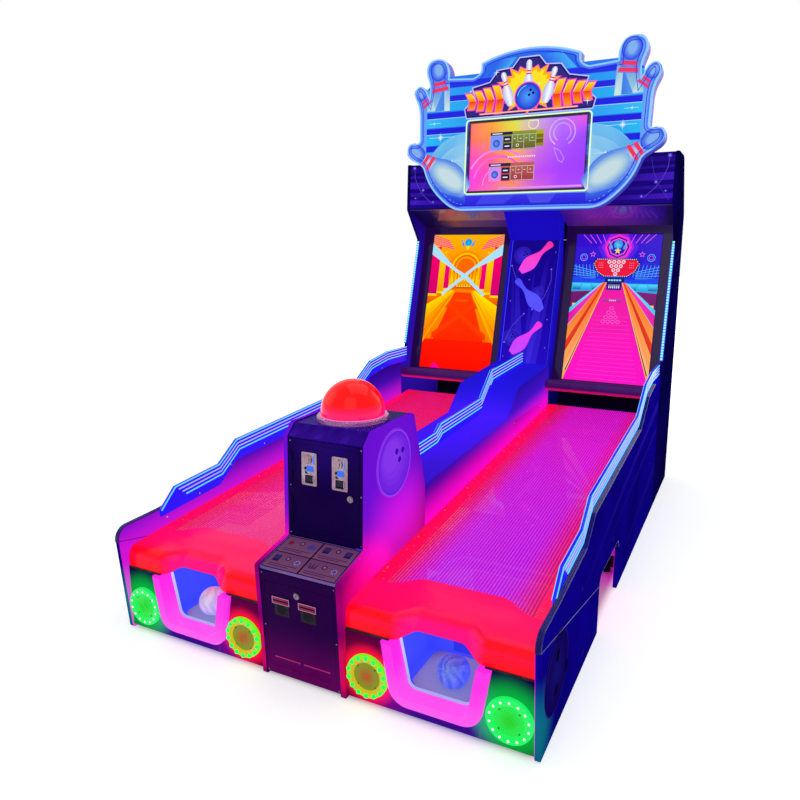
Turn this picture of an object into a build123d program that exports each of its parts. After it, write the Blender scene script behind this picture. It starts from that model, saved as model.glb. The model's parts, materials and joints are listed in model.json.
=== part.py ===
from build123d import *
import math
import os

# Twin-lane bowling machine. Millimetres, +Z up, the players stand on the -Y side.
# While the parts are built, y is measured from the noses of the side panels;
# save() shifts every part so that the origin is the bottom centre of the whole machine.

os.makedirs("parts", exist_ok=True)

# ---------------------------------------------------------------- driving sizes
overall_width = 1700.0
overall_depth = 2900.0
board = 18.0            # thickness of the side boards
sheet = 4.0             # thickness of moulded and folded skins
fit_gap = 0.1           # clearance round a part let into another

core_half_width = 174.0     # half the width of the coin cabinet and of the divider
housing_depth = 610.0       # length of the rear housing along the floor
housing_height = 2037.0     # top of the rear housing
nose_height = 428.0         # top of the rounded nose of a side panel
nose_lean = 36.0            # how far the nose overhangs the foot
nose_radius = 48.0
foot_radius = 12.0

rail_height = 68.0          # clear light guide that shows above a board
rail_thickness = 10.0
rail_overlap = 30.0         # light guide hidden behind the board

lane_front = (216.0, 358.0)     # (y, z) of the lane's front top edge
lane_rise = 176.0               # from the front edge to the far edge
lane_end_gap = 503.0            # from the lane's far edge to the back of the housing
lane_thickness = 20.0
lane_border = 62.0              # smooth strip along each side of a lane
rib_pitch = 12.0
rib_depth = 2.0
rib_flank = 1.5
rib_floor = 3.5

ball_diameter = 110.0
tray_floor = 76.0
fascia_y = 40.0             # front face of the fascia boards
lamp_radius = 76.5
lamp_height = 112.0         # height of the lamps' centres above the floor
lamp_depth = 14.0
lamp_dish = (0.6, 4.0)      # share of the lamp's radius, and depth
lamp_button = (0.42, 5.0)   # share of the lamp's radius, and height

screen_lean = 15.1          # degrees back from upright
screen_width = 524.0        # visible picture of a lane screen
screen_height = 928.0
screen_bottom = (2433.0 - 2900.0, 694.0)    # (y from the back, z) of the picture's lower edge

marquee_lean = 3.6
marquee_bottom = (2289.0 - 2900.0, 1727.0)  # (y from the back, z) of the sign's lower edge
marquee_height = 915.0
marquee_depth = 70.0
marquee_picture = (710.0, 398.0)
dome_radius = 118.0

# ---------------------------------------------------------------- worked-out places
half_width = overall_width / 2
back = overall_depth
seam = back - housing_depth
wall_x = half_width - board             # inner face of a side board
lane_mid = (core_half_width + wall_x) / 2
lane_back = (back - lane_end_gap, lane_front[1] + lane_rise)
lane_angle = math.degrees(math.atan2(lane_rise, lane_back[0] - lane_front[0]))
lane_length = math.hypot(lane_rise, lane_back[0] - lane_front[0])
lane_width = wall_x - core_half_width


def lane_z(y):
    """Height of the lane's top face at y."""
    return lane_front[1] + (y - lane_front[0]) * math.tan(math.radians(lane_angle))


# ---------------------------------------------------------------- helpers
def yz_plate(points, x0, x1, radii=None):
    """A plate between two x values from an outline drawn as (y, z) points."""
    line = FilletPolyline(*points, radius=radii, close=True) if radii else Polyline(*points, close=True)
    return extrude(Plane.YZ.offset(x0) * make_face(line), amount=x1 - x0)


def block(x, y, z):
    """A box from three (low, high) pairs."""
    size = [pair[1] - pair[0] for pair in (x, y, z)]
    middle = [(pair[0] + pair[1]) / 2 for pair in (x, y, z)]
    return Pos(*middle) * Box(*size)


def shifted_line(points, distance):
    """The polyline moved sideways by a distance, to the left of its direction."""
    moved = []
    last = len(points) - 1
    for i, point in enumerate(points):
        before = points[max(i - 1, 0)]
        after = points[min(i + 1, last)]
        ends = ((before, point) if i > 0 else (point, after), (point, after) if i < last else (before, point))
        angles = [math.atan2(b[1] - a[1], b[0] - a[0]) for a, b in ends]
        middle = (angles[0] + angles[1]) / 2 + math.pi / 2
        reach = distance / math.cos((angles[1] - angles[0]) / 2)
        moved.append((point[0] + reach * math.cos(middle), point[1] + reach * math.sin(middle)))
    return moved


def bent_sheet(points, thickness, x0, x1):
    """A folded sheet whose outer face follows (y, z) points; its metal lies to their right."""
    return yz_plate(list(points) + shifted_line(points, -thickness)[::-1], x0, x1)


def leaning_plane(y, z, lean):
    """A plane that faces the players, local x along X and local y up a face that leans back."""
    tilt = math.radians(lean)
    return Plane(origin=(0, y, z), x_dir=(1, 0, 0), z_dir=(0, -math.cos(tilt), math.sin(tilt)))


def leaning_y(plane, lean, z):
    """y of a leaning plane's face at a height."""
    return plane.origin.Y + (z - plane.origin.Z) * math.tan(math.radians(lean))


def slab(plane, x, v, w):
    """A box on a leaning plane: x across, v up the face and w out of it."""
    local = block(x, v, w)
    return plane * local


def both_sides(part):
    """The part and its mirror image, as two separate solids."""
    return Compound([part, mirror(part, about=Plane.YZ)])


# ---------------------------------------------------------------- side boards and light guides
rail_line = [
    (206.0, nose_height + 9),
    (286.0, 513.0),
    (545.0, 535.0),
    (664.0, 621.0),
    (seam - 627, 691.0),
    (seam - 413, 814.0),
    (seam - 199, 844.0),
    (seam + 60, 844.0),
]
board_line = [rail_line[0]] + [(y, z - rail_height) for y, z in rail_line[1:-1]]
board_top = board_line[-1][1]
cutout_y = (806.0, 1206.0)      # pallet-truck opening at the foot of each side board
cutout_height = 240.0


def side_panel():
    """Front side board with its rounded nose, stepped top edge and pallet-truck opening."""
    outline = [(nose_lean, 0), (0, nose_height)] + board_line + [(seam, board_top), (seam, 0)]
    radii = [foot_radius, nose_radius] + [20.0] * len(board_line) + [0, 0]
    radii[2] = 0
    plate = yz_plate(outline, wall_x, half_width, radii)
    y0, y1 = cutout_y
    opening = [(y0, -10), (y0, cutout_height), (y1, cutout_height), (y1, -10)]
    return plate - yz_plate(opening, wall_x - 1, half_width + 1, [0, 40.0, 40.0, 0])


def side_light():
    """Clear guide that stands above the side board and follows its steps."""
    lower = [(y, z - rail_overlap) for y, z in board_line] + [(seam + 60, board_top - rail_overlap)]
    return yz_plate(rail_line + lower[::-1], wall_x - rail_thickness, wall_x)


housing_front = [       # (y from the back, z) of the housing's front edge, from the bottom up
    (-544.0, board_top),
    (-330.0, 1554.0),
    (-482.0, 1748.0),
    (-466.0, housing_height),
]
roof_back = (-210.0, housing_height)
slope_foot = (0.0, 1710.0)


def housing_y(points):
    """Turn y values measured from the back into y values from the noses."""
    return [(back + y, z) for y, z in points]


def rear_side():
    """Side board of the rear housing, with the leaning front edge and the sloped back."""
    outline = [(seam, 0), (seam, board_top)] + housing_y(housing_front + [roof_back, slope_foot, (0, 0)])
    return yz_plate(outline, wall_x, half_width, [0, 0, 60.0, 25.0, 25.0, 10.0, 60.0, 40.0, 0])


# ---------------------------------------------------------------- divider between the lanes
divider_front = 632.0
divider_line = [
    (divider_front, 566.0),
    (seam - 673, 613.0),
    (seam - 504, 750.0),
    (seam + 74, 789.0),
]
divider_skin = 15.0
divider_rail_line = [
    (divider_front + 8, 632.0),
    (1087.0, 652.0),
    (1141.0, 682.0),
    (seam - 640, 703.0),
    (seam - 481, 832.0),
    (seam + 60, 857.0),
]


def divider_shell():
    """Hollow box between the lanes, open below, whose top steps up towards the screens."""
    outside = divider_line + [(divider_line[-1][0], 12), (divider_front, 12)]
    inside = shifted_line(divider_line, -divider_skin)
    hollow = [(divider_front - 1, inside[0][1])] + inside[1:-1] + [(seam + 80, inside[-1][1])]
    hollow += [(seam + 80, 0), (divider_front - 1, 0)]
    body = yz_plate(outside, -core_half_width, core_half_width)
    return body - yz_plate(hollow, divider_skin - core_half_width, core_half_width - divider_skin)


def divider_light():
    """Clear guide along the middle of the divider, seen from both lanes."""
    ends = []
    for (y0, z0), (y1, z1), y in (
        (*divider_line[:2], divider_rail_line[0][0]),
        (*divider_line[2:], divider_rail_line[-1][0]),
    ):
        ends.append((y, z0 + (y - y0) * (z1 - z0) / (y1 - y0)))
    foot = [ends[0]] + divider_line[1:-1] + [ends[1]]
    return yz_plate(divider_rail_line + foot[::-1], -rail_thickness / 2, rail_thickness / 2)


# ---------------------------------------------------------------- lanes
def lane_section_plane():
    """Plane across the lane at its front edge: local x across, local y out of the lane's face."""
    tilt = math.radians(lane_angle)
    front = (0, lane_front[0], lane_front[1])
    return Plane(origin=front, x_dir=(1, 0, 0), z_dir=(0, -math.cos(tilt), -math.sin(tilt)))


def lane():
    """Sloping lane with fine ribs along its length and a smooth strip at each side."""
    x0 = core_half_width
    x1 = wall_x
    ribs = int((lane_width - 2 * lane_border) // rib_pitch)
    start = lane_mid - ribs * rib_pitch / 2
    top = [(x0, 0)]
    for i in range(ribs):
        left = start + i * rib_pitch
        right = left + 2 * rib_flank + rib_floor
        top += [(left, 0), (left + rib_flank, -rib_depth), (right - rib_flank, -rib_depth), (right, 0)]
    section = make_face(Polyline(*top, (x1, 0), (x1, -lane_thickness), (x0, -lane_thickness), close=True))
    return extrude(lane_section_plane() * section, amount=-lane_length)


bearer_shares = (0.12, 0.38, 0.64, 0.9)    # places of the bearers along the lane
bearer_size = (30.0, 45.0)                 # length along the lane and height


def lane_bearers():
    """Cross bearers that carry a lane between the divider and the side board."""
    plane = lane_section_plane()
    bars = []
    length, height = bearer_size
    for share in bearer_shares:
        near = share * lane_length
        v = (-lane_thickness - height, -lane_thickness)
        bar = block((core_half_width, wall_x), v, (-near - length, -near))
        bars.append(plane * bar)
    return bars


# ---------------------------------------------------------------- fascia, apron and ball tray
lip_z = 264.0               # lower edge of the apron
gasket = 6.0
fold_z = 340.0              # edge between the apron's front and top
scoop_half = (166.0, 96.0)  # half widths of the apron's scoop at its mouth and at its back
scoop_depth = 70.0
scoop_rise = 40.0
scoop_corner = 45.0
apron_edge = 22.0           # radius of the fold along the apron's front
apron_front = fascia_y + 4
opening_half = (146.0, 116.0)   # inside half widths of the ball opening, top and bottom
opening_floor = 84.0
opening_corner = 34.0
fascia_foot = 14.0          # gap between the fascia and the floor
trim_width = 38.0
trim_step = 12.0            # how far the trim's tail is narrower than its face
trim_chamfer = 10.0
trim_front = 18.0
trim_back = 84.0
tray_half = 166.0
tray_back = 336.0
tray_wall = 6.0
tray_door_top = 222.0       # top of the hole in the tray's back
channel_half = 66.0         # half the inside width of the return channel


def apron_plan(inset):
    """Plan outline of the apron, drawn as (x, y), with the scoop in its front."""
    mouth = scoop_half[0] + inset * 0.5
    inner = scoop_half[1] + inset * 0.5
    front = apron_front + inset
    deep = apron_front + scoop_depth + inset
    x0 = core_half_width + inset
    x1 = wall_x - inset
    points = [(x0, front), (lane_mid - mouth, front), (lane_mid - inner, deep), (lane_mid + inner, deep)]
    rear = lane_front[0] - inset
    points += [(lane_mid + mouth, front), (x1, front), (x1, rear), (x0, rear)]
    return make_face(FilletPolyline(*points, radius=[0] + [scoop_corner] * 4 + [0] * 3, close=True))


def apron():
    """Moulded skirt in front of a lane, with the scoop over the ball opening."""
    top_slope = (lane_front[1] - fold_z) / (lane_front[0] - apron_front)
    section = [(0, lip_z), (0, fold_z - apron_front * top_slope), lane_front, (lane_front[0], lip_z)]
    outside = extrude(Pos(0, 0, lip_z) * apron_plan(0), amount=200)
    outside = outside & yz_plate(section, core_half_width, wall_x)
    high = [e for e in outside.edges() if e.center().Z > fold_z - 8]
    front_top = [e for e in high if e.center().Y < lane_front[0] - 20]
    front_top = [e for e in front_top if core_half_width + 1 < e.center().X < wall_x - 1]
    outside = fillet(front_top, apron_edge)
    under = [(y, z - sheet) for y, z in section]
    inside = extrude(Pos(0, 0, lip_z - 30) * apron_plan(sheet), amount=230)
    inside = inside & yz_plate([(0, 200), under[1], under[2], (lane_front[0], 200)], 0, wall_x)
    mouth = [
        (lane_mid - scoop_half[0] - 10, lip_z - 1),
        (lane_mid - scoop_half[1], lip_z + scoop_rise),
        (lane_mid + scoop_half[1], lip_z + scoop_rise),
        (lane_mid + scoop_half[0] + 10, lip_z - 1),
    ]
    mouth_face = make_face(FilletPolyline(*mouth, radius=[0, 30, 30, 0], close=True))
    cut = extrude(Plane.XZ * mouth_face, amount=-160)
    return outside - inside - cut


def opening_outline(grow, top):
    """Ball opening drawn as (x, z), grown outwards, up to a given height."""
    flare = (opening_half[0] - opening_half[1]) / (lip_z - opening_floor)
    low = opening_half[1] + grow
    floor = opening_floor - grow
    high = low + flare * (top - floor)
    left = [(lane_mid - high, top), (lane_mid - low, floor)]
    right = [(lane_mid + low, floor), (lane_mid + high, top)]
    corner = opening_corner + grow
    return make_face(FilletPolyline(*left, *right, radius=[0, corner, corner, 0], close=True))


def upright_prism(face, y0, y1):
    """Extrude a face drawn as (x, z) from y0 to y1."""
    return extrude(Plane.XZ.offset(-y0) * face, amount=y0 - y1)


def fascia():
    """Front board below the apron, open where the balls come back."""
    plate = block((core_half_width, wall_x), (fascia_y, fascia_y + board), (fascia_foot, lip_z - gasket))
    hole = opening_outline(trim_width - trim_step + fit_gap, 300)
    return plate - upright_prism(hole, fascia_y - 5, fascia_y + board + 5)


def opening_trim():
    """U-shaped glowing frame round the ball opening, proud of the fascia and hollowed to the tray."""
    top = lip_z - gasket
    proud = upright_prism(opening_outline(trim_width, top), trim_front, fascia_y)
    edges = [e for e in proud.edges() if e.center().Y < trim_front + 0.1 and e.center().Z < top - 1]
    proud = chamfer(edges, trim_chamfer)
    tail = upright_prism(opening_outline(trim_width - trim_step, top), fascia_y, trim_back)
    return proud + tail - upright_prism(opening_outline(0, top + 20), trim_front - 5, trim_back + 5)


def apron_gasket():
    """Dark strips between the apron's lip and the fascia."""
    y = (fascia_y, fascia_y + board)
    z = (lip_z - gasket, lip_z)
    inner = block((core_half_width, lane_mid - scoop_half[0]), y, z)
    outer = block((lane_mid + scoop_half[0], wall_x), y, z)
    return [inner, outer]


def ball_tray():
    """Basin behind the opening where the returned balls wait; its back lets the ball in."""
    x = (lane_mid - tray_half, lane_mid + tray_half)
    outer = block(x, (fascia_y + board, tray_back), (tray_floor - tray_wall, lip_z - gasket - 2))
    inside = (x[0] + tray_wall, x[1] - tray_wall)
    inner = block(inside, (fascia_y + board - 1, tray_back - tray_wall), (tray_floor, lip_z))
    door_x = (lane_mid - channel_half, lane_mid + channel_half)
    door = block(door_x, (tray_back - tray_wall - 1, tray_back + 1), (tray_floor + 4, tray_door_top))
    seat = upright_prism(opening_outline(trim_width - trim_step + fit_gap, 300), fascia_y, trim_back)
    return outer - inner - door - seat


def lamp(x):
    """Round fascia lamp: a shallow dish with a raised rim and a domed centre."""
    rim = Cylinder(lamp_radius, lamp_depth)
    rim = fillet(rim.edges().group_by(Axis.Z)[-1], 5)
    dish_share, dish_depth = lamp_dish
    button_share, button_height = lamp_button
    dish = Pos(0, 0, lamp_depth / 2) * Cylinder(lamp_radius * dish_share, 2 * dish_depth)
    button = Pos(0, 0, lamp_depth / 2 - 6) * Cylinder(lamp_radius * button_share, button_height)
    button = fillet(button.edges().group_by(Axis.Z)[-1], 2)
    part = rim - dish + button
    return Pos(x, fascia_y - lamp_depth / 2, lamp_height) * Rot(90, 0, 0) * part


# ---------------------------------------------------------------- coin cabinet
cabinet_line = [
    (31.0, 0.0),
    (12.0, 426.0),
    (184.0, 468.0),
    (197.0, 838.0),
    (241.0, 881.0),
    (537.0, 885.0),
    (divider_front, 566.0),
    (divider_front, 0.0),
]
cabinet_x = core_half_width - board     # inner face of the cabinet's side boards
coin_lean = math.degrees(math.atan2(13.0, 370.0))
ticket_lean = -math.degrees(math.atan2(19.0, 426.0))
coin_plane = leaning_plane(cabinet_line[2][0] + 4, cabinet_line[2][1], coin_lean)
ticket_plane = leaning_plane(cabinet_line[0][0] + 4, 0.0, ticket_lean)
frame_depth = 15.0
door_half = 140.0
coin_door_v = (24.0, 348.0)
ticket_door_v = (44.0, 372.0)
door_gap = 1.5
door_return = 14.0
door_skin = 2.5
door_fold = 2.0             # thickness of the folded edges
lock_radius = 9.0
coin_lock = (105.0, 176.0)      # (x, v) of each lock on its door
ticket_lock = (-4.0, 342.0)
ball_mark = (379.0, 732.0)  # (y, z) of the roundel's centre
ball_mark_radius = 124.0
ball_mark_holes = ((395.0, 770.0), (415.0, 735.0), (440.0, 765.0))
ball_mark_hole_radius = 12.0
ball_mark_relief = 3.0


def coin_side():
    """Side board of the coin cabinet with a raised bowling-ball roundel."""
    plate = yz_plate(cabinet_line, cabinet_x, core_half_width, [8.0, 12.0, 0, 12.0, 12.0, 20.0, 0, 0])
    mark = Plane.YZ.offset(core_half_width) * Pos(*ball_mark) * Circle(ball_mark_radius)
    relief = extrude(mark, amount=ball_mark_relief)
    relief = chamfer(relief.edges().group_by(Axis.X)[-1], ball_mark_relief / 2)
    for y, z in ball_mark_holes:
        relief -= Pos(core_half_width, y, z) * Rot(0, 90, 0) * Cylinder(ball_mark_hole_radius, 10)
    return plate + relief


cover_line = [(200.0, 836.0), (243.0, 877.5), (535.0, 881.5), (628.0, 568.0)]


def coin_top_cover():
    """Folded cover over the chamfer, the flat top and the sloping back."""
    return bent_sheet(cover_line, sheet, -cabinet_x, cabinet_x)


def front_frame(plane, v0, v1, door_v):
    """Rectangular frame round one of the coin cabinet's doors."""
    rim = slab(plane, (-cabinet_x, cabinet_x), (v0, v1), (-frame_depth, 0))
    return rim - slab(plane, (-door_half, door_half), door_v, (-frame_depth - 1, 1))


def door_pan(plane, door_v):
    """Door skin with folded edges."""
    half = door_half - door_gap
    v = (door_v[0] + door_gap, door_v[1] - door_gap)
    outer = slab(plane, (-half, half), v, (-door_return, 0))
    inside = ((door_fold - half, half - door_fold), (v[0] + door_fold, v[1] - door_fold))
    inner = slab(plane, *inside, (-door_return - 1, -door_skin))
    return outer - inner


def rod(plane, x, v, w, radius, length, axis):
    """A round bar on a leaning plane, along its own x, v or w direction."""
    turn = {"x": Rot(0, 90, 0), "v": Rot(90, 0, 0), "w": Rot(0, 0, 0)}[axis]
    return plane * (Pos(x, v, w) * turn * Cylinder(radius, length))


mech_x = 64.0           # centre of each coin mechanism from the middle
mech_v = 261.0
mech_size = (64.0, 120.0)
button_v = mech_v + 4
flap_v = mech_v - 38
flap_size = (30.0, 26.0)
flap_pin = 1.5
flap_pin_w = 2.5
hinge_radius = 4.0
hinge_pin = 2.0
hinge_w = hinge_radius + 0.3    # hinge axis in front of the frame's face
hinge_share = 0.4               # share of a hinge's length taken by the door's barrel
leaf_width = 12.0
coin_spans = ((52, 156), (214, 318))
ticket_spans = ((-112, -10), (10, 112))


def span_block(plane, along, across, span, w):
    """A box on a plane whose long side runs along x or v."""
    return slab(plane, span, across, w) if along == "x" else slab(plane, across, span, w)


def knuckle(plane, edge, span, along):
    """Barrel and leaf of a hinge on its door; edge is the hinge line across the span."""
    middle = (span[0] + span[1]) / 2
    reach = (span[1] - span[0]) * hinge_share / 2
    spot = (middle, edge) if along == "x" else (edge, middle)
    barrel = rod(plane, *spot, hinge_w, hinge_radius, 2 * reach, along)
    leaf = span_block(plane, along, (edge + 0.6, edge + leaf_width), (middle - reach, middle + reach), (0, 3))
    web = (edge + 0.6, edge + 2.6)
    leaf += span_block(plane, along, web, (middle - reach, middle + reach), (0, hinge_w))
    return barrel + leaf - rod(plane, *spot, hinge_w, hinge_pin + 0.05, 2 * reach + 2, along)


def fixed_hinge(plane, edge, span, along):
    """Pin of a hinge with the two end blocks that hold it to the frame."""
    middle = (span[0] + span[1]) / 2
    reach = (span[1] - span[0]) * hinge_share / 2 + 1
    spot = (middle, edge) if along == "x" else (edge, middle)
    part = rod(plane, *spot, hinge_w, hinge_pin, span[1] - span[0], along)
    across = (edge - 9, edge - 1.2)
    for piece in ((span[0], middle - reach), (middle + reach, span[1])):
        part += span_block(plane, along, across, piece, (0, hinge_w + 3.5))
    return part


def coin_door():
    """Upper door that carries both coin mechanisms."""
    door = door_pan(coin_plane, coin_door_v)
    for side in (-1, 1):
        x = side * mech_x
        door -= slab(coin_plane, (x - 26, x + 26), (mech_v - 54, mech_v + 54), (-20, 5))
    door -= rod(coin_plane, *coin_lock, -5, lock_radius + 0.5, 40, "w")
    for span in coin_spans:
        door += knuckle(coin_plane, -door_half + 1, span, "v")
    return door


def coin_bezel(side):
    """Cast plate of a coin mechanism: coin slot hood, reject button hole and return mouth."""
    x = side * mech_x
    half = mech_size[0] / 2
    tall = mech_size[1] / 2
    plate = slab(coin_plane, (x - half, x + half), (mech_v - tall, mech_v + tall), (0.3, 5.0))
    plate = fillet(plate.edges().filter_by(Axis(coin_plane.origin, coin_plane.z_dir)), 6)
    hood = rod(coin_plane, x - 6, mech_v + 34, 7, 17, 6, "w")
    hood -= rod(coin_plane, x - 6, mech_v + 34, 9, 12, 8, "w")
    hood -= slab(coin_plane, (x - 40, x - 10), (mech_v, mech_v + 60), (4.9, 20))
    slot = slab(coin_plane, (x - 1.5, x + 1.5), (mech_v + 20, mech_v + 48), (-5, 12))
    button = slab(coin_plane, (x - 9.5, x + 17.5), (button_v - 12.5, button_v + 8.5), (-5, 12))
    mouth_x = (x - flap_size[0] / 2 - 1, x + flap_size[0] / 2 + 1)
    mouth_v = (flap_v - flap_size[1] / 2 - 2, flap_v + flap_size[1] / 2 + 3)
    mouth = slab(coin_plane, mouth_x, mouth_v, (-5, 12))
    bore = rod(coin_plane, x, flap_v + flap_size[1] / 2, flap_pin_w, flap_pin + 0.05, flap_size[0] + 12, "x")
    return plate + hood - slot - button - mouth - bore


def coin_acceptor(side):
    """Coin mechanism body behind the bezel, inside the door."""
    x = side * mech_x
    body = slab(coin_plane, (x - 25, x + 25), (mech_v - 52, mech_v + 52), (-70, 0.3))
    button_room = slab(coin_plane, (x - 12, x + 20), (button_v - 15, button_v + 11), (-14, 5))
    flap_room = slab(coin_plane, (x - 18, x + 18), (flap_v - 18, flap_v + 20), (-34, 5))
    slot = slab(coin_plane, (x - 2, x + 2), (mech_v + 20, mech_v + 48), (-60, 5))
    return body - button_room - flap_room - slot


def reject_button(side):
    """Wedge-shaped reject button that is pushed in against its spring."""
    x = side * mech_x
    wedge = [(button_v - 12, -8), (button_v - 12, 9), (button_v + 8, 5.5), (button_v + 8, -8)]
    local = Plane.YZ.offset(x - 9) * make_face(Polyline(*wedge, close=True))
    return coin_plane * extrude(local, amount=26)


def return_flap(side):
    """Flap over the coin return, hung on its top edge, with a finger lip along the bottom."""
    x = side * mech_x
    half = flap_size[0] / 2
    low = flap_v - flap_size[1] / 2
    high = flap_v + flap_size[1] / 2
    plate = slab(coin_plane, (x - half, x + half), (low, high), (1.4, 3.4))
    plate += slab(coin_plane, (x - half, x + half), (low, low + 3), (1.4, 9.4))
    return plate + rod(coin_plane, x, high, flap_pin_w, flap_pin, flap_size[0] + 10, "x")


def cam_lock(plane, place, cam):
    """Key lock: a barrel through the door skin and a flat cam behind it."""
    x, v = place
    barrel = rod(plane, x, v, -6, lock_radius, 22, "w")
    flange = rod(plane, x, v, 2, lock_radius + 3, 3, "w")
    keyway = slab(plane, (x - 1, x + 1), (v - 5, v + 5), (2, 6))
    arm = slab(plane, (x - 6, x + 6), (v - 8, v + cam), (-20, -17))
    return barrel + flange + arm - keyway


def coin_front_frame():
    """Frame of the coin door with its fixed hinge parts."""
    frame = front_frame(coin_plane, 4, 362, coin_door_v)
    for span in coin_spans:
        frame += fixed_hinge(coin_plane, -door_half + 1, span, "v")
    return frame


def ticket_frame():
    """Frame of the ticket door with its fixed hinge parts along the bottom."""
    frame = front_frame(ticket_plane, 12, 408, ticket_door_v)
    for span in ticket_spans:
        frame += fixed_hinge(ticket_plane, ticket_door_v[0] + 1, span, "x")
    return frame


slot_centres = (-72.0, 38.0)
slot_v = 308.0
roller_radius = 14.0
shaft_radius = 3.0
roller_spot = (slot_v - 17.5, -53.0)    # (v, w) of the feed rollers' axis


def ticket_door():
    """Lower door, hinged at the bottom, with the two ticket slots."""
    door = door_pan(ticket_plane, ticket_door_v)
    for x in slot_centres:
        door -= slab(ticket_plane, (x - 32, x + 32), (slot_v - 60, slot_v + 9), (-20, 5))
    door -= rod(ticket_plane, *ticket_lock, -5, lock_radius + 0.5, 40, "w")
    for span in ticket_spans:
        door += knuckle(ticket_plane, ticket_door_v[0] + 1, span, "x")
    return door


def ticket_bezel(x):
    """Ticket outlet: a raised slot frame with a scooped finger recess below it."""
    rim = slab(ticket_plane, (x - 36, x + 36), (slot_v - 13, slot_v + 13), (0.3, 4))
    rim = fillet(rim.edges().filter_by(Axis(ticket_plane.origin, ticket_plane.z_dir)), 4)
    rim -= slab(ticket_plane, (x - 30, x + 30), (slot_v - 2, slot_v + 2), (-5, 10))
    cup = slab(ticket_plane, (x - 31, x + 31), (slot_v - 59, slot_v - 13), (-13, 0.3))
    bowl = ticket_plane * (Pos(x, slot_v - 34, 14) * Sphere(24))
    throat = slab(ticket_plane, (x - 31, x + 31), (slot_v - 13, slot_v + 8), (-13, 0.3))
    throat -= slab(ticket_plane, (x - 30, x + 30), (slot_v - 2, slot_v + 2), (-20, 10))
    return rim + cup + throat - bowl


def ticket_dispenser(x):
    """Ticket dispenser behind its slot, with room for the feed roller."""
    body = slab(ticket_plane, (x - 40, x + 40), (slot_v - 95, slot_v + 20), (-120, -door_return))
    paper = slab(ticket_plane, (x - 30, x + 30), (slot_v - 2, slot_v + 2), (-121, -10))
    room = slab(ticket_plane, (x - 33, x + 33), (slot_v - 34, slot_v - 1), (-70, -37))
    shaft = rod(ticket_plane, x, *roller_spot, shaft_radius + 0.05, 90, "x")
    return body - paper - room - shaft


def feed_roller(x):
    """Rubber feed roller on its shaft."""
    tyre = rod(ticket_plane, x, *roller_spot, roller_radius, 60, "x")
    shaft = rod(ticket_plane, x, *roller_spot, shaft_radius, 78, "x")
    return tyre + shaft


def instruction_panel():
    """Sloping shelf between the two doors."""
    (front_y, front_z), (rear_y, rear_z) = cabinet_line[1:3]
    outer = [(front_y + 4, front_z - 3), (rear_y + 3, rear_z - 1)]
    return bent_sheet(outer, 12.0, -cabinet_x, cabinet_x)


cabinet_floor_z = (52.0, 70.0)
cash_box_half = 110.0
cash_box_wall = 3.0
cash_box_y = (230.0, 480.0)
cash_box_z = (cabinet_floor_z[1], 250.0)


def cash_box():
    """Lift-out cash box on the floor of the coin cabinet."""
    half, wall = cash_box_half, cash_box_wall
    box = block((-half, half), cash_box_y, cash_box_z)
    inside_y = (cash_box_y[0] + wall, cash_box_y[1] - wall)
    return box - block((wall - half, half - wall), inside_y, (cash_box_z[0] + wall, cash_box_z[1] + 1))


def cabinet_floor():
    """Floor board of the coin cabinet."""
    return block((-cabinet_x, cabinet_x), (70, divider_front), cabinet_floor_z)


# ---------------------------------------------------------------- warning dome
dome_y = 385.0
cover_top_z = cover_line[2][1]
flange = (15.0, 16.0)       # how far the ring stands out past the dome, and its height
dome_top_z = cover_top_z + 12   # top of the flange ring, where the dome stands
dome_skirt = 14.0
dome_wall = 3.5


def beacon_base():
    """Clear flange ring under the dome, cut to the slight slope of the cover."""
    ring = Pos(0, dome_y, dome_top_z - flange[1] / 2) * Cylinder(dome_radius + flange[0], flange[1])
    ring = fillet(ring.edges().group_by(Axis.Z)[-1], 4)
    (front_y, front_z), (rear_y, rear_z) = cover_line[1:3]
    slope = (rear_z - front_z) / (rear_y - front_y)
    ends = [(y, front_z + (y - front_y) * slope) for y in (0.0, divider_front)]
    below = [(divider_front, lip_z), (0.0, lip_z)]
    return ring - yz_plate(ends + below, -2 * dome_radius, 2 * dome_radius)


def beacon_dome():
    """Hollow dome with a short cylindrical skirt."""

    def half_section(radius):
        """Half of the dome's section at one radius, drawn as (x, z)."""
        arc = CenterArc((0, dome_skirt), radius, 0, 90)
        rest = Polyline((0, dome_skirt + radius), (0, 0), (radius, 0), (radius, dome_skirt))
        return make_face(Curve() + [arc, rest])

    section = half_section(dome_radius) - half_section(dome_radius - dome_wall)
    shell = revolve(Plane.XZ * section, axis=Axis.Z)
    return Pos(0, dome_y, dome_top_z) * shell


# ---------------------------------------------------------------- rear housing
screen_plane = leaning_plane(back + screen_bottom[0], screen_bottom[1], screen_lean)
column_half = core_half_width
column_board = 16.0
bezel_v = (-64.0, screen_height + 56)
bezel_depth = 15.0
monitor_depth = 55.0
screen_glass = 8.0          # front panel of a screen


def column_wall():
    """Board between the centre column and a screen bay."""
    points = housing_y([(-536.0, 200.0), (-536.0, 772.0)]) + housing_y(housing_front[1:3])
    points += [(back - 300, housing_front[2][1]), (back - 300, 200.0)]
    return yz_plate(points, column_half - column_board, column_half)


column_line = [(-523.0, 772.0), (-318.0, 1554.0), (-470.0, 1748.0)]


def column_face():
    """Folded front of the centre column, set back from the edges of its boards."""
    return bent_sheet(housing_y(column_line), 8.0, column_board - column_half, column_half - column_board)


def pin_outline(scale):
    """Outline of a bowling pin standing on the origin."""
    right = [(24, 0), (58, 120), (17, 245), (26, 330)]
    half = Spline(*[(x * scale, y * scale) for x, y in right], (0, 372 * scale),
                  tangents=[(0.45, 1), (-1, 0.05)])
    base = Line((0, 0), (24 * scale, 0))
    axis = Line((0, 372 * scale), (0, 0))
    face = make_face(Curve() + [base, half, axis])
    return face + mirror(face, about=Plane.YZ)


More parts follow.
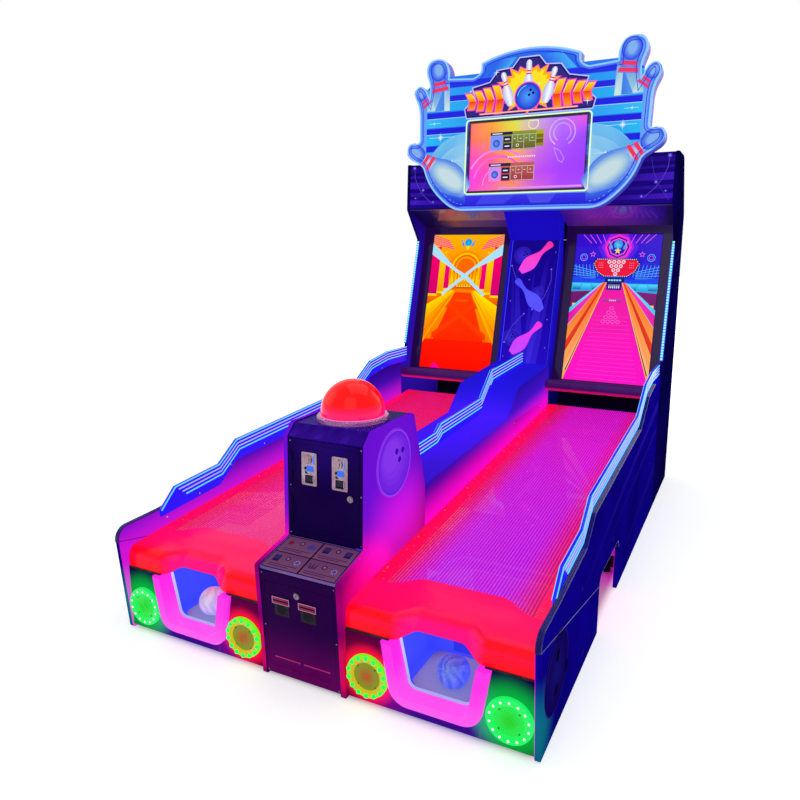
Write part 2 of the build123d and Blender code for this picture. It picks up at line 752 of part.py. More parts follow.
pin_scale = 0.72
pin_depth = 12.0
pin_spots = ((-82, 600, -45), (84, 356, 44), (-86, 74, -41))    # (x, v, turn in degrees)


def pin_lamp(x, v, turn):
    """Pin-shaped acrylic light on the face of the centre column."""
    (y0, z0), (y1, z1) = column_line[:2]
    plane = leaning_plane(back + y0, z0, math.degrees(math.atan2(y1 - y0, z1 - z0)))
    return plane * (Pos(x, v, 0) * Rot(0, 0, turn) * extrude(pin_outline(pin_scale), amount=pin_depth))


def screen_bezel():
    """Dark surround of a lane screen."""
    rim = slab(screen_plane, (column_half, wall_x), bezel_v, (0, bezel_depth))
    x = (lane_mid - screen_width / 2, lane_mid + screen_width / 2)
    return rim - slab(screen_plane, x, (0, screen_height), (-1, bezel_depth + 1))


def lane_screen():
    """Portrait screen behind its surround, a shell that is open at the back."""
    x = (lane_mid - screen_width / 2 - 12, lane_mid + screen_width / 2 + 12)
    v = (-12, screen_height + 12)
    shell = slab(screen_plane, x, v, (-monitor_depth, 0))
    inside = ((x[0] + sheet, x[1] - sheet), (v[0] + sheet, v[1] - sheet))
    return shell - slab(screen_plane, *inside, (-monitor_depth - 1, -screen_glass))


def canopy_panel():
    """Glossy soffit from the header down to the top of a screen surround."""
    tilt = math.radians(screen_lean)
    foot_y = back + screen_bottom[0] + bezel_v[1] * math.sin(tilt) - bezel_depth * math.cos(tilt)
    foot_z = screen_bottom[1] + bezel_v[1] * math.cos(tilt) + bezel_depth * math.sin(tilt)
    line = [(foot_y, foot_z), (back + housing_front[2][0] + 8, housing_front[2][1])]
    return bent_sheet(line, -6.0, column_half, wall_x)


header_line = housing_y([(-478.0, 1752.0), (-462.0, housing_height - 4)])


def header_y(z):
    """y of the header's front face at a height."""
    (y0, z0), (y1, z1) = header_line
    return y0 + (z - z0) * (y1 - y0) / (z1 - z0)


def header_front():
    """Board across the top of the housing, behind the sign."""
    return bent_sheet(header_line, 12.0, -wall_x, wall_x)


def roof_panel():
    """Folded roof and sloping upper back of the housing."""
    line = housing_y([(-448.0, housing_height - 4), (-206.0, housing_height - 4), (-6.0, 1704.0)])
    return bent_sheet(line, 10.0, -wall_x, wall_x)


rear_door_z = (120.0, 1560.0)
rear_door_x = (90.0, 780.0)
rear_inset = 9.0            # back wall set in from the rear edges of the side boards
rear_face = back - rear_inset
rear_spans = ((250.0, 370.0), (1310.0, 1430.0))
rear_plane = Plane(origin=(0, rear_face, 0), x_dir=(-1, 0, 0), z_dir=(0, 1, 0))


louvres = 6
louvre_pitch = 26.0
louvre_height = 10.0
louvre_drop = 160.0         # from the door's top edge to the first louvre
louvre_margin = 180.0
inlet_half = 36.0
inlet_z = (60.0, 100.0)
inlet_depth = 60.0
inlet_lip = (12.0, 8.0)     # width of the inlet's rim at its sides, and above and below


def rear_frame():
    """Back wall of the housing with its two service openings and the fixed parts of their hinges."""
    plate = block((-wall_x, wall_x), (rear_face - board, rear_face), (14, 1688))
    for side in (-1, 1):
        x = sorted((side * rear_door_x[0], side * rear_door_x[1]))
        plate -= block(x, (back - 60, back + 1), rear_door_z)
    hinges = [fixed_hinge(rear_plane, -rear_door_x[1] + 1, span, "v") for span in rear_spans]
    for hinge in hinges:
        plate += hinge
        plate += mirror(hinge, about=Plane.YZ)
    return plate - block((-inlet_half, inlet_half), (back - 60, back + 1), inlet_z)


def rear_door():
    """Service door at the back, hung at its outer edge, with louvres."""
    x = (rear_door_x[0] + 1.5, rear_door_x[1] - 1.5)
    plate = block(x, (rear_face - board, rear_face), (rear_door_z[0] + 2, rear_door_z[1] - 2))
    for i in range(louvres):
        z = rear_door_z[1] - louvre_drop - i * louvre_pitch
        slot_x = (x[0] + louvre_margin, x[1] - louvre_margin)
        plate -= block(slot_x, (back - 60, back + 1), (z - louvre_height / 2, z + louvre_height / 2))
    for span in rear_spans:
        plate += knuckle(rear_plane, -rear_door_x[1] + 1, span, "v")
    return plate


def power_inlet():
    """Mains inlet let into the foot of the back wall."""
    body = block((-inlet_half, inlet_half), (rear_face - inlet_depth, rear_face), inlet_z)
    well_x = (inlet_lip[0] - inlet_half, inlet_half - inlet_lip[0])
    well_z = (inlet_z[0] + inlet_lip[1], inlet_z[1] - inlet_lip[1])
    return body - block(well_x, (rear_face - board, rear_face + 1), well_z)


bar_radius = 35.0
bar_centre = (back - 589.0, 677.0)


def impact_bar():
    """Padded round bar above the mouth where the balls leave the lane."""
    bar = Rot(0, 90, 0) * Cylinder(bar_radius, lane_width)
    return Pos(lane_mid, bar_centre[0], bar_centre[1]) * bar


def catch_pan():
    """Sloping pan that gathers balls behind the lane and feeds the return channel."""
    line = [(lane_back[0] + 40, 250.0), (rear_face - board - 6, 440.0)]
    return bent_sheet(line, 10.0, column_half, wall_x)


ball_spot = (14.0, 157.0)   # ball's centre from the middle of the lane, and its y


def ball():
    """A smooth bowling ball waiting in its tray."""
    radius = ball_diameter / 2
    return Pos(lane_mid + ball_spot[0], ball_spot[1], tray_floor + radius + 0.3) * Sphere(radius)


channel_wall = 4.0
channel_back = lane_back[0] + 36


def return_channel():
    """Open channel under the lane that brings a ball back to its tray."""
    front = (tray_back, tray_floor - 2)
    rear = (channel_back, 236.0)
    outer = [(front[0], front[1]), (rear[0], rear[1]), (rear[0], rear[1] + 60), (front[0], front[1] + 60)]
    inner = [(front[0] - 5, front[1] + channel_wall), (rear[0] + 5, rear[1] + channel_wall)]
    inner += [(rear[0] + 5, rear[1] + 90), (front[0] - 5, front[1] + 90)]
    body = yz_plate(outer, lane_mid - channel_half - channel_wall, lane_mid + channel_half + channel_wall)
    return body - yz_plate(inner, lane_mid - channel_half, lane_mid + channel_half)


# ---------------------------------------------------------------- lit sign
marquee_plane = leaning_plane(back + marquee_bottom[0], marquee_bottom[1], marquee_lean)
picture_v = (117.0, 117.0 + marquee_picture[1])


def marquee_outline():
    """Outline of the sign: a bowl-shaped board with pins leaning out at its sides and a crown."""
    lower = Polyline((-395, 0), (395, 0))
    flank = Spline((395, 0), (520, 52), (625, 165), (668, 260), tangents=[(1, 0.05), (0.35, 1)])
    low_pin = Spline((668, 260), (735, 310), (786, 372), (768, 418), (715, 420), (700, 440),
                     tangents=[(0.6, 1), (0, 1)])
    edge = Line((700, 440), (704, 585))
    small_pin = Spline((704, 585), (722, 660), (742, 722), (712, 762), (668, 742), (640, 690),
                       tangents=[(0.1, 1), (-0.5, -1)])
    tall_pin = Spline((640, 690), (640, 760), (664, 850), (640, 900), (592, 912), (536, 893), (512, 850),
                      (506, 790), tangents=[(0, 1), (0, -1)])
    shoulder = Line((506, 790), (352, 778))
    crown = Spline((352, 778), (306, 806), (300, 858), tangents=[(-1, 0.3), (0, 1)])
    arch = ThreePointArc((300, 858), (0, marquee_height), (-300, 858))
    right = [flank, low_pin, edge, small_pin, tall_pin, shoulder, crown]
    left = [mirror(piece, about=Plane.YZ) for piece in right]
    return make_face(Curve() + [lower, arch] + right + left)


def inset_polygon(face, distance, count):
    """Many-sided outline that runs inside a face's edge at a distance."""
    wire = face.face().outer_wire()
    inward = 1 if face.face().normal_at().Z > 0 else -1
    points = []
    for i in range(count):
        spot = wire.position_at(i / count)
        along = wire.tangent_at(i / count)
        points.append((spot.X - inward * distance * along.Y, spot.Y + inward * distance * along.X))
    return make_face(Polyline(*points, close=True))


arm_x = (200.0, 260.0)
arm_z = (1790.0, 1990.0)


def marquee_case():
    """Folded tray of the sign's light box, with the two arms that hold it to the header."""
    outline = marquee_outline()
    body = extrude(marquee_plane * outline, amount=-marquee_depth)
    floor = marquee_plane.offset(-marquee_depth + sheet)
    body -= extrude(floor * inset_polygon(outline, sheet, 180), amount=marquee_depth)
    case_back = [(leaning_y(marquee_plane, marquee_lean, z) + marquee_depth - 2, z) for z in arm_z]
    header_face = [(header_y(z), z) for z in arm_z]
    for side in (-1, 1):
        x = sorted((side * arm_x[0], side * arm_x[1]))
        body += yz_plate(case_back + header_face[::-1], *x)
    return body


def marquee_face():
    """Printed acrylic front of the sign, open at its screen."""
    face = extrude(marquee_plane * marquee_outline(), amount=5)
    half = marquee_picture[0] / 2 + 6
    return face - slab(marquee_plane, (-half, half), (picture_v[0] - 6, picture_v[1] + 6), (-1, 6))


def marquee_monitor():
    """Landscape screen in the sign, a shell that is open at the back."""
    half = marquee_picture[0] / 2 + 15
    v = (picture_v[0] - 15, picture_v[1] + 15)
    shell = slab(marquee_plane, (-half, half), v, (-marquee_depth + sheet, 0))
    inside = (v[0] + sheet, v[1] - sheet)
    return shell - slab(marquee_plane, (sheet - half, half - sheet), inside, (-marquee_depth, -screen_glass))


# ---------------------------------------------------------------- base
tube_y = (120.0, 720.0, 1340.0, seam - 60, back - 120)
tube_z = 30.0               # underside of the cross tubes
tube_size = 40.0
tube_wall = 3.0
foot_margin = 60.0          # from a tube's end to its levelling foot
pad_radius = 22.0
pad_height = 12.0
stem_radius = 6.0


def base_frame():
    """Cross tubes under the machine with their levelling feet, as separate solids."""
    pieces = []
    low, high = tube_z, tube_z + tube_size
    for y in tube_y:
        for side in (-1, 1):
            x = sorted((side * core_half_width, side * wall_x))
            tube = block(x, (y, y + tube_size), (low, high))
            inside = ((y + tube_wall, y + tube_size - tube_wall), (low + tube_wall, high - tube_wall))
            tube -= block((x[0] - 1, x[1] + 1), *inside)
            middle = y + tube_size / 2
            for foot_x in (x[0] + foot_margin, x[1] - foot_margin):
                stem = Cylinder(stem_radius, low - pad_height)
                tube += Pos(foot_x, middle, (pad_height + low) / 2) * stem
                tube += Pos(foot_x, middle, pad_height / 2) * Cylinder(pad_radius, pad_height)
            pieces.append(tube)
    return Compound(pieces)


# ---------------------------------------------------------------- write every node
right_panel = side_panel()
middle_y = (right_panel.bounding_box().min.Y + overall_depth) / 2


def save(name, part):
    """Write one node, with the origin moved to the bottom centre of the machine."""
    export_step(Pos(0, -middle_y, 0) * part, f"parts/{name}.step")


def save_pair(name, right_part):
    """Write a right-hand part and its mirrored left-hand twin as two nodes."""
    save(name + "_right", right_part)
    save(name + "_left", mirror(right_part, about=Plane.YZ))


save_pair("side_panel", right_panel)
save("rear_sides", both_sides(rear_side()))
save("side_lights", both_sides(side_light()))
save("divider_shell", divider_shell())
save("divider_light", divider_light())
save_pair("lane", lane())
save("lane_bearers", Compound([p for bar in lane_bearers() for p in (bar, mirror(bar, about=Plane.YZ))]))
save_pair("apron", apron())
gaskets = apron_gasket()
save("apron_gaskets", Compound([p for bar in gaskets for p in (bar, mirror(bar, about=Plane.YZ))]))
save("fascias", both_sides(fascia()))
save("opening_trims", both_sides(opening_trim()))
save("ball_trays", both_sides(ball_tray()))
save("outer_lamps", both_sides(lamp(half_width - 97)))
save("inner_lamps", both_sides(lamp(core_half_width + 85)))
save("coin_sides", both_sides(coin_side()))
save("coin_top_cover", coin_top_cover())
save("coin_front_frame", coin_front_frame())
save("instruction_panel", instruction_panel())
save("ticket_frame", ticket_frame())
save("beacon_base", beacon_base())
save("beacon_dome", beacon_dome())
save("cash_box", cash_box())
save("cabinet_floor", cabinet_floor())
save("coin_door", coin_door())
save("coin_bezels", Compound([coin_bezel(-1), coin_bezel(1)]))
save("coin_acceptors", Compound([coin_acceptor(-1), coin_acceptor(1)]))
save("reject_button_left", reject_button(-1))
save("reject_button_right", reject_button(1))
save("return_flap_left", return_flap(-1))
save("return_flap_right", return_flap(1))
save("coin_door_lock", cam_lock(coin_plane, coin_lock, 26))
save("ticket_door", ticket_door())
save("ticket_bezels", Compound([ticket_bezel(x) for x in slot_centres]))
save("ticket_dispensers", Compound([ticket_dispenser(x) for x in slot_centres]))
save("ticket_door_lock", cam_lock(ticket_plane, ticket_lock, 22))
save("feed_roller_left", feed_roller(slot_centres[0]))
save("feed_roller_right", feed_roller(slot_centres[1]))
save("column_walls", both_sides(column_wall()))
save("column_face", column_face())
save("pin_lamps", Compound([pin_lamp(*spot) for spot in pin_spots]))
save("screen_bezels", both_sides(screen_bezel()))
save("lane_screens", both_sides(lane_screen()))
save("canopy_panels", both_sides(canopy_panel()))
save("header_front", header_front())
save("roof_panel", roof_panel())
save("rear_frame", rear_frame())
save_pair("rear_door", rear_door())
save("impact_bars", both_sides(impact_bar()))
returns = [return_channel(), catch_pan()]
save("ball_returns", Compound([p for piece in returns for p in (piece, mirror(piece, about=Plane.YZ))]))
save("marquee_case", marquee_case())
save("marquee_face", marquee_face())
save("marquee_monitor", marquee_monitor())
save_pair("ball", ball())
save("base_frame", base_frame())
save("power_inlet", power_inlet())
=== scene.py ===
import json
import logging
import math
import random
from collections.abc import Iterable, Sequence
from dataclasses import dataclass, field
from enum import Enum, IntEnum

import bmesh
import bpy
from mathutils import Matrix, Vector

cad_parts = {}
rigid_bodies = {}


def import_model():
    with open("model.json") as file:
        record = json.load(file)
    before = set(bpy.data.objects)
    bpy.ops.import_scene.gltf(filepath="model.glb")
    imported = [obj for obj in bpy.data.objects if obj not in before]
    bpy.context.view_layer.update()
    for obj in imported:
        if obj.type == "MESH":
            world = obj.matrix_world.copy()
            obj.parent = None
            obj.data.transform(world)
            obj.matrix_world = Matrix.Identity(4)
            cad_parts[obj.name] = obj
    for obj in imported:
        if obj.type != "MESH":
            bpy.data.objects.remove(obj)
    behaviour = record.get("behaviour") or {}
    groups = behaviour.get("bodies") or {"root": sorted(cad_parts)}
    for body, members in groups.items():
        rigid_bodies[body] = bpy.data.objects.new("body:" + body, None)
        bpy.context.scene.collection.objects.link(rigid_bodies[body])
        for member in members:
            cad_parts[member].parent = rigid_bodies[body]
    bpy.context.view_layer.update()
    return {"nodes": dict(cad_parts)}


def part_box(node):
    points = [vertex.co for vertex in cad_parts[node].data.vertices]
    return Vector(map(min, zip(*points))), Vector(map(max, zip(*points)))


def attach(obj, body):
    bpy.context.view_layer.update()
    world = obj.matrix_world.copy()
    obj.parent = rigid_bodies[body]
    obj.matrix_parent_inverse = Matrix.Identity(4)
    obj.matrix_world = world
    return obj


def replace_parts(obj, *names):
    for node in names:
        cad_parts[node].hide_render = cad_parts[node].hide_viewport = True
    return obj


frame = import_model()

LOG = logging.getLogger("bowling_machine")

Colour = tuple[float, float, float]
Tint = str | Colour
Point2 = tuple[float, float]
Point3 = tuple[float, float, float]

BLACK: Colour = (0.0, 0.0, 0.0)
TINY = 1e-9

# ---------------------------------------------------------------- sizes shared by several sub-assemblies, in metres
NOSE_TO_MIDDLE = 1.4521
HALF_WIDTH = 0.850
BOARD = 0.018
WALL_X = HALF_WIDTH - BOARD
CORE_X = 0.174
LANE_MID = (CORE_X + WALL_X) / 2
BACK = 2.9
SEAM = 2.29
OUTER_LAMP_X = HALF_WIDTH - 0.097
INNER_LAMP_X = CORE_X + 0.085
LAMP_HEIGHT = 0.112
PRINT_LIFT = 0.0004
INNER_FACE = 0.8335


def fy(y: float) -> float:
    """Turn a distance behind the noses of the side boards, in metres, into a y of the frame."""
    return y - NOSE_TO_MIDDLE


class Side(IntEnum):
    """Half of the machine as seen from its front; the value is the sign of x there."""

    LEFT = -1
    RIGHT = 1

    @property
    def word(self) -> str:
        """The side as it stands in the names of pieces."""
        return self.name.lower()


def rgb(tint: Tint) -> Colour:
    """Turn a colour into the linear values that shaders use.

    Args:
        tint: red, green and blue as two hex digits each, or linear values, which stay as they are.

    Returns:
        The three linear values from 0 to 1.
    """
    if not isinstance(tint, str):
        return tint
    parts = [int(tint[i:i + 2], 16) / 255 for i in (0, 2, 4)]
    return tuple(c / 12.92 if c <= 0.04045 else ((c + 0.055) / 1.055) ** 2.4 for c in parts)


def mix(a: Tint, b: Tint, share: float) -> Colour:
    """Blend two colours; share is how much of the second there is."""
    return tuple(p + (q - p) * share for p, q in zip(rgb(a), rgb(b)))


# ---------------------------------------------------------------- shader building
class Graph:
    """A node tree while it is being built."""

    def __init__(self, tree: bpy.types.NodeTree) -> None:
        """Start with a tree."""
        self.tree = tree

    def node(self, kind: str, inputs: dict | None = None, **settings: object) -> bpy.types.Node:
        """Add a node.

        Args:
            kind: Blender's name of the node type.
            inputs: values or output sockets for its inputs, by name or number.
            **settings: attributes set on the node.

        Returns:
            The new node.
        """
        made = self.tree.nodes.new(kind)
        for key, value in settings.items():
            setattr(made, key, value)
        for key, value in (inputs or {}).items():
            self.feed(made.inputs[key], value)
        return made

    def feed(self, socket: bpy.types.NodeSocket, value: object) -> None:
        """Link a socket to an output, or set it to a value or a colour."""
        if isinstance(value, bpy.types.NodeSocket):
            self.tree.links.new(value, socket)
        else:
            socket.default_value = (*rgb(value), 1.0) if socket.type == "RGBA" else value

    def maths(self, kind: str, a: object, b: object = 0.0) -> bpy.types.NodeSocket:
        """One step of arithmetic on two values or sockets."""
        return self.node("ShaderNodeMath", {0: a, 1: b}, operation=kind).outputs[0]

    def times(self, *factors: object) -> bpy.types.NodeSocket:
        """The product of values or sockets."""
        first, *rest = factors
        for factor in rest:
            first = self.maths("MULTIPLY", first, factor)
        return first


class Shader(Graph):
    """One node material while it is being built."""

    def __init__(self, name: str) -> None:
        """Start a material with a principled surface.

        Args:
            name: the material's name.
        """
        self.material = bpy.data.materials.new(name)
        self.material.use_nodes = True
        super().__init__(self.material.node_tree)
        self.surface = self.tree.nodes["Principled BSDF"]
        self.place = self.node("ShaderNodeTexCoord").outputs["Object"]
        flat = self.node("ShaderNodeVectorMath", {0: self.place}, operation="ABSOLUTE").outputs[0]
        self.width = self.node("ShaderNodeSeparateXYZ", {0: flat}).outputs[0]
        self.x, self.y, self.z = self.node("ShaderNodeSeparateXYZ", {0: self.place}).outputs
        self.folded = self.node("ShaderNodeCombineXYZ", {0: self.width, 1: self.y, 2: self.z}).outputs[0]
        self.set(Specular_IOR_Level=0.14)

    def set(self, **values: object) -> None:
        """Set or link inputs of the surface; underscores in names stand for spaces."""
        for key, value in values.items():
            self.feed(self.surface.inputs[key.replace("_", " ")], value)

    def noise(self, scale: float, detail: float = 3.0, stretch: Point3 = (1, 1, 1)) -> bpy.types.NodeSocket:
        """Noise in the object's own space; stretch divides its size along each axis."""
        spread = self.node("ShaderNodeMapping", {"Vector": self.place, "Scale": Vector(stretch)})
        return self.node("ShaderNodeTexNoise", {"Vector": spread.outputs[0], "Scale": scale,
                                                "Detail": detail}).outputs["Fac"]

    def ramp(self, value: bpy.types.NodeSocket, stops: list[tuple[float, Tint]]) -> bpy.types.NodeSocket:
        """Turn a value into a colour through a list of (position, colour) stops."""
        made = self.node("ShaderNodeValToRGB", {"Fac": value})
        elements = made.color_ramp.elements
        while len(elements) < len(stops):
            elements.new(0.5)
        for element, (spot, colour) in zip(elements, stops):
            element.position = spot
            element.color = (*rgb(colour), 1.0)
        return made.outputs["Color"]

    def uneven(self, middle: float, swing: float, scale: float, detail: float) -> bpy.types.NodeSocket:
        """A value that noise moves upwards from a half swing under its middle."""
        return self.maths("ADD", self.times(self.noise(scale, detail), swing), middle - swing / 2)

    def speck(self, amount: float, scale: float, detail: float = 4.0) -> bpy.types.NodeSocket:
        """Noise about zero."""
        return self.times(self.maths("SUBTRACT", self.noise(scale, detail), 0.5), amount)

    def darker(self, share: float, colour: object) -> bpy.types.NodeSocket:
        """A colour moved towards black."""
        return self.blend(share, colour, BLACK)

    def shine(self, colour: object, strength: float, shade: float, **values: object) -> None:
        """Let the surface glow in a colour.

        Args:
            colour: the colour.
            strength: how brightly it glows.
            shade: how much darker the colour is where it only reflects.
            **values: other inputs of the surface, as in set.
        """
        self.set(Base_Color=self.darker(shade, colour), Emission_Color=colour, Emission_Strength=strength, **values)

    def blend(self, share: object, a: object, b: object, kind: str = "MIX") -> bpy.types.NodeSocket:
        """Blend two colours by a share."""
        made = self.node("ShaderNodeMixRGB", {"Fac": share, "Color1": a, "Color2": b}, blend_type=kind)
        return made.outputs["Color"]

    def along(self, direction: Point3, start: float, end: float) -> bpy.types.NodeSocket:
        """0 to 1 as a place moves along a direction from one distance to another, in metres."""
        dot = self.node("ShaderNodeVectorMath", {0: self.place, 1: Vector(direction)}, operation="DOT_PRODUCT")
        return self.smooth(dot.outputs["Value"], start, end)

    def smooth(self, value: bpy.types.NodeSocket, start: float, end: float) -> bpy.types.NodeSocket:
        """Ease a value from 0 at start to 1 at end."""
        return self.node("ShaderNodeMapRange", {"Value": value, "From Min": start, "From Max": end},
                         interpolation_type="SMOOTHSTEP").outputs[0]

    def near(self, centre: Point3, radius: float, soft: float, both_sides: bool = True) -> bpy.types.NodeSocket:
        """1 inside a ball round a point, easing to 0 over a soft edge, on both sides of the machine or on one."""
        place = self.folded if both_sides else self.place
        gap = self.node("ShaderNodeVectorMath", {0: place, 1: Vector(centre)}, operation="DISTANCE")
        return self.smooth(gap.outputs["Value"], radius + soft, radius)

    def bump(self, height: bpy.types.NodeSocket, strength: float, distance: float = 0.001) -> None:
        """Press a height pattern into the surface."""
        made = self.node("ShaderNodeBump", {"Height": height, "Strength": strength, "Distance": distance})
        self.tree.links.new(made.outputs[0], self.surface.inputs["Normal"])

    def mottled(self, colour: Tint, second: Tint, scale: float) -> bpy.types.NodeSocket:
        """A colour with slow, uneven variation towards a second one."""
        return self.ramp(self.noise(scale, 4.0), [(0.35, colour), (0.7, second)])


@dataclass(frozen=True)
class Wash:
    """Coloured light that falls on a surface round a lamp, or beside a lit face.

    Attributes:
        colour: the light's colour.
        strength: how bright the wash is at its middle.
        centre: the lamp's place, for a round wash.
        radius: size of the round wash's bright middle.
        soft: width over which the wash fades.
        direction: direction of fading, for a flat wash.
        start: distance along direction where a flat wash is full.
        both_sides: whether a round wash is also on the other side of the machine.
        within: only faces nearer to the middle of the machine than this are lit, if it is given.
        beyond: only faces further from the middle of the machine than this are lit, if it is given.
    """

    colour: Tint
    strength: float
    centre: Point3 | None = None
    radius: float = 0.05
    soft: float = 0.1
    direction: Point3 = (0, 0, 1)
    start: float = 0.0
    both_sides: bool = True
    within: float | None = None
    beyond: float | None = None

    def share(self, shader: Shader) -> bpy.types.NodeSocket:
        """How much of the wash there is at each place."""
        if self.centre is not None:
            lit = shader.near(self.centre, self.radius, self.soft, self.both_sides)
        else:
            lit = shader.along(self.direction, self.start + self.soft, self.start)
        if self.within is not None:
            lit = shader.times(lit, shader.maths("LESS_THAN", shader.width, self.within))
        if self.beyond is not None:
            lit = shader.times(lit, shader.maths("GREATER_THAN", shader.width, self.beyond))
        return lit


def add_washes(shader: Shader, washes: tuple[Wash, ...]) -> None:
    """Add the light of several washes to a surface.

    Args:
        shader: the material that is lit.
        washes: the washes, added to each other.
    """
    if not washes:
        return
    total = None
    for wash in washes:
        lit = tuple(c * wash.strength for c in rgb(wash.colour))
        patch = shader.blend(wash.share(shader), BLACK, lit)
        total = patch if total is None else shader.blend(1.0, total, patch, "ADD")
    shader.set(Emission_Color=total, Emission_Strength=1.0)


# ---------------------------------------------------------------- finishes
@dataclass(frozen=True)
class Finish:
    """What a surface is made of. A finish that is used again is built only once.

    Attributes:
        name: the material's name.
    """

    name: str

    def paint(self, s: Shader) -> None:
        """Set up the surface."""
        raise NotImplementedError

    def material(self) -> bpy.types.Material:
        """Build the finish's material, or find it if it is there already."""
        made = bpy.data.materials.get(self.name)
        if made is None:
            shader = Shader(self.name)
            self.paint(shader)
            made = shader.material
        return made


@dataclass(frozen=True)
class Laminate(Finish):
    """Printed laminate on a board: even colour, faint mottling and orange peel, scuffs near the foot."""

    colour: Tint
    second: Tint
    roughness: float = 0.38
    washes: tuple[Wash, ...] = ()
    flank: tuple[float, Tint] | None = None

    def paint(self, s: Shader) -> None:
        """Build the finish; flank is a distance from the middle beyond which another colour is printed."""
        colour = s.mottled(self.colour, self.second, 2.2)
        if self.flank is not None:
            colour = s.blend(s.maths("GREATER_THAN", s.width, self.flank[0]), colour, self.flank[1])
        scuff = s.smooth(s.noise(38.0, 6.0, (1, 1, 0.25)), 0.66, 0.72)
        low = s.along((0, 0, 1), 0.12, 0.0)
        colour = s.blend(s.times(scuff, low), colour, "4a4658")
        rough = s.uneven(self.roughness, 0.16, 9.0, 5.0)
        s.set(Base_Color=colour, Roughness=rough, Specular_IOR_Level=0.0)
        s.bump(s.noise(420.0, 2.0), 0.12, 0.0006)
        add_washes(s, self.washes)


@dataclass(frozen=True)
class PowderCoat(Finish):
    """Fine textured powder coat on sheet steel."""

    colour: Tint
    roughness: float = 0.45
    grain: float = 900.0
    washes: tuple[Wash, ...] = ()

    def paint(self, s: Shader) -> None:
        """Build the finish."""
        colour = s.mottled(self.colour, mix(self.colour, (0.08, 0.05, 0.16), 0.06), 5.0)
        s.set(Base_Color=colour, Roughness=self.roughness, Specular_IOR_Level=0.01)
        s.bump(s.noise(self.grain, 2.0), 0.35, 0.0005)
        add_washes(s, self.washes)


@dataclass(frozen=True)
class BareMetal(Finish):
    """Cast or polished metal with fine scratches and finger marks."""

    colour: Tint
    roughness: float = 0.28
    brushed: Point3 = (1, 1, 40)

    def paint(self, s: Shader) -> None:
        """Build the finish."""
        marks = s.noise(60.0, 5.0)
        rough = s.maths("ADD", s.times(marks, 0.2), self.roughness - 0.08)
        s.set(Base_Color=s.mottled(self.colour, mix(self.colour, (1, 1, 1), 0.15), 25.0), Metallic=1.0,
              Roughness=rough)
        s.bump(s.noise(500.0, 3.0, self.brushed), 0.08, 0.0004)


@dataclass(frozen=True)
class Moulding(Finish):
    """Moulded plastic: soft gloss, slight colour drift, faint flow marks."""

    colour: Tint
    second: Tint
    roughness: float = 0.3
    coat: float = 0.2
    washes: tuple[Wash, ...] = ()

    def paint(self, s: Shader) -> None:
        """Build the finish."""
        rough = s.uneven(self.roughness, 0.14, 14.0, 4.0)
        s.set(Base_Color=s.mottled(self.colour, self.second, 6.0), Roughness=rough, Specular_IOR_Level=0.15,
              Coat_Weight=self.coat * 0.2, Coat_Roughness=0.08)
        s.bump(s.noise(260.0, 3.0), 0.1, 0.0005)
        add_washes(s, self.washes)


@dataclass(frozen=True)
class LitPlastic(Finish):
    """Translucent plastic lit from inside, its colour drifting from the first colour to the second along a direction,
    with fine specks.
    """

    colour: Tint
    second: Tint
    glow: float
    scale: float = 30.0
    direction: Point3 = (0, 0, 1)
    start: float = 0.0
    end: float = 1.0
    roughness: float = 0.25

    def paint(self, s: Shader) -> None:
        """Build the finish."""
        drift = s.along(self.direction, self.start, self.end)
        speck = s.speck(0.25, self.scale, 4.0)
        colour = s.ramp(s.maths("ADD", drift, speck), [(0.0, self.colour), (1.0, self.second)])
        s.shine(colour, self.glow, 0.75, Roughness=self.roughness, Coat_Weight=0.12, Coat_Roughness=0.06)
        s.bump(s.noise(self.scale * 9, 2.0), 0.08, 0.0005)


@dataclass(frozen=True)
class Artwork(Finish):
    """Printed or displayed picture whose colours are painted on the mesh."""

    glow: float = 0.0
    roughness: float = 0.3
    coat: float = 0.0
    grain: float = 700.0
    saturation: float = 1.0

    def paint(self, s: Shader) -> None:
        """Build the finish."""
        paint = s.node("ShaderNodeVertexColor", layer_name="paint").outputs["Color"]
        if self.saturation != 1.0:
            paint = s.node("ShaderNodeHueSaturation",
                           {"Color": paint, "Saturation": self.saturation}).outputs["Color"]
        speck = s.smooth(s.noise(self.grain, 2.0), 0.2, 0.8)
        paint = s.blend(s.times(speck, 0.12), paint, BLACK)
        dark = s.darker(0.75 if self.glow else 0.0, paint)
        s.set(Base_Color=dark, Roughness=self.roughness, Coat_Weight=self.coat, Coat_Roughness=0.07,
              Specular_IOR_Level=0.0)
        # glow is the light of a screen or a lit sign; on a print on an unlit board it is painted light
        if self.glow:
            s.set(Emission_Color=paint, Emission_Strength=self.glow)
        s.bump(s.noise(self.grain * 0.5, 2.0), 0.03, 0.0004)


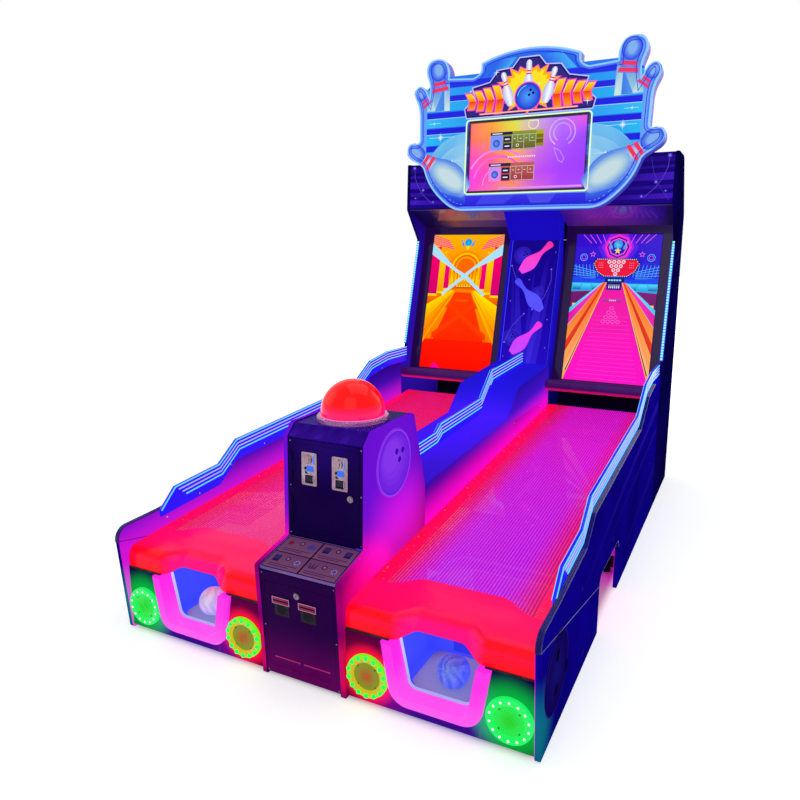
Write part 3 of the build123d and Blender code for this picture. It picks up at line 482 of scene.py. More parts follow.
@dataclass(frozen=True)
class LaneSheet(Finish):
    """Clear sheet over a ribbed lane: magenta ribs, smooth red strips and a sharp reflection."""

    middle: Tint
    far: Tint
    strip: Tint

    def paint(self, s: Shader) -> None:
        """Build the finish."""
        side = s.maths("ABSOLUTE", s.maths("SUBTRACT", s.maths("ABSOLUTE", s.x), LANE_MID))
        edge = s.smooth(side, 0.12, 0.285)
        rib = s.maths("SINE", s.times(s.x, math.tau / 0.012))
        rib = s.smooth(rib, -0.6, 0.6)
        length = s.smooth(s.y, -1.25, 0.85)
        flat = s.blend(length, self.middle, self.far)
        flat = s.blend(edge, flat, self.strip)
        inner = s.smooth(side, 0.266, 0.262)
        dark = s.blend(1.0, flat, "8c50d8", "MULTIPLY")
        ribbed = s.blend(s.times(rib, inner, 0.85), flat, dark)
        cross = s.smooth(s.maths("SINE", s.times(s.y, math.tau / 0.012)), -0.2, 0.9)
        weave = s.times(cross, inner, 0.04)
        ribbed = s.blend(weave, ribbed, "ff9ae6")
        dust = s.times(s.smooth(s.noise(90.0, 5.0), 0.62, 0.75), 0.1)
        ribbed = s.blend(dust, ribbed, "ffd0f0")
        s.shine(ribbed, 0.85, 0.6, Roughness=0.4, Coat_Weight=0.45, Coat_Roughness=0.03)
        s.bump(s.noise(150.0, 2.0), 0.02, 0.0005)


@dataclass(frozen=True)
class Rubber(Finish):
    """Matt rubber or woven mat with a fine pebbled surface."""

    colour: Tint
    grain: float = 300.0
    washes: tuple[Wash, ...] = ()

    def paint(self, s: Shader) -> None:
        """Build the finish."""
        s.set(Base_Color=s.mottled(self.colour, mix(self.colour, (0.4, 0.4, 0.45), 0.12), 40.0), Roughness=0.75)
        s.bump(s.noise(self.grain, 4.0), 0.5, 0.0008)
        add_washes(s, self.washes)


@dataclass(frozen=True)
class Vinyl(Finish):
    """Soft padded vinyl with grain and a low sheen."""

    colour: Tint
    washes: tuple[Wash, ...] = ()

    def paint(self, s: Shader) -> None:
        """Build the finish."""
        cells = s.node("ShaderNodeTexVoronoi", {"Vector": s.place, "Scale": 330.0}).outputs["Distance"]
        s.set(Base_Color=s.mottled(self.colour, mix(self.colour, (0.3, 0.2, 0.4), 0.04), 9.0), Roughness=0.42,
              Specular_IOR_Level=0.1)
        s.bump(cells, 0.25, 0.0006)
        add_washes(s, self.washes)


@dataclass(frozen=True)
class TintedDome(Finish):
    """Tinted see-through plastic that glows, deeper in colour towards its top."""

    low: Tint
    high: Tint
    foot: float
    top: float

    def paint(self, s: Shader) -> None:
        """Build the finish."""
        rise = s.along((0, 0, 1), self.foot, self.top)
        colour = s.ramp(rise, [(0.0, self.low), (0.35, self.high), (1.0, self.high)])
        s.shine(colour, 0.92, 0.88, Roughness=0.14, Transmission_Weight=0.1, IOR=1.35, Coat_Weight=0.1,
                Coat_Roughness=0.05)
        s.bump(s.noise(45.0, 2.0), 0.02, 0.001)


@dataclass(frozen=True)
class ClearPlastic(Finish):
    """Clear acrylic with polished edges and a few fine scratches."""

    colour: Tint
    glow: Tint = BLACK

    def paint(self, s: Shader) -> None:
        """Build the finish."""
        scratch = s.smooth(s.noise(70.0, 6.0, (1, 6, 1)), 0.6, 0.7)
        s.set(Base_Color=self.colour, Transmission_Weight=0.8, IOR=1.49, Emission_Color=self.glow,
              Emission_Strength=1.0, Roughness=s.maths("ADD", s.times(scratch, 0.1), 0.04))


@dataclass(frozen=True)
class BallResin(Finish):
    """Polished bowling-ball resin with soft swirls and small scuffs; the ball glows faintly with painted light."""

    colour: Tint
    swirl: Tint
    glow: float = 0.25

    def paint(self, s: Shader) -> None:
        """Build the finish."""
        wave = s.node("ShaderNodeTexWave", {"Vector": s.place, "Scale": 9.0, "Distortion": 14.0, "Detail": 3.0})
        scuff = s.smooth(s.noise(170.0, 5.0), 0.58, 0.66)
        colour = s.blend(s.times(wave.outputs["Fac"], 0.7), self.colour, self.swirl)
        colour = s.blend(s.times(scuff, 0.25), colour, (0.75, 0.8, 1.0))
        # the ball is no lamp: its faint glow is painted light
        s.set(Base_Color=colour, Roughness=0.22, Coat_Weight=0.5, Coat_Roughness=0.05, Emission_Color=colour,
              Emission_Strength=self.glow)
        s.bump(s.noise(240.0, 3.0), 0.08, 0.0005)


# ---------------------------------------------------------------- mesh building
def finish_piece(mesh: bmesh.types.BMesh, name: str, finish: Finish, smooth: float | None = 35.0,
                 body: str = "machine") -> bpy.types.Object:
    """Turn a built mesh into a piece that rides on a body.

    Args:
        mesh: the built mesh, which is freed.
        name: the piece's name.
        finish: what it is made of.
        smooth: largest angle that is shaded smooth, in degrees, or None for flat faces.
        body: the body it rides on.

    Returns:
        The new piece.
    """
    data = bpy.data.meshes.new(name)
    mesh.to_mesh(data)
    mesh.free()
    data.materials.append(finish.material())
    piece = bpy.data.objects.new(name, data)
    bpy.context.scene.collection.objects.link(piece)
    if smooth is not None:
        data.shade_smooth()
        data.set_sharp_from_angle(angle=math.radians(smooth))
    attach(piece, body)
    return piece


def add_lathe(mesh: bmesh.types.BMesh, profile: list[Point2], frame_of: Matrix, steps: int = 48) -> None:
    """Add a turned shape.

    Args:
        mesh: the mesh that it is added to.
        profile: (radius, height) points; a radius of 0 closes the shape on its axis.
        frame_of: matrix that places the axis, which is the local z.
        steps: number of steps round the axis.
    """
    rings = []
    for radius, height in profile:
        if radius <= 1e-7:
            rings.append([mesh.verts.new(frame_of @ Vector((0, 0, height)))])
            continue
        turn = [math.tau * i / steps for i in range(steps)]
        rings.append([mesh.verts.new(frame_of @ Vector((radius * math.cos(a), radius * math.sin(a), height)))
                      for a in turn])
    for low, high in zip(rings, rings[1:]):
        for i in range(steps):
            j = (i + 1) % steps
            corners = [low[i % len(low)], low[j % len(low)], high[j % len(high)], high[i % len(high)]]
            unique = list(dict.fromkeys(corners))
            if len(unique) > 2:
                mesh.faces.new(unique)


def add_tube(mesh: bmesh.types.BMesh, path: list[Vector], radius: float, sides: int = 8,
             closed: bool = False) -> None:
    """Add a round bar that follows a path, with domed ends where it is open.

    Args:
        mesh: the mesh that it is added to.
        path: points along the bar.
        radius: the bar's radius.
        sides: number of sides round it.
        closed: whether the last point joins the first.
    """
    count = len(path)
    rings = []
    side = None
    for i, spot in enumerate(path):
        before = path[i - 1] if closed or i > 0 else spot
        after = path[(i + 1) % count] if closed or i < count - 1 else spot
        one, two = spot - before, after - spot
        one = one.normalized() if one.length > TINY else two.normalized()
        two = two.normalized() if two.length > TINY else one
        run = (one + two).normalized()
        if side is None:
            side = run.orthogonal().normalized()
        side = (side - run * side.dot(run)).normalized()
        up = run.cross(side)
        widen = 1.0 / max(0.35, run.dot(two))
        turn_side = two - one
        bend = turn_side.normalized() if turn_side.length > 1e-6 else None
        ring = []
        for k in range(sides):
            a = math.tau * k / sides
            offset = side * (radius * math.cos(a)) + up * (radius * math.sin(a))
            if bend is not None:
                offset += bend * (offset.dot(bend) * (widen - 1.0))
            ring.append(mesh.verts.new(spot + offset))
        rings.append(ring)
    pairs = list(zip(rings, rings[1:])) + ([(rings[-1], rings[0])] if closed else [])
    for low, high in pairs:
        bridge(mesh, low, high)
    if not closed:
        for ring, spot, nearby in ((rings[0], path[0], path[1]), (rings[-1], path[-1], path[-2])):
            tip = mesh.verts.new(spot + (spot - nearby).normalized() * radius * 0.6)
            for k in range(sides):
                mesh.faces.new((ring[k], ring[(k + 1) % sides], tip))


def bridge(mesh: bmesh.types.BMesh, low: list[bmesh.types.BMVert], high: list[bmesh.types.BMVert]) -> None:
    """Add the faces between two closed rings that have as many corners."""
    for i in range(len(low)):
        j = (i + 1) % len(low)
        mesh.faces.new((low[i], low[j], high[j], high[i]))


def add_rounded_box(mesh: bmesh.types.BMesh, low: Point3, high: Point3, place: Matrix, edge: float = 0.001) -> None:
    """Add a box with bevelled edges, in a local frame.

    Args:
        mesh: the mesh that it is added to.
        low: lowest corner.
        high: highest corner.
        place: matrix of the local frame.
        edge: width of the bevel.
    """
    size = [h - l for l, h in zip(low, high)]
    middle = Vector([(l + h) / 2 for l, h in zip(low, high)])
    made = bmesh.ops.create_cube(mesh, size=1.0, matrix=Matrix.Translation(middle) @ Matrix.Diagonal((*size, 1.0)))
    edges = list(dict.fromkeys(e for v in made["verts"] for e in v.link_edges))
    done = bmesh.ops.bevel(mesh, geom=edges, offset=edge, segments=2, affect="EDGES", profile=0.6)
    corners = {v for v in made["verts"] if v.is_valid} | {v for v in done["verts"] if v.is_valid}
    for vertex in corners:
        vertex.co = place @ vertex.co


def add_sheet(mesh: bmesh.types.BMesh, outline: list[Vector], offset: Vector) -> None:
    """Add a plate from a flat outline and an offset through its thickness."""
    front = [mesh.verts.new(p) for p in outline]
    rear = [mesh.verts.new(p + offset) for p in outline]
    mesh.faces.new(front)
    mesh.faces.new(rear[::-1])
    for i in range(len(outline)):
        j = (i + 1) % len(outline)
        mesh.faces.new((front[j], front[i], rear[i], rear[j]))


def add_screw(mesh: bmesh.types.BMesh, place: Matrix, radius: float = 0.004) -> None:
    """Add a pan-head screw with a cross recess, its head facing local +z."""
    head = [(radius, 0.0), (radius, radius * 0.25), (radius * 0.8, radius * 0.5), (radius * 0.35, radius * 0.6)]
    add_lathe(mesh, [*head, (radius * 0.3, radius * 0.35), (0.0, radius * 0.3)], place, 16)


def fit_screws(name: str, spots: Iterable[Matrix], radius: float, tint: str, roughness: float) -> None:
    """Build a set of screws as one piece of the machine.

    Args:
        name: the piece's name, which ends in an s.
        spots: a frame for each screw, whose z is the screw's axis.
        radius: radius of a head.
        tint: colour of the metal.
        roughness: its roughness.
    """
    mesh = bmesh.new()
    for spot in spots:
        add_screw(mesh, spot, radius)
    finish_piece(mesh, name, BareMetal(f"{name[:-1]}_metal", tint, roughness))


def facing(place: Point3, normal: Point3, up: Point3 = (0, 0, 1)) -> Matrix:
    """A frame at a place: local z along the normal, local y as near to up as it can be."""
    z = Vector(normal).normalized()
    y = (Vector(up) - z * z.dot(Vector(up))).normalized()
    x = y.cross(z)
    return Matrix.Translation(place) @ Matrix((x, y, z)).transposed().to_4x4()


def shifted(place: Matrix, x: float, y: float, z: float = 0.0) -> Matrix:
    """The frame moved along its own directions."""
    return place @ Matrix.Translation((x, y, z))


def leaning(x: float, y: float, z: float, lean: float) -> Matrix:
    """A frame on a face that leans back by an angle in degrees: x to the right, y up the face, z out of it."""
    tilt = math.radians(lean)
    return facing((x, fy(y), z), (0, -math.cos(tilt), math.sin(tilt)))


def dress(node: str, finish: Finish) -> None:
    """Give a CAD node its finish."""
    piece = frame["nodes"][node]
    skin = finish.material()
    for place in piece.material_slots:
        place.material = skin
    if not piece.material_slots:
        piece.data.materials.append(skin)


def outline_of(node: str, place: Matrix) -> list[Point2]:
    """Outline of a CAD node's flat face that lies on a plane.

    Args:
        node: the node.
        place: a frame on the plane, whose z looks out of the face.

    Returns:
        The longest loop of the face's edge in the frame's x and y, in order.
    """
    mesh = bmesh.new()
    mesh.from_mesh(frame["nodes"][node].data)
    bmesh.ops.remove_doubles(mesh, verts=mesh.verts, dist=1e-6)
    mesh.transform(place.inverted())
    mesh.normal_update()
    faces = [f for f in mesh.faces if f.normal.z > 0.999 and abs(f.calc_center_median().z) < 2e-4]
    loop = longest_loop(faces)
    mesh.free()
    return [(p.x, p.y) for p in loop]


def longest_loop(faces: list[bmesh.types.BMFace]) -> list[Vector]:
    """Longest loop round the outside of some faces, as points in order."""
    chosen = set(faces)
    follow: dict[int, list[int]] = {}
    spots: dict[int, Vector] = {}
    for face in faces:
        for loop in face.loops:
            if sum(1 for f in loop.edge.link_faces if f in chosen) == 1:
                a, b = loop.vert, loop.link_loop_next.vert
                follow.setdefault(a.index, []).append(b.index)
                spots[a.index], spots[b.index] = a.co.copy(), b.co.copy()
    best: list[Vector] = []
    length_of_best = 0.0
    while follow:
        start = next(iter(follow))
        walk = [start]
        here = start
        while here in follow:
            ahead = follow[here].pop()
            if not follow[here]:
                del follow[here]
            here = ahead
            if here == start:
                break
            walk.append(here)
        points = [spots[i] for i in walk]
        length = sum((p - q).length for p, q in zip(points, points[1:] + points[:1]))
        if length > length_of_best:
            best, length_of_best = points, length
    return best


def mm(*points: Point2) -> list[Point2]:
    """Points given in millimetres, in metres."""
    return [(x / 1000, y / 1000) for x, y in points]


def arc_points(x: float, y: float, radius: float, start: float, sweep: float, steps: int = 24) -> list[Point2]:
    """Points along an arc; angles are in degrees."""
    turn = [math.radians(start + sweep * i / steps) for i in range(steps + 1)]
    return [(x + radius * math.cos(a), y + radius * math.sin(a)) for a in turn]


def ease(value: float, start: float, end: float) -> float:
    """Smooth step from 0 at start to 1 at end."""
    t = min(1.0, max(0.0, (value - start) / (end - start)))
    return t * t * (3.0 - 2.0 * t)


def mirrored(points: list[Point2], side: int) -> list[Point2]:
    """The points as they are for side 1, or mirrored left to right for side -1."""
    return [(side * x, y) for x, y in points]


def turning(points: list[Point2]) -> float:
    """Twice the area of a closed outline, positive if it runs anticlockwise."""
    return sum(a[0] * b[1] - b[0] * a[1] for a, b in zip(points, points[1:] + points[:1]))


def fade(low: Tint, high: Tint) -> list[Tint]:
    """Colours for four corners, the first two low and the last two high."""
    return [low] * 2 + [high] * 2


def inset(points: list[Point2], distance: float) -> list[Point2]:
    """Move a closed outline inwards.

    Args:
        points: the outline, in either direction.
        distance: how far it moves; negative moves it outwards.

    Returns:
        The moved outline.
    """
    sign = 1.0 if turning(points) > 0 else -1.0
    moved = []
    for i, (x, y) in enumerate(points):
        ax, ay = points[i - 1]
        bx, by = points[(i + 1) % len(points)]
        one, two = Vector((x - ax, y - ay)), Vector((bx - x, by - y))
        if one.length < TINY or two.length < TINY:
            continue
        run = one.normalized() + two.normalized()
        run = run.normalized() if run.length > 1e-6 else two.normalized()
        reach = distance / max(0.4, run.dot(two.normalized()))
        moved.append((x - sign * run.y * reach, y + sign * run.x * reach))
    return moved


# ---------------------------------------------------------------- pictures
class Picture:
    """Flat artwork painted as coloured faces in thin layers on a plane."""

    LAYER = 0.00003
    PIN_OUTLINE = ((0.066, 0.0), (0.09, 0.03), (0.152, 0.23), (0.157, 0.33), (0.135, 0.45), (0.085, 0.59),
                   (0.062, 0.69), (0.063, 0.75), (0.08, 0.83), (0.086, 0.9), (0.07, 0.96), (0.035, 0.992),
                   (0.0, 1.0))
    PIN_SHINE = 0.12
    PIN_BANDS = ((0.6, 0.64, 0.083), (0.68, 0.72, 0.064))

    def __init__(self, name: str, place: Matrix) -> None:
        """Start an empty picture.

        Args:
            name: the finished piece's name.
            place: frame of the picture, in metres: x across, y up and z out of it.
        """
        self.name = name
        self.place = place
        self.mesh = bmesh.new()
        self.paint = self.mesh.loops.layers.float_color.new("paint")
        self.layer = 0

    def corners(self, points: list[Point2]) -> list[bmesh.types.BMVert]:
        """Add corners to the newest layer."""
        height = self.layer * self.LAYER
        return [self.mesh.verts.new(self.place @ Vector((x, y, height))) for x, y in points]

    def face(self, corners: Sequence[bmesh.types.BMVert], tints: Sequence[Tint]) -> None:
        """Add a face with a colour for each of its corners."""
        for loop, tint in zip(self.mesh.faces.new(corners).loops, tints):
            loop[self.paint] = (*rgb(tint), 1.0)

    def shape(self, points: list[Point2], tint: Tint | list[Tint], side: int = 1) -> None:
        """Paint a filled shape.

        Args:
            points: its corners.
            tint: one colour, or one for each corner.
            side: -1 mirrors the shape.
        """
        self.layer += 1
        points = mirrored(points, side)
        tints = tint if isinstance(tint, list) else [tint] * len(points)
        if turning(points) < 0:
            points, tints = points[::-1], tints[::-1]
        self.face(self.corners(points), tints)

    def box(self, x0: float, y0: float, x1: float, y1: float, low: Tint, high: Tint | None = None) -> None:
        """Paint a rectangle, shaded from a low to a high colour if there are two."""
        self.shape([(x0, y0), (x1, y0), (x1, y1), (x0, y1)], fade(low, high or low))

    def side_box(self, side: Side, x0: float, y0: float, x1: float, y1: float, low: Tint,
                 high: Tint | None = None) -> None:
        """Paint a rectangle, given as it is on the right, on one side of the middle."""
        left, right = sorted((side * x0, side * x1))
        self.box(left, y0, right, y1, low, high)

    def disc(self, x: float, y: float, radius: float, tint: Tint, middle: Tint | None = None,
             steps: int = 40) -> None:
        """Paint a disc, shaded from its middle to its edge if there are two colours."""
        turn = [math.tau * i / steps for i in range(steps)]
        rim = [(x + radius * math.cos(a), y + radius * math.sin(a)) for a in turn]
        if middle is None:
            self.shape(rim, tint)
            return
        self.layer += 1
        hub, *edge = self.corners([(x, y), *rim])
        for i in range(steps):
            self.face((hub, edge[i], edge[(i + 1) % steps]), (middle, tint, tint))

    def ring(self, x: float, y: float, radius: float, width: float, tint: Tint, start: float = 0.0,
             sweep: float = 360.0, steps: int = 48) -> None:
        """Paint a ring or part of one; angles are in degrees."""
        self.line(arc_points(x, y, radius, start, sweep, steps), width, tint)

    def line(self, points: list[Point2], width: float, tint: Tint, closed: bool = False, end: Tint | None = None,
             side: int = 1) -> None:
        """Paint a line of even width.

        Args:
            points: places along it.
            width: its width.
            tint: its colour.
            closed: whether the last point joins the first.
            end: colour that it is shaded towards, if there is one.
            side: -1 mirrors the line.
        """
        points = mirrored(points, side)
        loop = points + points[:1] if closed else points
        self.layer += 1
        rails = []
        for i, (x, y) in enumerate(loop):
            before = loop[i - 1] if i > 0 else (loop[-2] if closed else loop[i])
            after = loop[i + 1] if i < len(loop) - 1 else (loop[1] if closed else loop[i])
            one, two = Vector((x - before[0], y - before[1])), Vector((after[0] - x, after[1] - y))
            one = one.normalized() if one.length > TINY else two.normalized()
            two = two.normalized() if two.length > TINY else one
            run = (one + two).normalized() if (one + two).length > 1e-6 else two
            reach = width / 2 / max(0.45, run.dot(two))
            rails.append(self.corners([(x - k * run.y * reach, y + k * run.x * reach) for k in (-1, 1)]))
        total = max(1, len(rails) - 1)
        for i, (a, b) in enumerate(zip(rails, rails[1:])):
            near, far = (mix(tint, end, share / total) if end else tint for share in (i, i + 1))
            self.face((a[0], b[0], b[1], a[1]), (near, far, far, near))

    def pin(self, x: float, y: float, scale: float, turn: float, tint: Tint, shade: Tint, band: Tint | None = None,
            fat: float = 1.0, start: float = 0.0) -> None:
        """Paint a bowling pin standing on a point.

        Args:
            x: place across of its foot.
            y: place up of its foot.
            scale: its height.
            turn: angle in degrees, anticlockwise.
            tint: body colour.
            shade: colour at its edges.
            band: colour of the two neck bands, if it has them.
            fat: how much wider than usual it is.
            start: share of its height where it begins, for a pin whose foot is covered.
        """
        half = [(u * fat, v) for u, v in self.PIN_OUTLINE if v >= start]
        a = math.radians(turn)

        def spot(u: float, v: float) -> Point2:
            """Place of a point of the pin on the picture."""
            across, up = u * math.cos(a) - v * math.sin(a), u * math.sin(a) + v * math.cos(a)
            return (x + scale * across, y + scale * up)

        self.layer += 1
        for ends in zip(half, half[1:]):
            low, high = (self.corners([spot(k * u, v) for k in (-1, self.PIN_SHINE, 1)]) for u, v in ends)
            for k in (0, 1):
                near = (shade, tint) if k == 0 else (tint, shade)
                if ends[1][0] == 0.0:
                    self.face((low[k], low[k + 1], high[1]), (*near, tint))
                else:
                    self.face((low[k], low[k + 1], high[k + 1], high[k]), (*near, *near[::-1]))
        if band:
            for low, high, wide in self.PIN_BANDS:
                wide *= fat
                self.shape([spot(-wide, low), spot(wide, low), spot(wide * 0.95, high), spot(-wide * 0.95, high)],
                           band)

    def star(self, x: float, y: float, radius: float, tint: Tint, points: int = 5, waist: float = 0.45,
             turn: float = 90.0) -> None:
        """Paint a star."""
        outline = []
        for i in range(points * 2):
            reach = radius if i % 2 == 0 else radius * waist
            a = math.radians(turn + 180.0 * i / points)
            outline.append((x + reach * math.cos(a), y + reach * math.sin(a)))
        self.shape(outline, tint)

    def spark(self, x: float, y: float, size: float, tint: Tint) -> None:
        """Paint a small four-pointed sparkle."""
        self.star(x, y, size, tint, 4, 0.12)

    def ball(self, x: float, y: float, radius: float, tint: Tint, light: Tint, hole: Tint) -> None:
        """Paint a bowling ball with its three finger holes."""
        self.disc(x, y, radius, tint, light)
        for dx, dy in ((0.2, 0.45), (0.42, 0.22), (0.1, 0.1)):
            self.disc(x + dx * radius, y + dy * radius, radius * 0.1, hole, steps=16)

    def done(self, finish: Finish, slot: str) -> None:
        """Finish the picture as a piece of the machine."""
        finish_piece(self.mesh, self.name, finish, None)


# ---------------------------------------------------------------- light that the lanes throw beside them
LANE_SLOPE = math.radians(4.61)
LANE_NORMAL = (0.0, -math.sin(LANE_SLOPE), math.cos(LANE_SLOPE))
LANE_LEVEL = 0.4563


def lane_washes(within: float | None = None, beyond: float | None = None, reach: float = 0.26) -> tuple[Wash, ...]:
    """Red light close to the lane that turns to violet higher up.

    Args:
        within: only faces nearer to the middle than this are lit.
        beyond: only faces further from the middle than this are lit.
        reach: height over which the light fades.

    Returns:
        The two washes.
    """
    low = Wash("ff0a78", 0.55, direction=LANE_NORMAL, start=LANE_LEVEL - 0.02, soft=reach * 0.55,
               within=within, beyond=beyond)
    high = Wash("7a1cff", 0.4, direction=LANE_NORMAL, start=LANE_LEVEL + 0.03, soft=reach, within=within,
                beyond=beyond)
    return (low, high)


RAIL_LINE: list[Point2] = [(0.206, 0.437), (0.286, 0.513), (0.545, 0.535), (0.664, 0.621), (1.663, 0.691),
                           (1.877, 0.814), (2.091, 0.844), (2.35, 0.844)]
DIVIDER_RAIL: list[Point2] = [(0.640, 0.632), (1.087, 0.652), (1.141, 0.682), (1.650, 0.703), (1.809, 0.832),
                              (2.350, 0.857)]


def lowered(line: list[Point2], drop: float) -> list[Point2]:
    """The line moved down square to its own direction, with mitred corners."""
    moved = []
    for i, (y, z) in enumerate(line):
        before = line[i - 1] if i > 0 else (2 * y - line[1][0], 2 * z - line[1][1])
        after = line[i + 1] if i < len(line) - 1 else (2 * y - line[-2][0], 2 * z - line[-2][1])
        one = Vector((y - before[0], z - before[1])).normalized()
        two = Vector((after[0] - y, after[1] - z)).normalized()
        run = (one + two).normalized()
        reach = drop / max(0.5, run.dot(two))
        moved.append((y + run.y * reach, z - run.x * reach))
    return moved


# ---------------------------------------------------------------- sub-assemblies
@dataclass
class SideBoards:
    """The two front side boards and the two sides of the rear housing, with their printed balls and edge strips."""

    ball_centre: Point2 = (0.190, 0.210)
    ball_radius: float = 0.130
    edge_radius: float = 0.0035
    strip_foot: Point2 = (BACK - 0.544, 0.844)
    strip_top: Point2 = (BACK - 0.330, 1.554)

    def build(self) -> None:
        """Build and dress everything on the side boards."""
        self.dress_boards()
        for side in Side:
            self.build_print(side)
            self.build_edge(side)
            self.build_light_strip(side)

    def dress_boards(self) -> None:
        """Give the boards their laminate."""
        green = Wash("00d060", 0.22, centre=(0.84, fy(0.0), 0.10), radius=0.04, soft=0.16)
        skin = Laminate("indigo_side_laminate", "1604b0", "100384", 0.42,
                        (*lane_washes(within=INNER_FACE, reach=0.30), green))
        dress("side_panel_left", skin)
        dress("side_panel_right", skin)
        inner = Wash("4a1cff", 0.35, centre=(0.83, fy(2.5), 1.0), radius=0.25, soft=0.7, within=INNER_FACE)
        dress("rear_sides", Laminate("indigo_housing_laminate", "10066c", "0a0440", 0.4, (inner,)))

    def build_print(self, side: Side) -> None:
        """Print the ball mark, the swoops and the sparkles on the outside of one side."""
        place = facing((side * (HALF_WIDTH + 0.0002), fy(0.0), 0.0), (side, 0, 0))
        art = Picture(f"side_print_{side.word}", place)
        y, z = self.ball_centre

        def lay(points: list[Point2], low: Tint, high: Tint) -> None:
            """Paint a swoop whose colour runs from its front to its back."""
            span = max(p[0] for p in points) - min(p[0] for p in points)
            first = min(p[0] for p in points)
            art.shape([(side * a, b) for a, b in points], [mix(low, high, (a - first) / span) for a, b in points])

        lay([(0.46, 0.30), (1.20, 0.44), (2.26, 0.60), (2.26, 0.66), (1.20, 0.47), (0.46, 0.315)], "1b0a94",
            "2a1ac8")
        lay([(0.60, 0.26), (1.35, 0.37), (2.26, 0.47), (2.26, 0.50), (1.35, 0.385), (0.60, 0.268)], "1b0a90",
            "2418b4")
        lay([(1.25, 0.10), (2.26, 0.22), (2.26, 0.29), (1.25, 0.115)], "190a86", "2212a4")
        art.disc(side * y, z, self.ball_radius + 0.006, "2c1e9c")
        art.disc(side * y, z, self.ball_radius, "18086c", "241890")
        for hole_y, hole_z in ((0.196, 0.263), (0.190, 0.146), (0.308, 0.161)):
            art.disc(side * hole_y, hole_z, 0.021, "12064a", "0c0434", steps=20)
        art.ring(side * y, z, self.ball_radius * 0.82, 0.004, "342ab0", 100 if side > 0 else 10, 70)
        for spot in ((0.50, 0.34), (1.05, 0.30), (1.62, 0.52), (2.05, 0.34)):
            art.spark(side * spot[0], spot[1], 0.014, "4a4ad8")
        art.done(Artwork(f"side_ink_{side}", 0.0, 0.4), "printed_board")
        upper = Picture(f"housing_print_{side.word}", place)
        for low, tall, end, tint in ((1.05, 0.05, 2.86, "1d1070"), (1.22, 0.03, 2.86, "191064"),
                                     (1.40, 0.07, 2.86, "20127c"), (1.72, 0.04, 2.78, "1a0e60")):
            points = [(2.60, low), (end, low + 0.08), (end, low + 0.08 + tall), (2.60, low + tall * 0.8)]
            upper.shape([(side * a, b) for a, b in points], fade(tint, "0f0844"))
        for spot in ((2.62, 1.33), (2.78, 1.60), (2.60, 0.98)):
            upper.spark(side * spot[0], spot[1], 0.02, "3a34a8")
        upper.done(Artwork(f"housing_ink_{side}", 0.0, 0.4), "printed_board")

    def build_edge(self, side: Side) -> None:
        """Press a T-shaped plastic strip into the edge of the front board."""
        place = facing((side * HALF_WIDTH, fy(0.0), 0.0), (side, 0, 0))
        loop = [(side * a, b) for a, b in outline_of(f"side_panel_{side.word}", place)]
        upper = [p for p in loop if p[1] > 0.004]
        start = max(range(len(upper)), key=lambda i: math.dist(upper[i - 1], upper[i]))
        path = upper[start:] + upper[:start]
        low_front = [p for p in path if p[0] < 2.285]
        mesh = bmesh.new()
        middle = side * (HALF_WIDTH - BOARD / 2)
        for share in (-0.0062, 0.0, 0.0062):
            run = [Vector((middle + share, fy(a), b)) for a, b in low_front if b > 0.02]
            if len(run) > 3:
                add_tube(mesh, run, self.edge_radius, 6)
        skin = Moulding(f"edge_strip_plastic_{side}", "100868", "180c80", 0.3, washes=(
            Wash("00b878", 0.35, centre=(HALF_WIDTH, fy(0.0), 0.10), radius=0.05, soft=0.14),))
        finish_piece(mesh, f"edge_strip_{side.word}", skin, 60)

    def build_light_strip(self, side: Side) -> None:
        """Fix the lit strip with its row of bright segments to the front edge of the housing."""
        (y0, z0), (y1, z1) = self.strip_foot, self.strip_top
        lean = math.degrees(math.atan2(y1 - y0, z1 - z0))
        place = leaning(side * (WALL_X + 0.006), y0, z0, lean)
        length = math.hypot(y1 - y0, z1 - z0) - 0.03
        holder = bmesh.new()
        add_rounded_box(holder, (-0.009, 0.02, 0.0), (0.009, length, 0.004), place, 0.001)
        finish_piece(holder, f"strip_holder_{side.word}",
                     LitPlastic(f"strip_holder_plastic_{side}", "1430ff", "2c50ff", 0.9))
        cells = bmesh.new()
        count = int(length / 0.0165)
        for i in range(count):
            v = 0.026 + i * 0.0165
            add_rounded_box(cells, (-0.006, v, 0.0036), (0.006, v + 0.0125, 0.0062), place, 0.0012)
        finish_piece(cells, f"strip_cells_{side.word}",
                     LitPlastic(f"strip_cell_plastic_{side}", "5ce0ff", "8cecff", 1.15, 80.0))


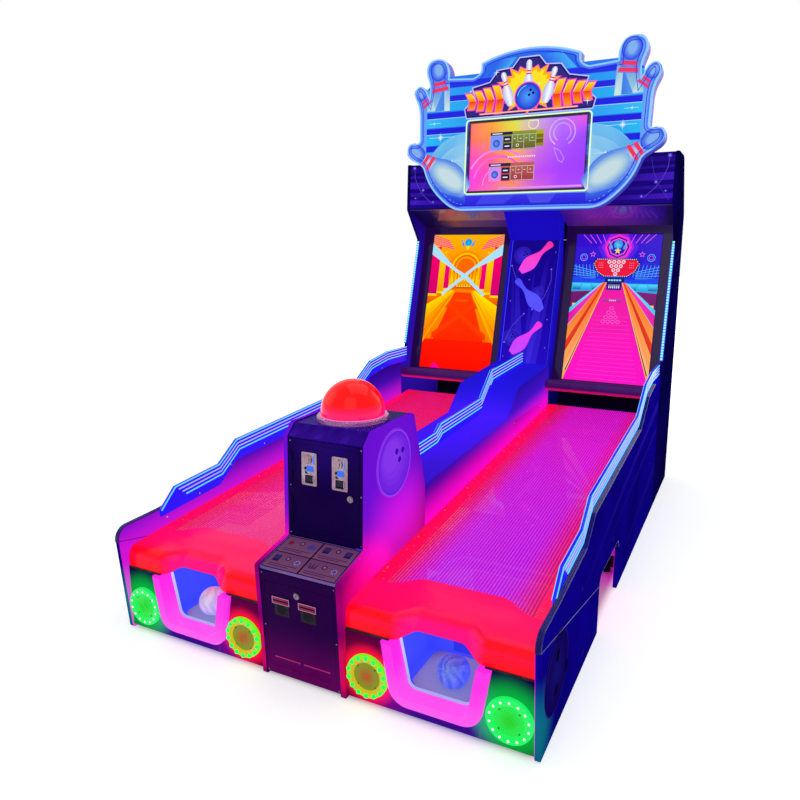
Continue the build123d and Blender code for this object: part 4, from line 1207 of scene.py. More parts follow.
@dataclass
class LightGuides:
    """Clear guides along the side boards and the divider, each with its engraved glowing lines."""

    line_radius: float = 0.0034
    drops: tuple[float, ...] = (0.004, 0.0205, 0.037, 0.0535)
    guide_thickness: float = 0.010

    def build(self) -> None:
        """Build and dress the guides."""
        body = LitPlastic("guide_acrylic", "1c10ff", "2a1cff", 0.85, 20.0, roughness=0.1)
        dress("side_lights", body)
        dress("divider_light", body)
        for side in Side:
            self.build_lines(f"side_lines_{side.word}", RAIL_LINE,
                             (side * WALL_X, side * (WALL_X - self.guide_thickness)), SEAM + 0.06)
        self.build_lines("divider_lines", DIVIDER_RAIL, (-self.guide_thickness / 2, self.guide_thickness / 2),
                         SEAM + 0.06)
        self.build_screws()

    def build_lines(self, name: str, rail: list[Point2], faces: tuple[float, float], end: float) -> None:
        """Engrave the glowing lines on both faces of a guide.

        Args:
            name: the piece's name.
            rail: the guide's top edge as (y, z) points behind the noses.
            faces: x of the guide's two faces.
            end: y where the lines stop.
        """
        bright = bmesh.new()
        soft = bmesh.new()
        for i, drop in enumerate(self.drops):
            line = lowered(rail, drop)
            if i > 0:
                line = line if rail is DIVIDER_RAIL else line[1:]
                line[0] = (line[0][0] + 0.012 * i, line[0][1] + 0.001)
            line = [p for p in line if p[0] <= end] + [(end, line[-1][1])]
            mesh = bright if i in (0, 3) else soft
            for x in faces:
                add_tube(mesh, [Vector((x, fy(y), z)) for y, z in line if y <= end], self.line_radius, 6)
        finish_piece(bright, name + "_edge", LitPlastic(name + "_cyan", "46b4ff", "64d2ff", 1.15, 60.0),
                     60)
        finish_piece(soft, name + "_inner", LitPlastic(name + "_lilac", "8c96ff", "a8b4ff", 1.05, 60.0),
                     60)

    def build_screws(self) -> None:
        """Screw the side guides to their boards from the inside."""
        places = ((0.235, 0.395), (0.42, 0.437), (0.62, 0.51), (0.86, 0.548), (1.10, 0.565), (1.34, 0.582),
                  (1.58, 0.60), (1.80, 0.69), (2.02, 0.745))
        fit_screws("guide_screws", (facing((side * (WALL_X - 0.0101), fy(y), z), (-side, 0, 0))
                                    for side in Side for y, z in places), 0.005, "b8a0d8", 0.3)


@dataclass
class Lanes:
    """The two sloping lanes with their bearers and the ball returns under them."""

    def build(self) -> None:
        """Dress the lanes and build their screws."""
        dress("lane_left", LaneSheet("lane_left_sheet", "ff0a7c", "ff0868", "ff0440"))
        dress("lane_right", LaneSheet("lane_right_sheet", "d41cdc", "f00cc8", "ff0440"))
        bearer = Laminate("bare_plywood", "8a6a48", "a07c52", 0.6)
        dress("lane_bearers", bearer)
        dress("ball_returns", Moulding("return_channel_plastic", "1a2452", "22306a", 0.45, washes=(
            Wash("2c3cff", 0.7, centre=(LANE_MID, fy(0.42), 0.15), radius=0.10, soft=0.35),)))
        self.build_screws()

    def build_screws(self) -> None:
        """Screw the clear sheet down along both edges of each lane."""
        spots = []
        for side in Side:
            for edge in (CORE_X + 0.014, WALL_X - 0.026):
                for y in (0.30 + i * 0.245 for i in range(9)):
                    z = 0.358 + (y - 0.216) * math.tan(LANE_SLOPE)
                    spots.append(facing((side * edge, fy(y), z), LANE_NORMAL, (0, 1, 0)))
        fit_screws("lane_screws", spots, 0.0045, "e05a90", 0.3)


@dataclass
class Divider:
    """Stepped box between the lanes with a service hatch in each side."""

    hatch: tuple[Point2, Point2] = ((1.70, 0.493), (2.20, 0.580))

    def build(self) -> None:
        """Dress the divider and build its hatches."""
        top = Wash("2a20ff", 0.28, direction=(0, 0, -1), start=-0.62, soft=0.10)
        beyond = CORE_X - 0.003
        pink = Wash("ff0090", 0.92, direction=LANE_NORMAL, start=LANE_LEVEL, soft=0.17, beyond=beyond)
        violet = Wash("6a10e0", 0.34, direction=LANE_NORMAL, start=LANE_LEVEL + 0.11, soft=0.22, beyond=beyond)
        dress("divider_shell", Laminate("blue_divider_laminate", "2414d0", "1c10a8", 0.3,
                                        (*lane_washes(within=beyond, reach=0.24)[1:], top, pink, violet),
                                        (beyond, "1a0560")))
        mesh, spots = bmesh.new(), []
        for side in Side:
            place = facing((side * (CORE_X + 0.0002), fy(0.0), 0.0), (side, 0, 0))
            (y0, z0), (y1, z1) = self.hatch
            low, high = sorted((side * y0, side * y1))
            add_rounded_box(mesh, (low, z0, -0.001), (high, z1, 0.0016), place, 0.0012)
            spots += [shifted(place, side * y, z, 0.0016) for y in (y0 + 0.015, y1 - 0.015)
                      for z in (z0 + 0.012, z1 - 0.012)]
        finish_piece(mesh, "divider_hatches", Laminate("hatch_laminate", "1a0560", "160450", 0.3, (pink, violet)))
        fit_screws("divider_screws", spots, 0.0042, "a090ff", 0.3)


@dataclass
class Skirts:
    """Moulded red aprons, their gaskets, the fascias, the lit U frames and the ball trays."""

    opening_low: float = 0.084
    opening_top: float = 0.257
    half_top: float = 0.145
    half_low: float = 0.116
    corner: float = 0.034
    lace_radius: float = 0.0032
    ball_radius: float = 0.055
    holes: tuple[Point3, ...] = ((0.25, 0.8, 0.55), (-0.12, 0.86, 0.5), (0.08, 0.95, 0.2))
    hole_radius: float = 0.0085
    hole_depth: float = 0.010
    hole_edge: float = 0.0022

    def build(self) -> None:
        """Build and dress everything below the lanes' front edges."""
        skin = ApronGloss("apron_red_gloss")
        for side in Side:
            Apron(side).build(skin)
        dress("apron_gaskets", Rubber("lip_gasket_rubber", "0c0a14", 120.0))
        self.dress_fascias()
        trim = LitPlastic("pink_trim_plastic", "ff5cf0", "ff28e8", 0.84, 12.0, (0, 0, 1), 0.02, 0.22)
        dress("opening_trims", trim)
        blue = Wash("3c48ff", 0.95, centre=(LANE_MID, fy(0.20), 0.24), radius=0.16, soft=0.30)
        dress("ball_trays", Moulding("tray_blue_plastic", "1c2a90", "141e6c", 0.4, 0.1, (blue,)))
        for side in Side:
            self.build_tray_details(side)
            self.build_ball(side)

    def dress_fascias(self) -> None:
        """Give the fascias their dark laminate with the light of the lamps on it."""
        washes = (Wash("00ff30", 0.42, centre=(OUTER_LAMP_X, fy(0.04), LAMP_HEIGHT), radius=0.072, soft=0.085),
                  Wash("ff1410", 0.85, centre=(INNER_LAMP_X, fy(0.04), LAMP_HEIGHT), radius=0.074, soft=0.05),
                  Wash("b00040", 0.35, centre=(INNER_LAMP_X, fy(0.04), LAMP_HEIGHT), radius=0.09, soft=0.12),
                  Wash("5a18c8", 0.35, centre=(LANE_MID, fy(0.04), 0.06), radius=0.12, soft=0.14))
        dress("fascias", Laminate("fascia_laminate", "140650", "0e0438", 0.4, washes))

    def opening_path(self, side: Side, y: float, shrink: float) -> list[Vector]:
        """Points down one side of the ball opening, round its foot and up the other side."""
        low, top = self.opening_low + shrink, self.opening_top
        half_low, half_top = self.half_low - shrink, self.half_top - shrink
        corner = self.corner - shrink
        path = [(-half_top, top)]
        for centre_x, start in ((-half_low + corner, 180.0), (half_low - corner, 270.0)):
            for i in range(9):
                a = math.radians(start + 90.0 * i / 8)
                path.append((centre_x + corner * math.cos(a), low + corner + corner * math.sin(a)))
        path.append((half_top, top))
        return [Vector((side * LANE_MID + u, fy(y), z)) for u, z in path]

    def build_tray_details(self, side: Side) -> None:
        """Build the light lace round the opening, the mat on the tray's floor and the ball sensor."""
        lace = bmesh.new()
        for y in (0.0790, 0.0835):
            add_tube(lace, self.opening_path(side, y, 0.0022), self.lace_radius, 8)
        glow = LitPlastic(f"lace_plastic_{side.word}", "1c28d0", "f0f4ff", 0.9, 300.0, (0, 0, 1), -0.45, 0.75)
        finish_piece(lace, f"opening_lace_{side.word}", glow, 60)
        mat = Picture(f"tray_mat_{side.word}", facing((side * LANE_MID, fy(0.0), 0.0761), (0, 0, 1), (0, 1, 0)))
        outline = [(-0.10, 0.10), (0.10, 0.10), (0.126, 0.13), (0.126, 0.30), (0.10, 0.325), (-0.10, 0.325),
                   (-0.126, 0.30), (-0.126, 0.13)]
        mat.shape(outline, "58507c")
        mat.done(Rubber(f"mat_rubber_{side.word}", "7c78a0", 260.0, (
            Wash("8890c8", 0.5, centre=(LANE_MID, fy(0.2), 0.07), radius=0.10, soft=0.1),)), "tray_plastic")
        sensor = bmesh.new()
        place = facing((side * LANE_MID - 0.060, fy(0.3285), 0.215), (0, -1, 0))
        add_rounded_box(sensor, (-0.012, -0.008, 0.0), (0.012, 0.008, 0.014), place, 0.002)
        add_rounded_box(sensor, (0.0, -0.022, 0.002), (0.006, 0.012, 0.006), place, 0.001)
        add_rounded_box(sensor, (-0.006, -0.03, 0.004), (0.016, -0.02, 0.008), place, 0.001)
        add_screw(sensor, shifted(place, -0.006, 0.0, 0.014), 0.003)
        lit = Wash("8090ff", 0.4, direction=(0, 0, 1), start=10.0)
        plastic = Moulding(f"sensor_plastic_{side.word}", "d8dcff", "b0b8f0", 0.3, 0.2, (lit,))
        finish_piece(sensor, f"ball_sensor_{side.word}", plastic)

    def build_ball(self, side: Side) -> None:
        """Turn the smooth ball that waits in a tray."""
        name = f"ball_{side.word}"
        mesh = bmesh.new()
        bmesh.ops.create_icosphere(mesh, subdivisions=5, radius=self.ball_radius)
        bmesh.ops.rotate(mesh, verts=mesh.verts, cent=(0, 0, 0), matrix=Matrix.Rotation(0.6, 3, "X"))
        for direction in self.holes:
            hole = Vector(direction).normalized()
            for vertex in mesh.verts:
                gap = (vertex.co.normalized() - hole).length * self.ball_radius
                if gap < self.hole_radius:
                    vertex.co -= hole * self.hole_depth * min(1.0, (self.hole_radius - gap) / self.hole_edge)
        low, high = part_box(name)
        bmesh.ops.translate(mesh, verts=mesh.verts, vec=(low + high) / 2)
        slot, colour, rim = ("ball_white", "c8ccec", "eceeff")
        if side is Side.RIGHT:
            slot, colour, rim = ("ball_blue", "4470e8", "7098ff")
        finish = BallResin(f"ball_resin_{side.word}", colour, rim)
        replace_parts(finish_piece(mesh, f"resin_{name}", finish, 50, body=name), name)


@dataclass(frozen=True)
class Apron:
    """Closed moulded skirt in front of a lane.

    It is rounded over its front, scooped over the ball opening and lapped on the lane.

    Attributes:
        side: -1 for the left lane, 1 for the right one.
        front: how far the lip is behind the noses of the side boards.
        seat: how far the lane's front edge is behind the noses.
        lip: height of the lower edge.
        shoulder: height of the top over the lip.
        seat_height: height of the top at the lane's front edge.
        sheet: thickness of the moulding.
        bend: reach of the rounding to each side of the fold.
        lap: how far the middle lies on the lane.
        lift: how high the middle stands on the lane.
        scoop: how far the scoop goes back at the lip and at the fold.
        rise: how high the scoop cuts into the lip.
        columns: number of steps across the width.
    """

    side: Side
    front: float = 0.044
    seat: float = 0.216
    lip: float = 0.264
    shoulder: float = 0.340
    seat_height: float = 0.358
    sheet: float = 0.004
    bend: float = 0.042
    lap: float = 0.056
    lift: float = 0.0055
    scoop: Point2 = (0.030, 0.060)
    rise: float = 0.034
    columns: int = 110

    def height(self, y: float, share: float) -> float:
        """Height of the top at a distance behind the noses; share is how much of the lap there is."""
        if y <= self.seat:
            level = self.shoulder + (y - self.front) * (self.seat_height - self.shoulder) / (self.seat - self.front)
        else:
            level = self.seat_height + (y - self.seat) * LANE_SLOPE
        return level + self.lift * share * ease(y, self.seat - 0.07, self.seat)

    def profile(self, x: float) -> list[Vector]:
        """Section across the fold, from the lower edge over the rounding to the rear edge, as (y, z)."""
        away = abs(x - LANE_MID)
        share = ease(away, 0.255, 0.140)
        foot = Vector((self.front + self.scoop[0] * ease(away, 0.152, 0.074),
                       self.lip + self.rise * ease(away, 0.156, 0.070)))
        fold_y = self.front + self.scoop[1] * ease(away, 0.170, 0.078)
        fold = Vector((fold_y, self.height(fold_y, share)))
        reach = min(self.bend, 0.86 * (fold - foot).length)
        start = fold + (foot - fold).normalized() * reach
        end = Vector((fold_y + self.bend, self.height(fold_y + self.bend, share)))
        section = [foot]
        for i in range(11):
            t = i / 10
            section.append(start * (1 - t) ** 2 + fold * 2 * t * (1 - t) + end * t ** 2)
        rear = self.seat + self.lap * share
        for i in range(1, 11):
            y = end.x + (rear - end.x) * i / 10
            section.append(Vector((y, self.height(y, share))))
        return section

    def build(self, skin: Finish) -> None:
        """Build the moulding with both its faces, its rims and its two end walls."""
        name = f"apron_{self.side.word}"
        edges = [abs((frame["nodes"][name].matrix_world @ v.co).x) for v in frame["nodes"][name].data.vertices]
        x0, x1 = min(edges), max(edges)
        mesh = bmesh.new()
        outer, inner = [], []
        for i in range(self.columns + 1):
            x = x0 + (x1 - x0) * i / self.columns
            section = self.profile(x)
            outer.append([mesh.verts.new((self.side * x, fy(p.x), p.y)) for p in section])
            below = self.sunk(section)
            inner.append([mesh.verts.new((self.side * x, fy(p.x), p.y)) for p in below])
            if i in (0, self.columns):
                step = self.sheet if i == 0 else -self.sheet
                wall = [Vector((self.side * x, fy(p.x), p.y)) for p in [*below, Vector((below[-1].x, self.lip))]]
                add_sheet(mesh, wall, Vector((self.side * step, 0, 0)))
        for i in range(self.columns):
            for k in range(len(outer[0]) - 1):
                mesh.faces.new((outer[i][k], outer[i + 1][k], outer[i + 1][k + 1], outer[i][k + 1]))
                mesh.faces.new((inner[i][k], inner[i][k + 1], inner[i + 1][k + 1], inner[i + 1][k]))
            for k in (0, -1):
                mesh.faces.new((outer[i][k], inner[i][k], inner[i + 1][k], outer[i + 1][k]))
        for i in (0, -1):
            for k in range(len(outer[0]) - 1):
                mesh.faces.new((outer[i][k], outer[i][k + 1], inner[i][k + 1], inner[i][k]))
        bmesh.ops.recalc_face_normals(mesh, faces=mesh.faces)
        piece = finish_piece(mesh, f"{name}_moulding", skin, 40)
        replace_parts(piece, name)

    def sunk(self, section: list[Vector]) -> list[Vector]:
        """The section's inner face, one sheet below its outer face."""
        below = []
        for i, spot in enumerate(section):
            run = (section[min(i + 1, len(section) - 1)] - section[max(i - 1, 0)]).normalized()
            below.append(spot + Vector((run.y, -run.x)) * self.sheet)
        return below


@dataclass(frozen=True)
class ApronGloss(Finish):
    """Glossy red moulding, lit through, with painted light: pink highlights on its flats and in its scoop, pure red
    along its fold and its front.
    """

    def paint(self, s: Shader) -> None:
        """Build the finish."""
        # painted light: the colour ramp by height stands for how the light falls on the front, the fold and the flats
        rise = s.maths("ADD", s.z, s.speck(0.02, 4.0, 2.0))
        colour = s.ramp(s.smooth(rise, 0.264, 0.364),
                        [(0.0, "ff0418"), (0.28, "ff0630"), (0.50, "ff063c"), (0.70, "ff0618"),
                         (0.80, "ff0620"), (0.92, "ff0a58"), (1.0, "ff0a64")])
        # painted highlight: pink in the scoop over the ball opening
        side = s.maths("ABSOLUTE", s.maths("SUBTRACT", s.width, LANE_MID))
        scoop = s.times(s.smooth(side, 0.175, 0.11), s.smooth(s.z, 0.346, 0.322))
        colour = s.blend(s.times(scoop, 0.95), colour, "ff0680")
        s.shine(colour, 0.96, 0.92, Roughness=0.24, Specular_IOR_Level=0.08, Coat_Weight=0.02, Coat_Roughness=0.08)
        s.bump(s.noise(180.0, 3.0), 0.06, 0.0006)


@dataclass(frozen=True)
class LampLens(Finish):
    """Frosted lens whose colour runs outwards from its middle."""

    hub: Point3
    inner: Tint
    outer: Tint
    start: float
    end: float
    glow: float

    def paint(self, s: Shader) -> None:
        """Build the finish."""
        share = s.near(self.hub, self.start, self.end - self.start)
        prism = s.node("ShaderNodeTexVoronoi", {"Vector": s.place, "Scale": 520.0}).outputs["Distance"]
        colour = s.blend(share, self.outer, self.inner)
        colour = s.blend(s.times(prism, 0.35), colour, BLACK)
        s.shine(colour, self.glow, 0.8, Roughness=0.2, Coat_Weight=0.15, Coat_Roughness=0.05)
        s.bump(prism, 0.2, 0.0008)


@dataclass(frozen=True)
class LampStyle:
    """What tells the outer lamps from the inner ones.

    Attributes:
        node: the CAD node that the lamps stand for.
        x: distance of the lamps' centres from the middle.
        slot: their material slot; not used.
        rim: colours of the rim.
        lens: colours of the lens.
        dots: colours of the small lights.
        dot_glow: how strongly the small lights shine.
        dot_reach: place of the small lights as a share of the radius.
        dot_size: radius of a small light.
    """

    node: str
    x: float
    slot: str
    rim: tuple[str, str]
    lens: tuple[str, str]
    dots: tuple[str, str]
    dot_glow: float
    dot_reach: float
    dot_size: float


@dataclass
class FasciaLamps:
    """Round lamps on the fascias: a ring of small lights round a domed lens."""

    radius: float = 0.0765
    depth: float = 0.014
    lights: int = 14
    steps: int = 64
    rings: int = 7
    styles: tuple[LampStyle, ...] = (LampStyle("outer_lamps", OUTER_LAMP_X, "lamp_green", ("00ff5a", "18ff6c"),
                                               ("08e818", "10ff50"), ("d8fff0", "a0ffd0"), 1.6, 0.83, 0.0042),
                                     LampStyle("inner_lamps", INNER_LAMP_X, "lamp_amber", ("d8c000", "80ff10"),
                                               ("c05c10", "8c9c10"), ("10ff50", "50ffa0"), 1.1, 0.88, 0.0088))

    def build(self) -> None:
        """Build all four lamps."""
        for style in self.styles:
            self.build_pair(style)

    def build_pair(self, style: LampStyle) -> None:
        """Build a lamp of a style on each side of the machine."""
        rim, lens, dots = (bmesh.new() for _ in range(3))
        spots = []
        r, d, size = self.radius, self.depth, style.dot_size
        for side in Side:
            place = facing((side * style.x, fy(0.040), LAMP_HEIGHT), (0, -1, 0))
            add_lathe(rim, [(r, 0.0), (r, d * 0.6), (r * 0.985, d * 0.85), (r * 0.95, d), (r * 0.80, d * 0.97),
                            (r * 0.70, d * 0.80), (r * 0.64, d * 0.60)], place, self.steps)
            ridged = [(r * 0.64, d * 0.60)]
            for i in range(self.rings):
                share = 0.62 - i * 0.085
                ridged += [(r * share, d * (0.62 + 0.03 * i)), (r * (share - 0.04), d * (0.55 + 0.03 * i))]
            add_lathe(lens, [*ridged, (0.0, d * 0.80)], place, self.steps)
            for i in range(self.lights):
                a = math.tau * (i + 0.5) / self.lights
                reach = r * style.dot_reach
                add_lathe(dots, [(size, 0.0), (size * 0.92, size * 0.4), (size * 0.6, size * 0.8), (0.0, size)],
                          shifted(place, reach * math.cos(a), reach * math.sin(a), d * 0.90), 14)
            spots += [shifted(place, r * 0.60 * math.cos(a), r * 0.60 * math.sin(a), d * 0.66)
                      for a in (math.radians(45 + 90 * i) for i in range(4))]
        node, hub = style.node, (style.x, fy(0.035), LAMP_HEIGHT)
        ring = LampLens(f"{node}_rim_plastic", hub, *style.rim, 0.060, 0.076, 1.0)
        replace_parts(finish_piece(rim, f"{node}_rim", ring, 40), node)
        glass = LampLens(f"{node}_lens_plastic", hub, *style.lens, 0.005, 0.045, 0.85)
        finish_piece(lens, f"{node}_lens", glass, 25)
        small = LitPlastic(f"{node}_dot_plastic", *style.dots, style.dot_glow, 90.0)
        finish_piece(dots, f"{node}_dots", small, 60)
        fit_screws(f"{node}_screws", spots, 0.0028, "30281c", 0.4)


class Icon(Enum):
    """Plain pictures that the cards use."""

    DISC = "disc"
    MARK = "mark"
    HEAP = "heap"
    SCREEN = "screen"
    BURST = "burst"
    PINS = "pins"


@dataclass
class CoinCabinet:
    """The cabinet between the lanes: printed sides, coin door, cards, ticket door and cash box."""

    coin_plane: Matrix = field(default_factory=lambda: leaning(0, 0.188, 0.468, 2.01))
    ticket_plane: Matrix = field(default_factory=lambda: leaning(0, 0.035, 0.0, -2.55))
    mech_x: float = 0.064
    mech_v: float = 0.261
    slot_v: float = 0.308
    slot_x: tuple[float, float] = (-0.072, 0.038)
    roundel: Point2 = (0.379, 0.732)
    roundel_radius: float = 0.124

    def build(self) -> None:
        """Build and dress the cabinet."""
        self.dress_nodes()
        for side in Side:
            self.build_roundel(side)
        self.build_coin_details()
        self.build_cards()
        self.build_ticket_details()
        self.build_cover_stripes()

    def dress_nodes(self) -> None:
        """Give every CAD node of the cabinet its finish."""
        outer = 0.157
        pink = Wash("ff1090", 0.6, centre=(0.17, fy(0.44), 0.36), radius=0.10, soft=0.30, beyond=outer)
        violet = Wash("8a18ff", 0.55, centre=(0.17, fy(0.36), 0.72), radius=0.15, soft=0.30, beyond=outer)
        front = Wash("ff0068", 0.75, centre=(0.17, fy(0.17), 0.34), radius=0.07, soft=0.16, beyond=outer)
        foot = Wash("ff1018", 0.6, centre=(0.17, fy(0.03), 0.112), radius=0.05, soft=0.09, beyond=outer)
        dress("coin_sides", Laminate("violet_side_laminate", "280484", "20036c", 0.34, (pink, violet, front, foot)))
        front = Wash("2c0ca0", 0.2, centre=(0.0, fy(0.19), 0.86), radius=0.05, soft=0.18)
        dark = PowderCoat("indigo_powder_coat", "1a004c", 0.42, 900.0, (front,))
        for node in ("coin_front_frame", "coin_door"):
            dress(node, dark)
        glow = Wash("a00878", 0.22, direction=(0, 0, 1), start=0.02, soft=0.22)
        lower = PowderCoat("plum_powder_coat", "30004c", 0.42, 900.0, (glow,))
        for node in ("ticket_frame", "ticket_door"):
            dress(node, lower)
        cover = Wash("4010c0", 0.2, centre=(0.0, fy(0.24), 0.86), radius=0.10, soft=0.20)
        dress("coin_top_cover", PowderCoat("violet_cover_coat", "22066c", 0.36, 900.0, (cover,)))
        dress("coin_bezels", BareMetal("cast_bezel_metal", "8c707c", 0.30))
        dress("coin_acceptors", Moulding("mechanism_black", "15131c", "1c1a26", 0.4))
        button = LitPlastic("reject_button_plastic", "2048ff", "3c78ff", 0.8)
        flap = Moulding("return_flap_smoke", "1c1430", "241a40", 0.2)
        for side in ("left", "right"):
            dress(f"reject_button_{side}", button)
            dress(f"return_flap_{side}", flap)
            dress(f"feed_roller_{side}", Rubber(f"roller_rubber_{side}", "2a2a30", 500.0))
        chrome = BareMetal("lock_chrome_metal", "6c5468", 0.22)
        dress("coin_door_lock", chrome)
        dress("ticket_door_lock", chrome)
        dress("ticket_bezels", Moulding("ticket_outlet_black", "10041a", "1a0624", 0.5, 0.0))
        dress("ticket_dispensers", Moulding("dispenser_grey", "34343c", "3c3c46", 0.45))
        dress("cash_box", PowderCoat("cash_box_coat", "30303a", 0.4))
        dress("cabinet_floor", Laminate("cabinet_floor_board", "57452f", "6b5538", 0.6))
        dress("instruction_panel", Moulding("card_panel_plastic", "8a60b8", "7450a8", 0.3, 0.3))

    def build_roundel(self, side: Side) -> None:
        """Print the bowling ball on the raised roundel of one side."""
        y, z = self.roundel
        place = facing((side * (CORE_X + 0.0032), fy(y), z), (side, 0, 0))
        r = self.roundel_radius - 0.002
        art = Picture(f"roundel_print_{side.word}", place)
        holes = [(side * (0.395 - y), 0.770 - z), (side * (0.415 - y), 0.735 - z), (side * (0.440 - y), 0.765 - z)]
        art.disc(0, 0, r - 0.001, "7020e8", "8034f4")
        for k, tint in enumerate(("7828ec", "802ef0", "8634f4", "8c3af8")):
            art.disc(side * -0.008 * k, 0.010 * k, r - 0.016 - 0.016 * k, tint, steps=40)
        art.ring(0, 0, r - 0.002, 0.0035, "a850ff")
        for x0, y0 in holes:
            art.disc(x0, y0, 0.0125, "4808b8", "3c049c", steps=24)
            art.ring(x0, y0, 0.0125, 0.0016, "a050ff", 200, 140)
        art.done(Artwork(f"roundel_ink_{side.word}", 0.8, 0.3), "column_print")
        rim = bmesh.new()
        add_lathe(rim, [(0.1258, 0.0), (0.1272, 0.0016), (0.1258, 0.0032), (0.1238, 0.0032)],
                  facing((side * CORE_X, fy(y), z), (side, 0, 0)), 72)
        plastic = LitPlastic(f"roundel_rim_plastic_{side.word}", "c838e8", "8c28f0", 0.7, 30.0)
        finish_piece(rim, f"roundel_rim_{side.word}", plastic, 40)

    def build_coin_details(self) -> None:
        """Build the screws, slot lights and wedge plates on the coin door, and a thin dark triangle of painted shade
        in a corner of each wedge.
        """
        screws, lights, plates, knobs, shades = (bmesh.new() for _ in range(5))
        for side in Side:
            x = side * self.mech_x
            for dx in (-0.026, 0.026):
                for dv in (-0.053, 0.053):
                    add_screw(screws, shifted(self.coin_plane, x + dx, self.mech_v + dv, 0.005), 0.0032)
            place = shifted(self.coin_plane, x + 0.019, self.mech_v + 0.034, 0.005)
            add_rounded_box(lights, (-0.002, -0.015, 0), (0.002, 0.015, 0.0022), place, 0.0008)
            place = shifted(self.coin_plane, x, self.mech_v - 0.0375, 0.005)
            for edge in (-0.0185, 0.0185):
                add_rounded_box(plates, (edge - 0.0012, -0.012, 0), (edge + 0.0012, 0.012, 0.0024), place, 0.0006)
            hood = shifted(self.coin_plane, x - 0.003, self.mech_v + 0.036, 0.0055)
            bow = [hood @ Vector((0.0125 * math.cos(a), 0.0135 * math.sin(a), 0.0)) for a in
                   (math.radians(-90 + 180 * k / 12) for k in range(13))]
            add_tube(plates, [hood @ Vector((-0.006, -0.0135, 0.0)), *bow, hood @ Vector((-0.006, 0.0135, 0.0))],
                     0.0016, 8)
            knob = shifted(self.coin_plane, x - 0.014, self.mech_v + 0.002, 0.005)
            add_lathe(knobs, [(0.0052, 0.0), (0.0052, 0.003), (0.0044, 0.0042), (0.0, 0.0046)], knob, 24)
            # a thin dark triangle in a lower corner of each wedge: painted shade
            wedge = shifted(self.coin_plane, x, self.mech_v)
            tip = [wedge @ Vector((u, v, 0.0053)) for u, v in ((-0.0165, -0.006), (-0.004, -0.018), (-0.0165, -0.018))]
            add_sheet(shades, tip, wedge.to_3x3() @ Vector((0, 0, 0.0008)))
        pieces = (
            (screws, BareMetal("bezel_screw_metal", "8c7898", 0.3), "coin_bezel_screws", "lock_chrome", 35.0),
            (lights, LitPlastic("slot_light_plastic", "2070ff", "3c98ff", 0.9), "coin_slot_lights", "light_guide", 50),
            (plates, BareMetal("flap_guide_metal", "b890c8", 0.3), "flap_guides", "bezel_metal", 50),
            (knobs, Moulding("bezel_knob_black", "120a18", "1c1024", 0.3), "bezel_knobs", "bezel_metal", 50),
            (shades, Moulding("bezel_arrow_black", "140a1c", "1c1028", 0.3), "bezel_arrows", "bezel_metal", 35.0),
        )
        for mesh, finish, name, slot, smooth in pieces:
            finish_piece(mesh, name, finish, smooth, "coin_door")
        rows = ((self.coin_plane, (0.012, 0.19, 0.354)), (self.ticket_plane, (0.02, 0.2, 0.4)))
        fit_screws("frame_screws", (shifted(plane, x, v) for x in (-0.148, 0.148) for plane, heights in rows
                                    for v in heights), 0.0032, "503c78", 0.35)

    def build_cards(self) -> None:
        """Print four cards of plain icons on the sloping panel; the print glows with painted light."""
        place = shifted(leaning(0, 0.016, 0.423, 75.55), 0, 0, PRINT_LIFT)
        art = Picture("instruction_cards", place)
        art.box(-0.151, 0.002, 0.151, 0.173, "2c0c48")
        icons = ((Icon.DISC, Icon.MARK, Icon.HEAP), (Icon.SCREEN, Icon.MARK, Icon.SCREEN),
                 (Icon.SCREEN, Icon.MARK, Icon.BURST), (Icon.PINS, Icon.MARK, Icon.BURST))
        for number, kinds in enumerate(icons):
            x0, x1 = ((-0.147, -0.003), (0.004, 0.148))[number % 2]
            v0, v1 = ((0.088, 0.169), (0.005, 0.083))[number // 2]
            art.box(x0, v0, x1, v1, "9c6090", "8c5088")
            for k, kind in enumerate(kinds):
                self.draw_icon(art, kind, x0 + 0.028 + k * 0.044, v1 - 0.030)
            for j in range(2):
                art.box(x0 + 0.012, v0 + 0.018 - j * 0.009, x1 - 0.014 - 0.03 * j, v0 + 0.0215 - j * 0.009,
                        "5c2c74")
        # the printed cards glow: painted light
        art.done(Artwork("card_ink", 0.35, 0.3), "instruction_print")

    def draw_icon(self, art: Picture, kind: Icon, x: float, y: float) -> None:
        """Paint one plain icon on a card.

        Args:
            art: the cards' picture.
            kind: which icon it is.
            x: its centre across.
            y: its centre up.
        """
        dark = "3a1c64"
        if kind is Icon.DISC:
            art.disc(x, y, 0.011, "9c2850", steps=20)
        elif kind is Icon.MARK:
            art.ring(x, y + 0.006, 0.0085, 0.003, dark, steps=20)
            art.disc(x, y + 0.006, 0.003, "d0a8d0", steps=10)
        elif kind is Icon.HEAP:
            for dx, dy in ((-0.010, -0.005), (0.010, -0.005), (0.0, 0.006), (0.0, -0.006)):
                art.disc(x + dx, y + dy, 0.008, "4a3cb0", "6c60d0", steps=16)
        elif kind is Icon.SCREEN:
            art.box(x - 0.013, y - 0.016, x + 0.013, y + 0.015, dark)
            art.box(x - 0.010, y - 0.006, x + 0.010, y + 0.012, "4c2c80", "3c3c98")
        elif kind is Icon.BURST:
            art.star(x, y - 0.004, 0.014, "c8b0e8", 8, 0.55)
            art.disc(x, y - 0.004, 0.0075, "4838c8", "7068e8", steps=16)
        else:
            for dx in (-0.009, 0.0, 0.009):
                art.pin(x + dx, y - 0.015, 0.028, -dx * 1500, "5a3c84", dark)

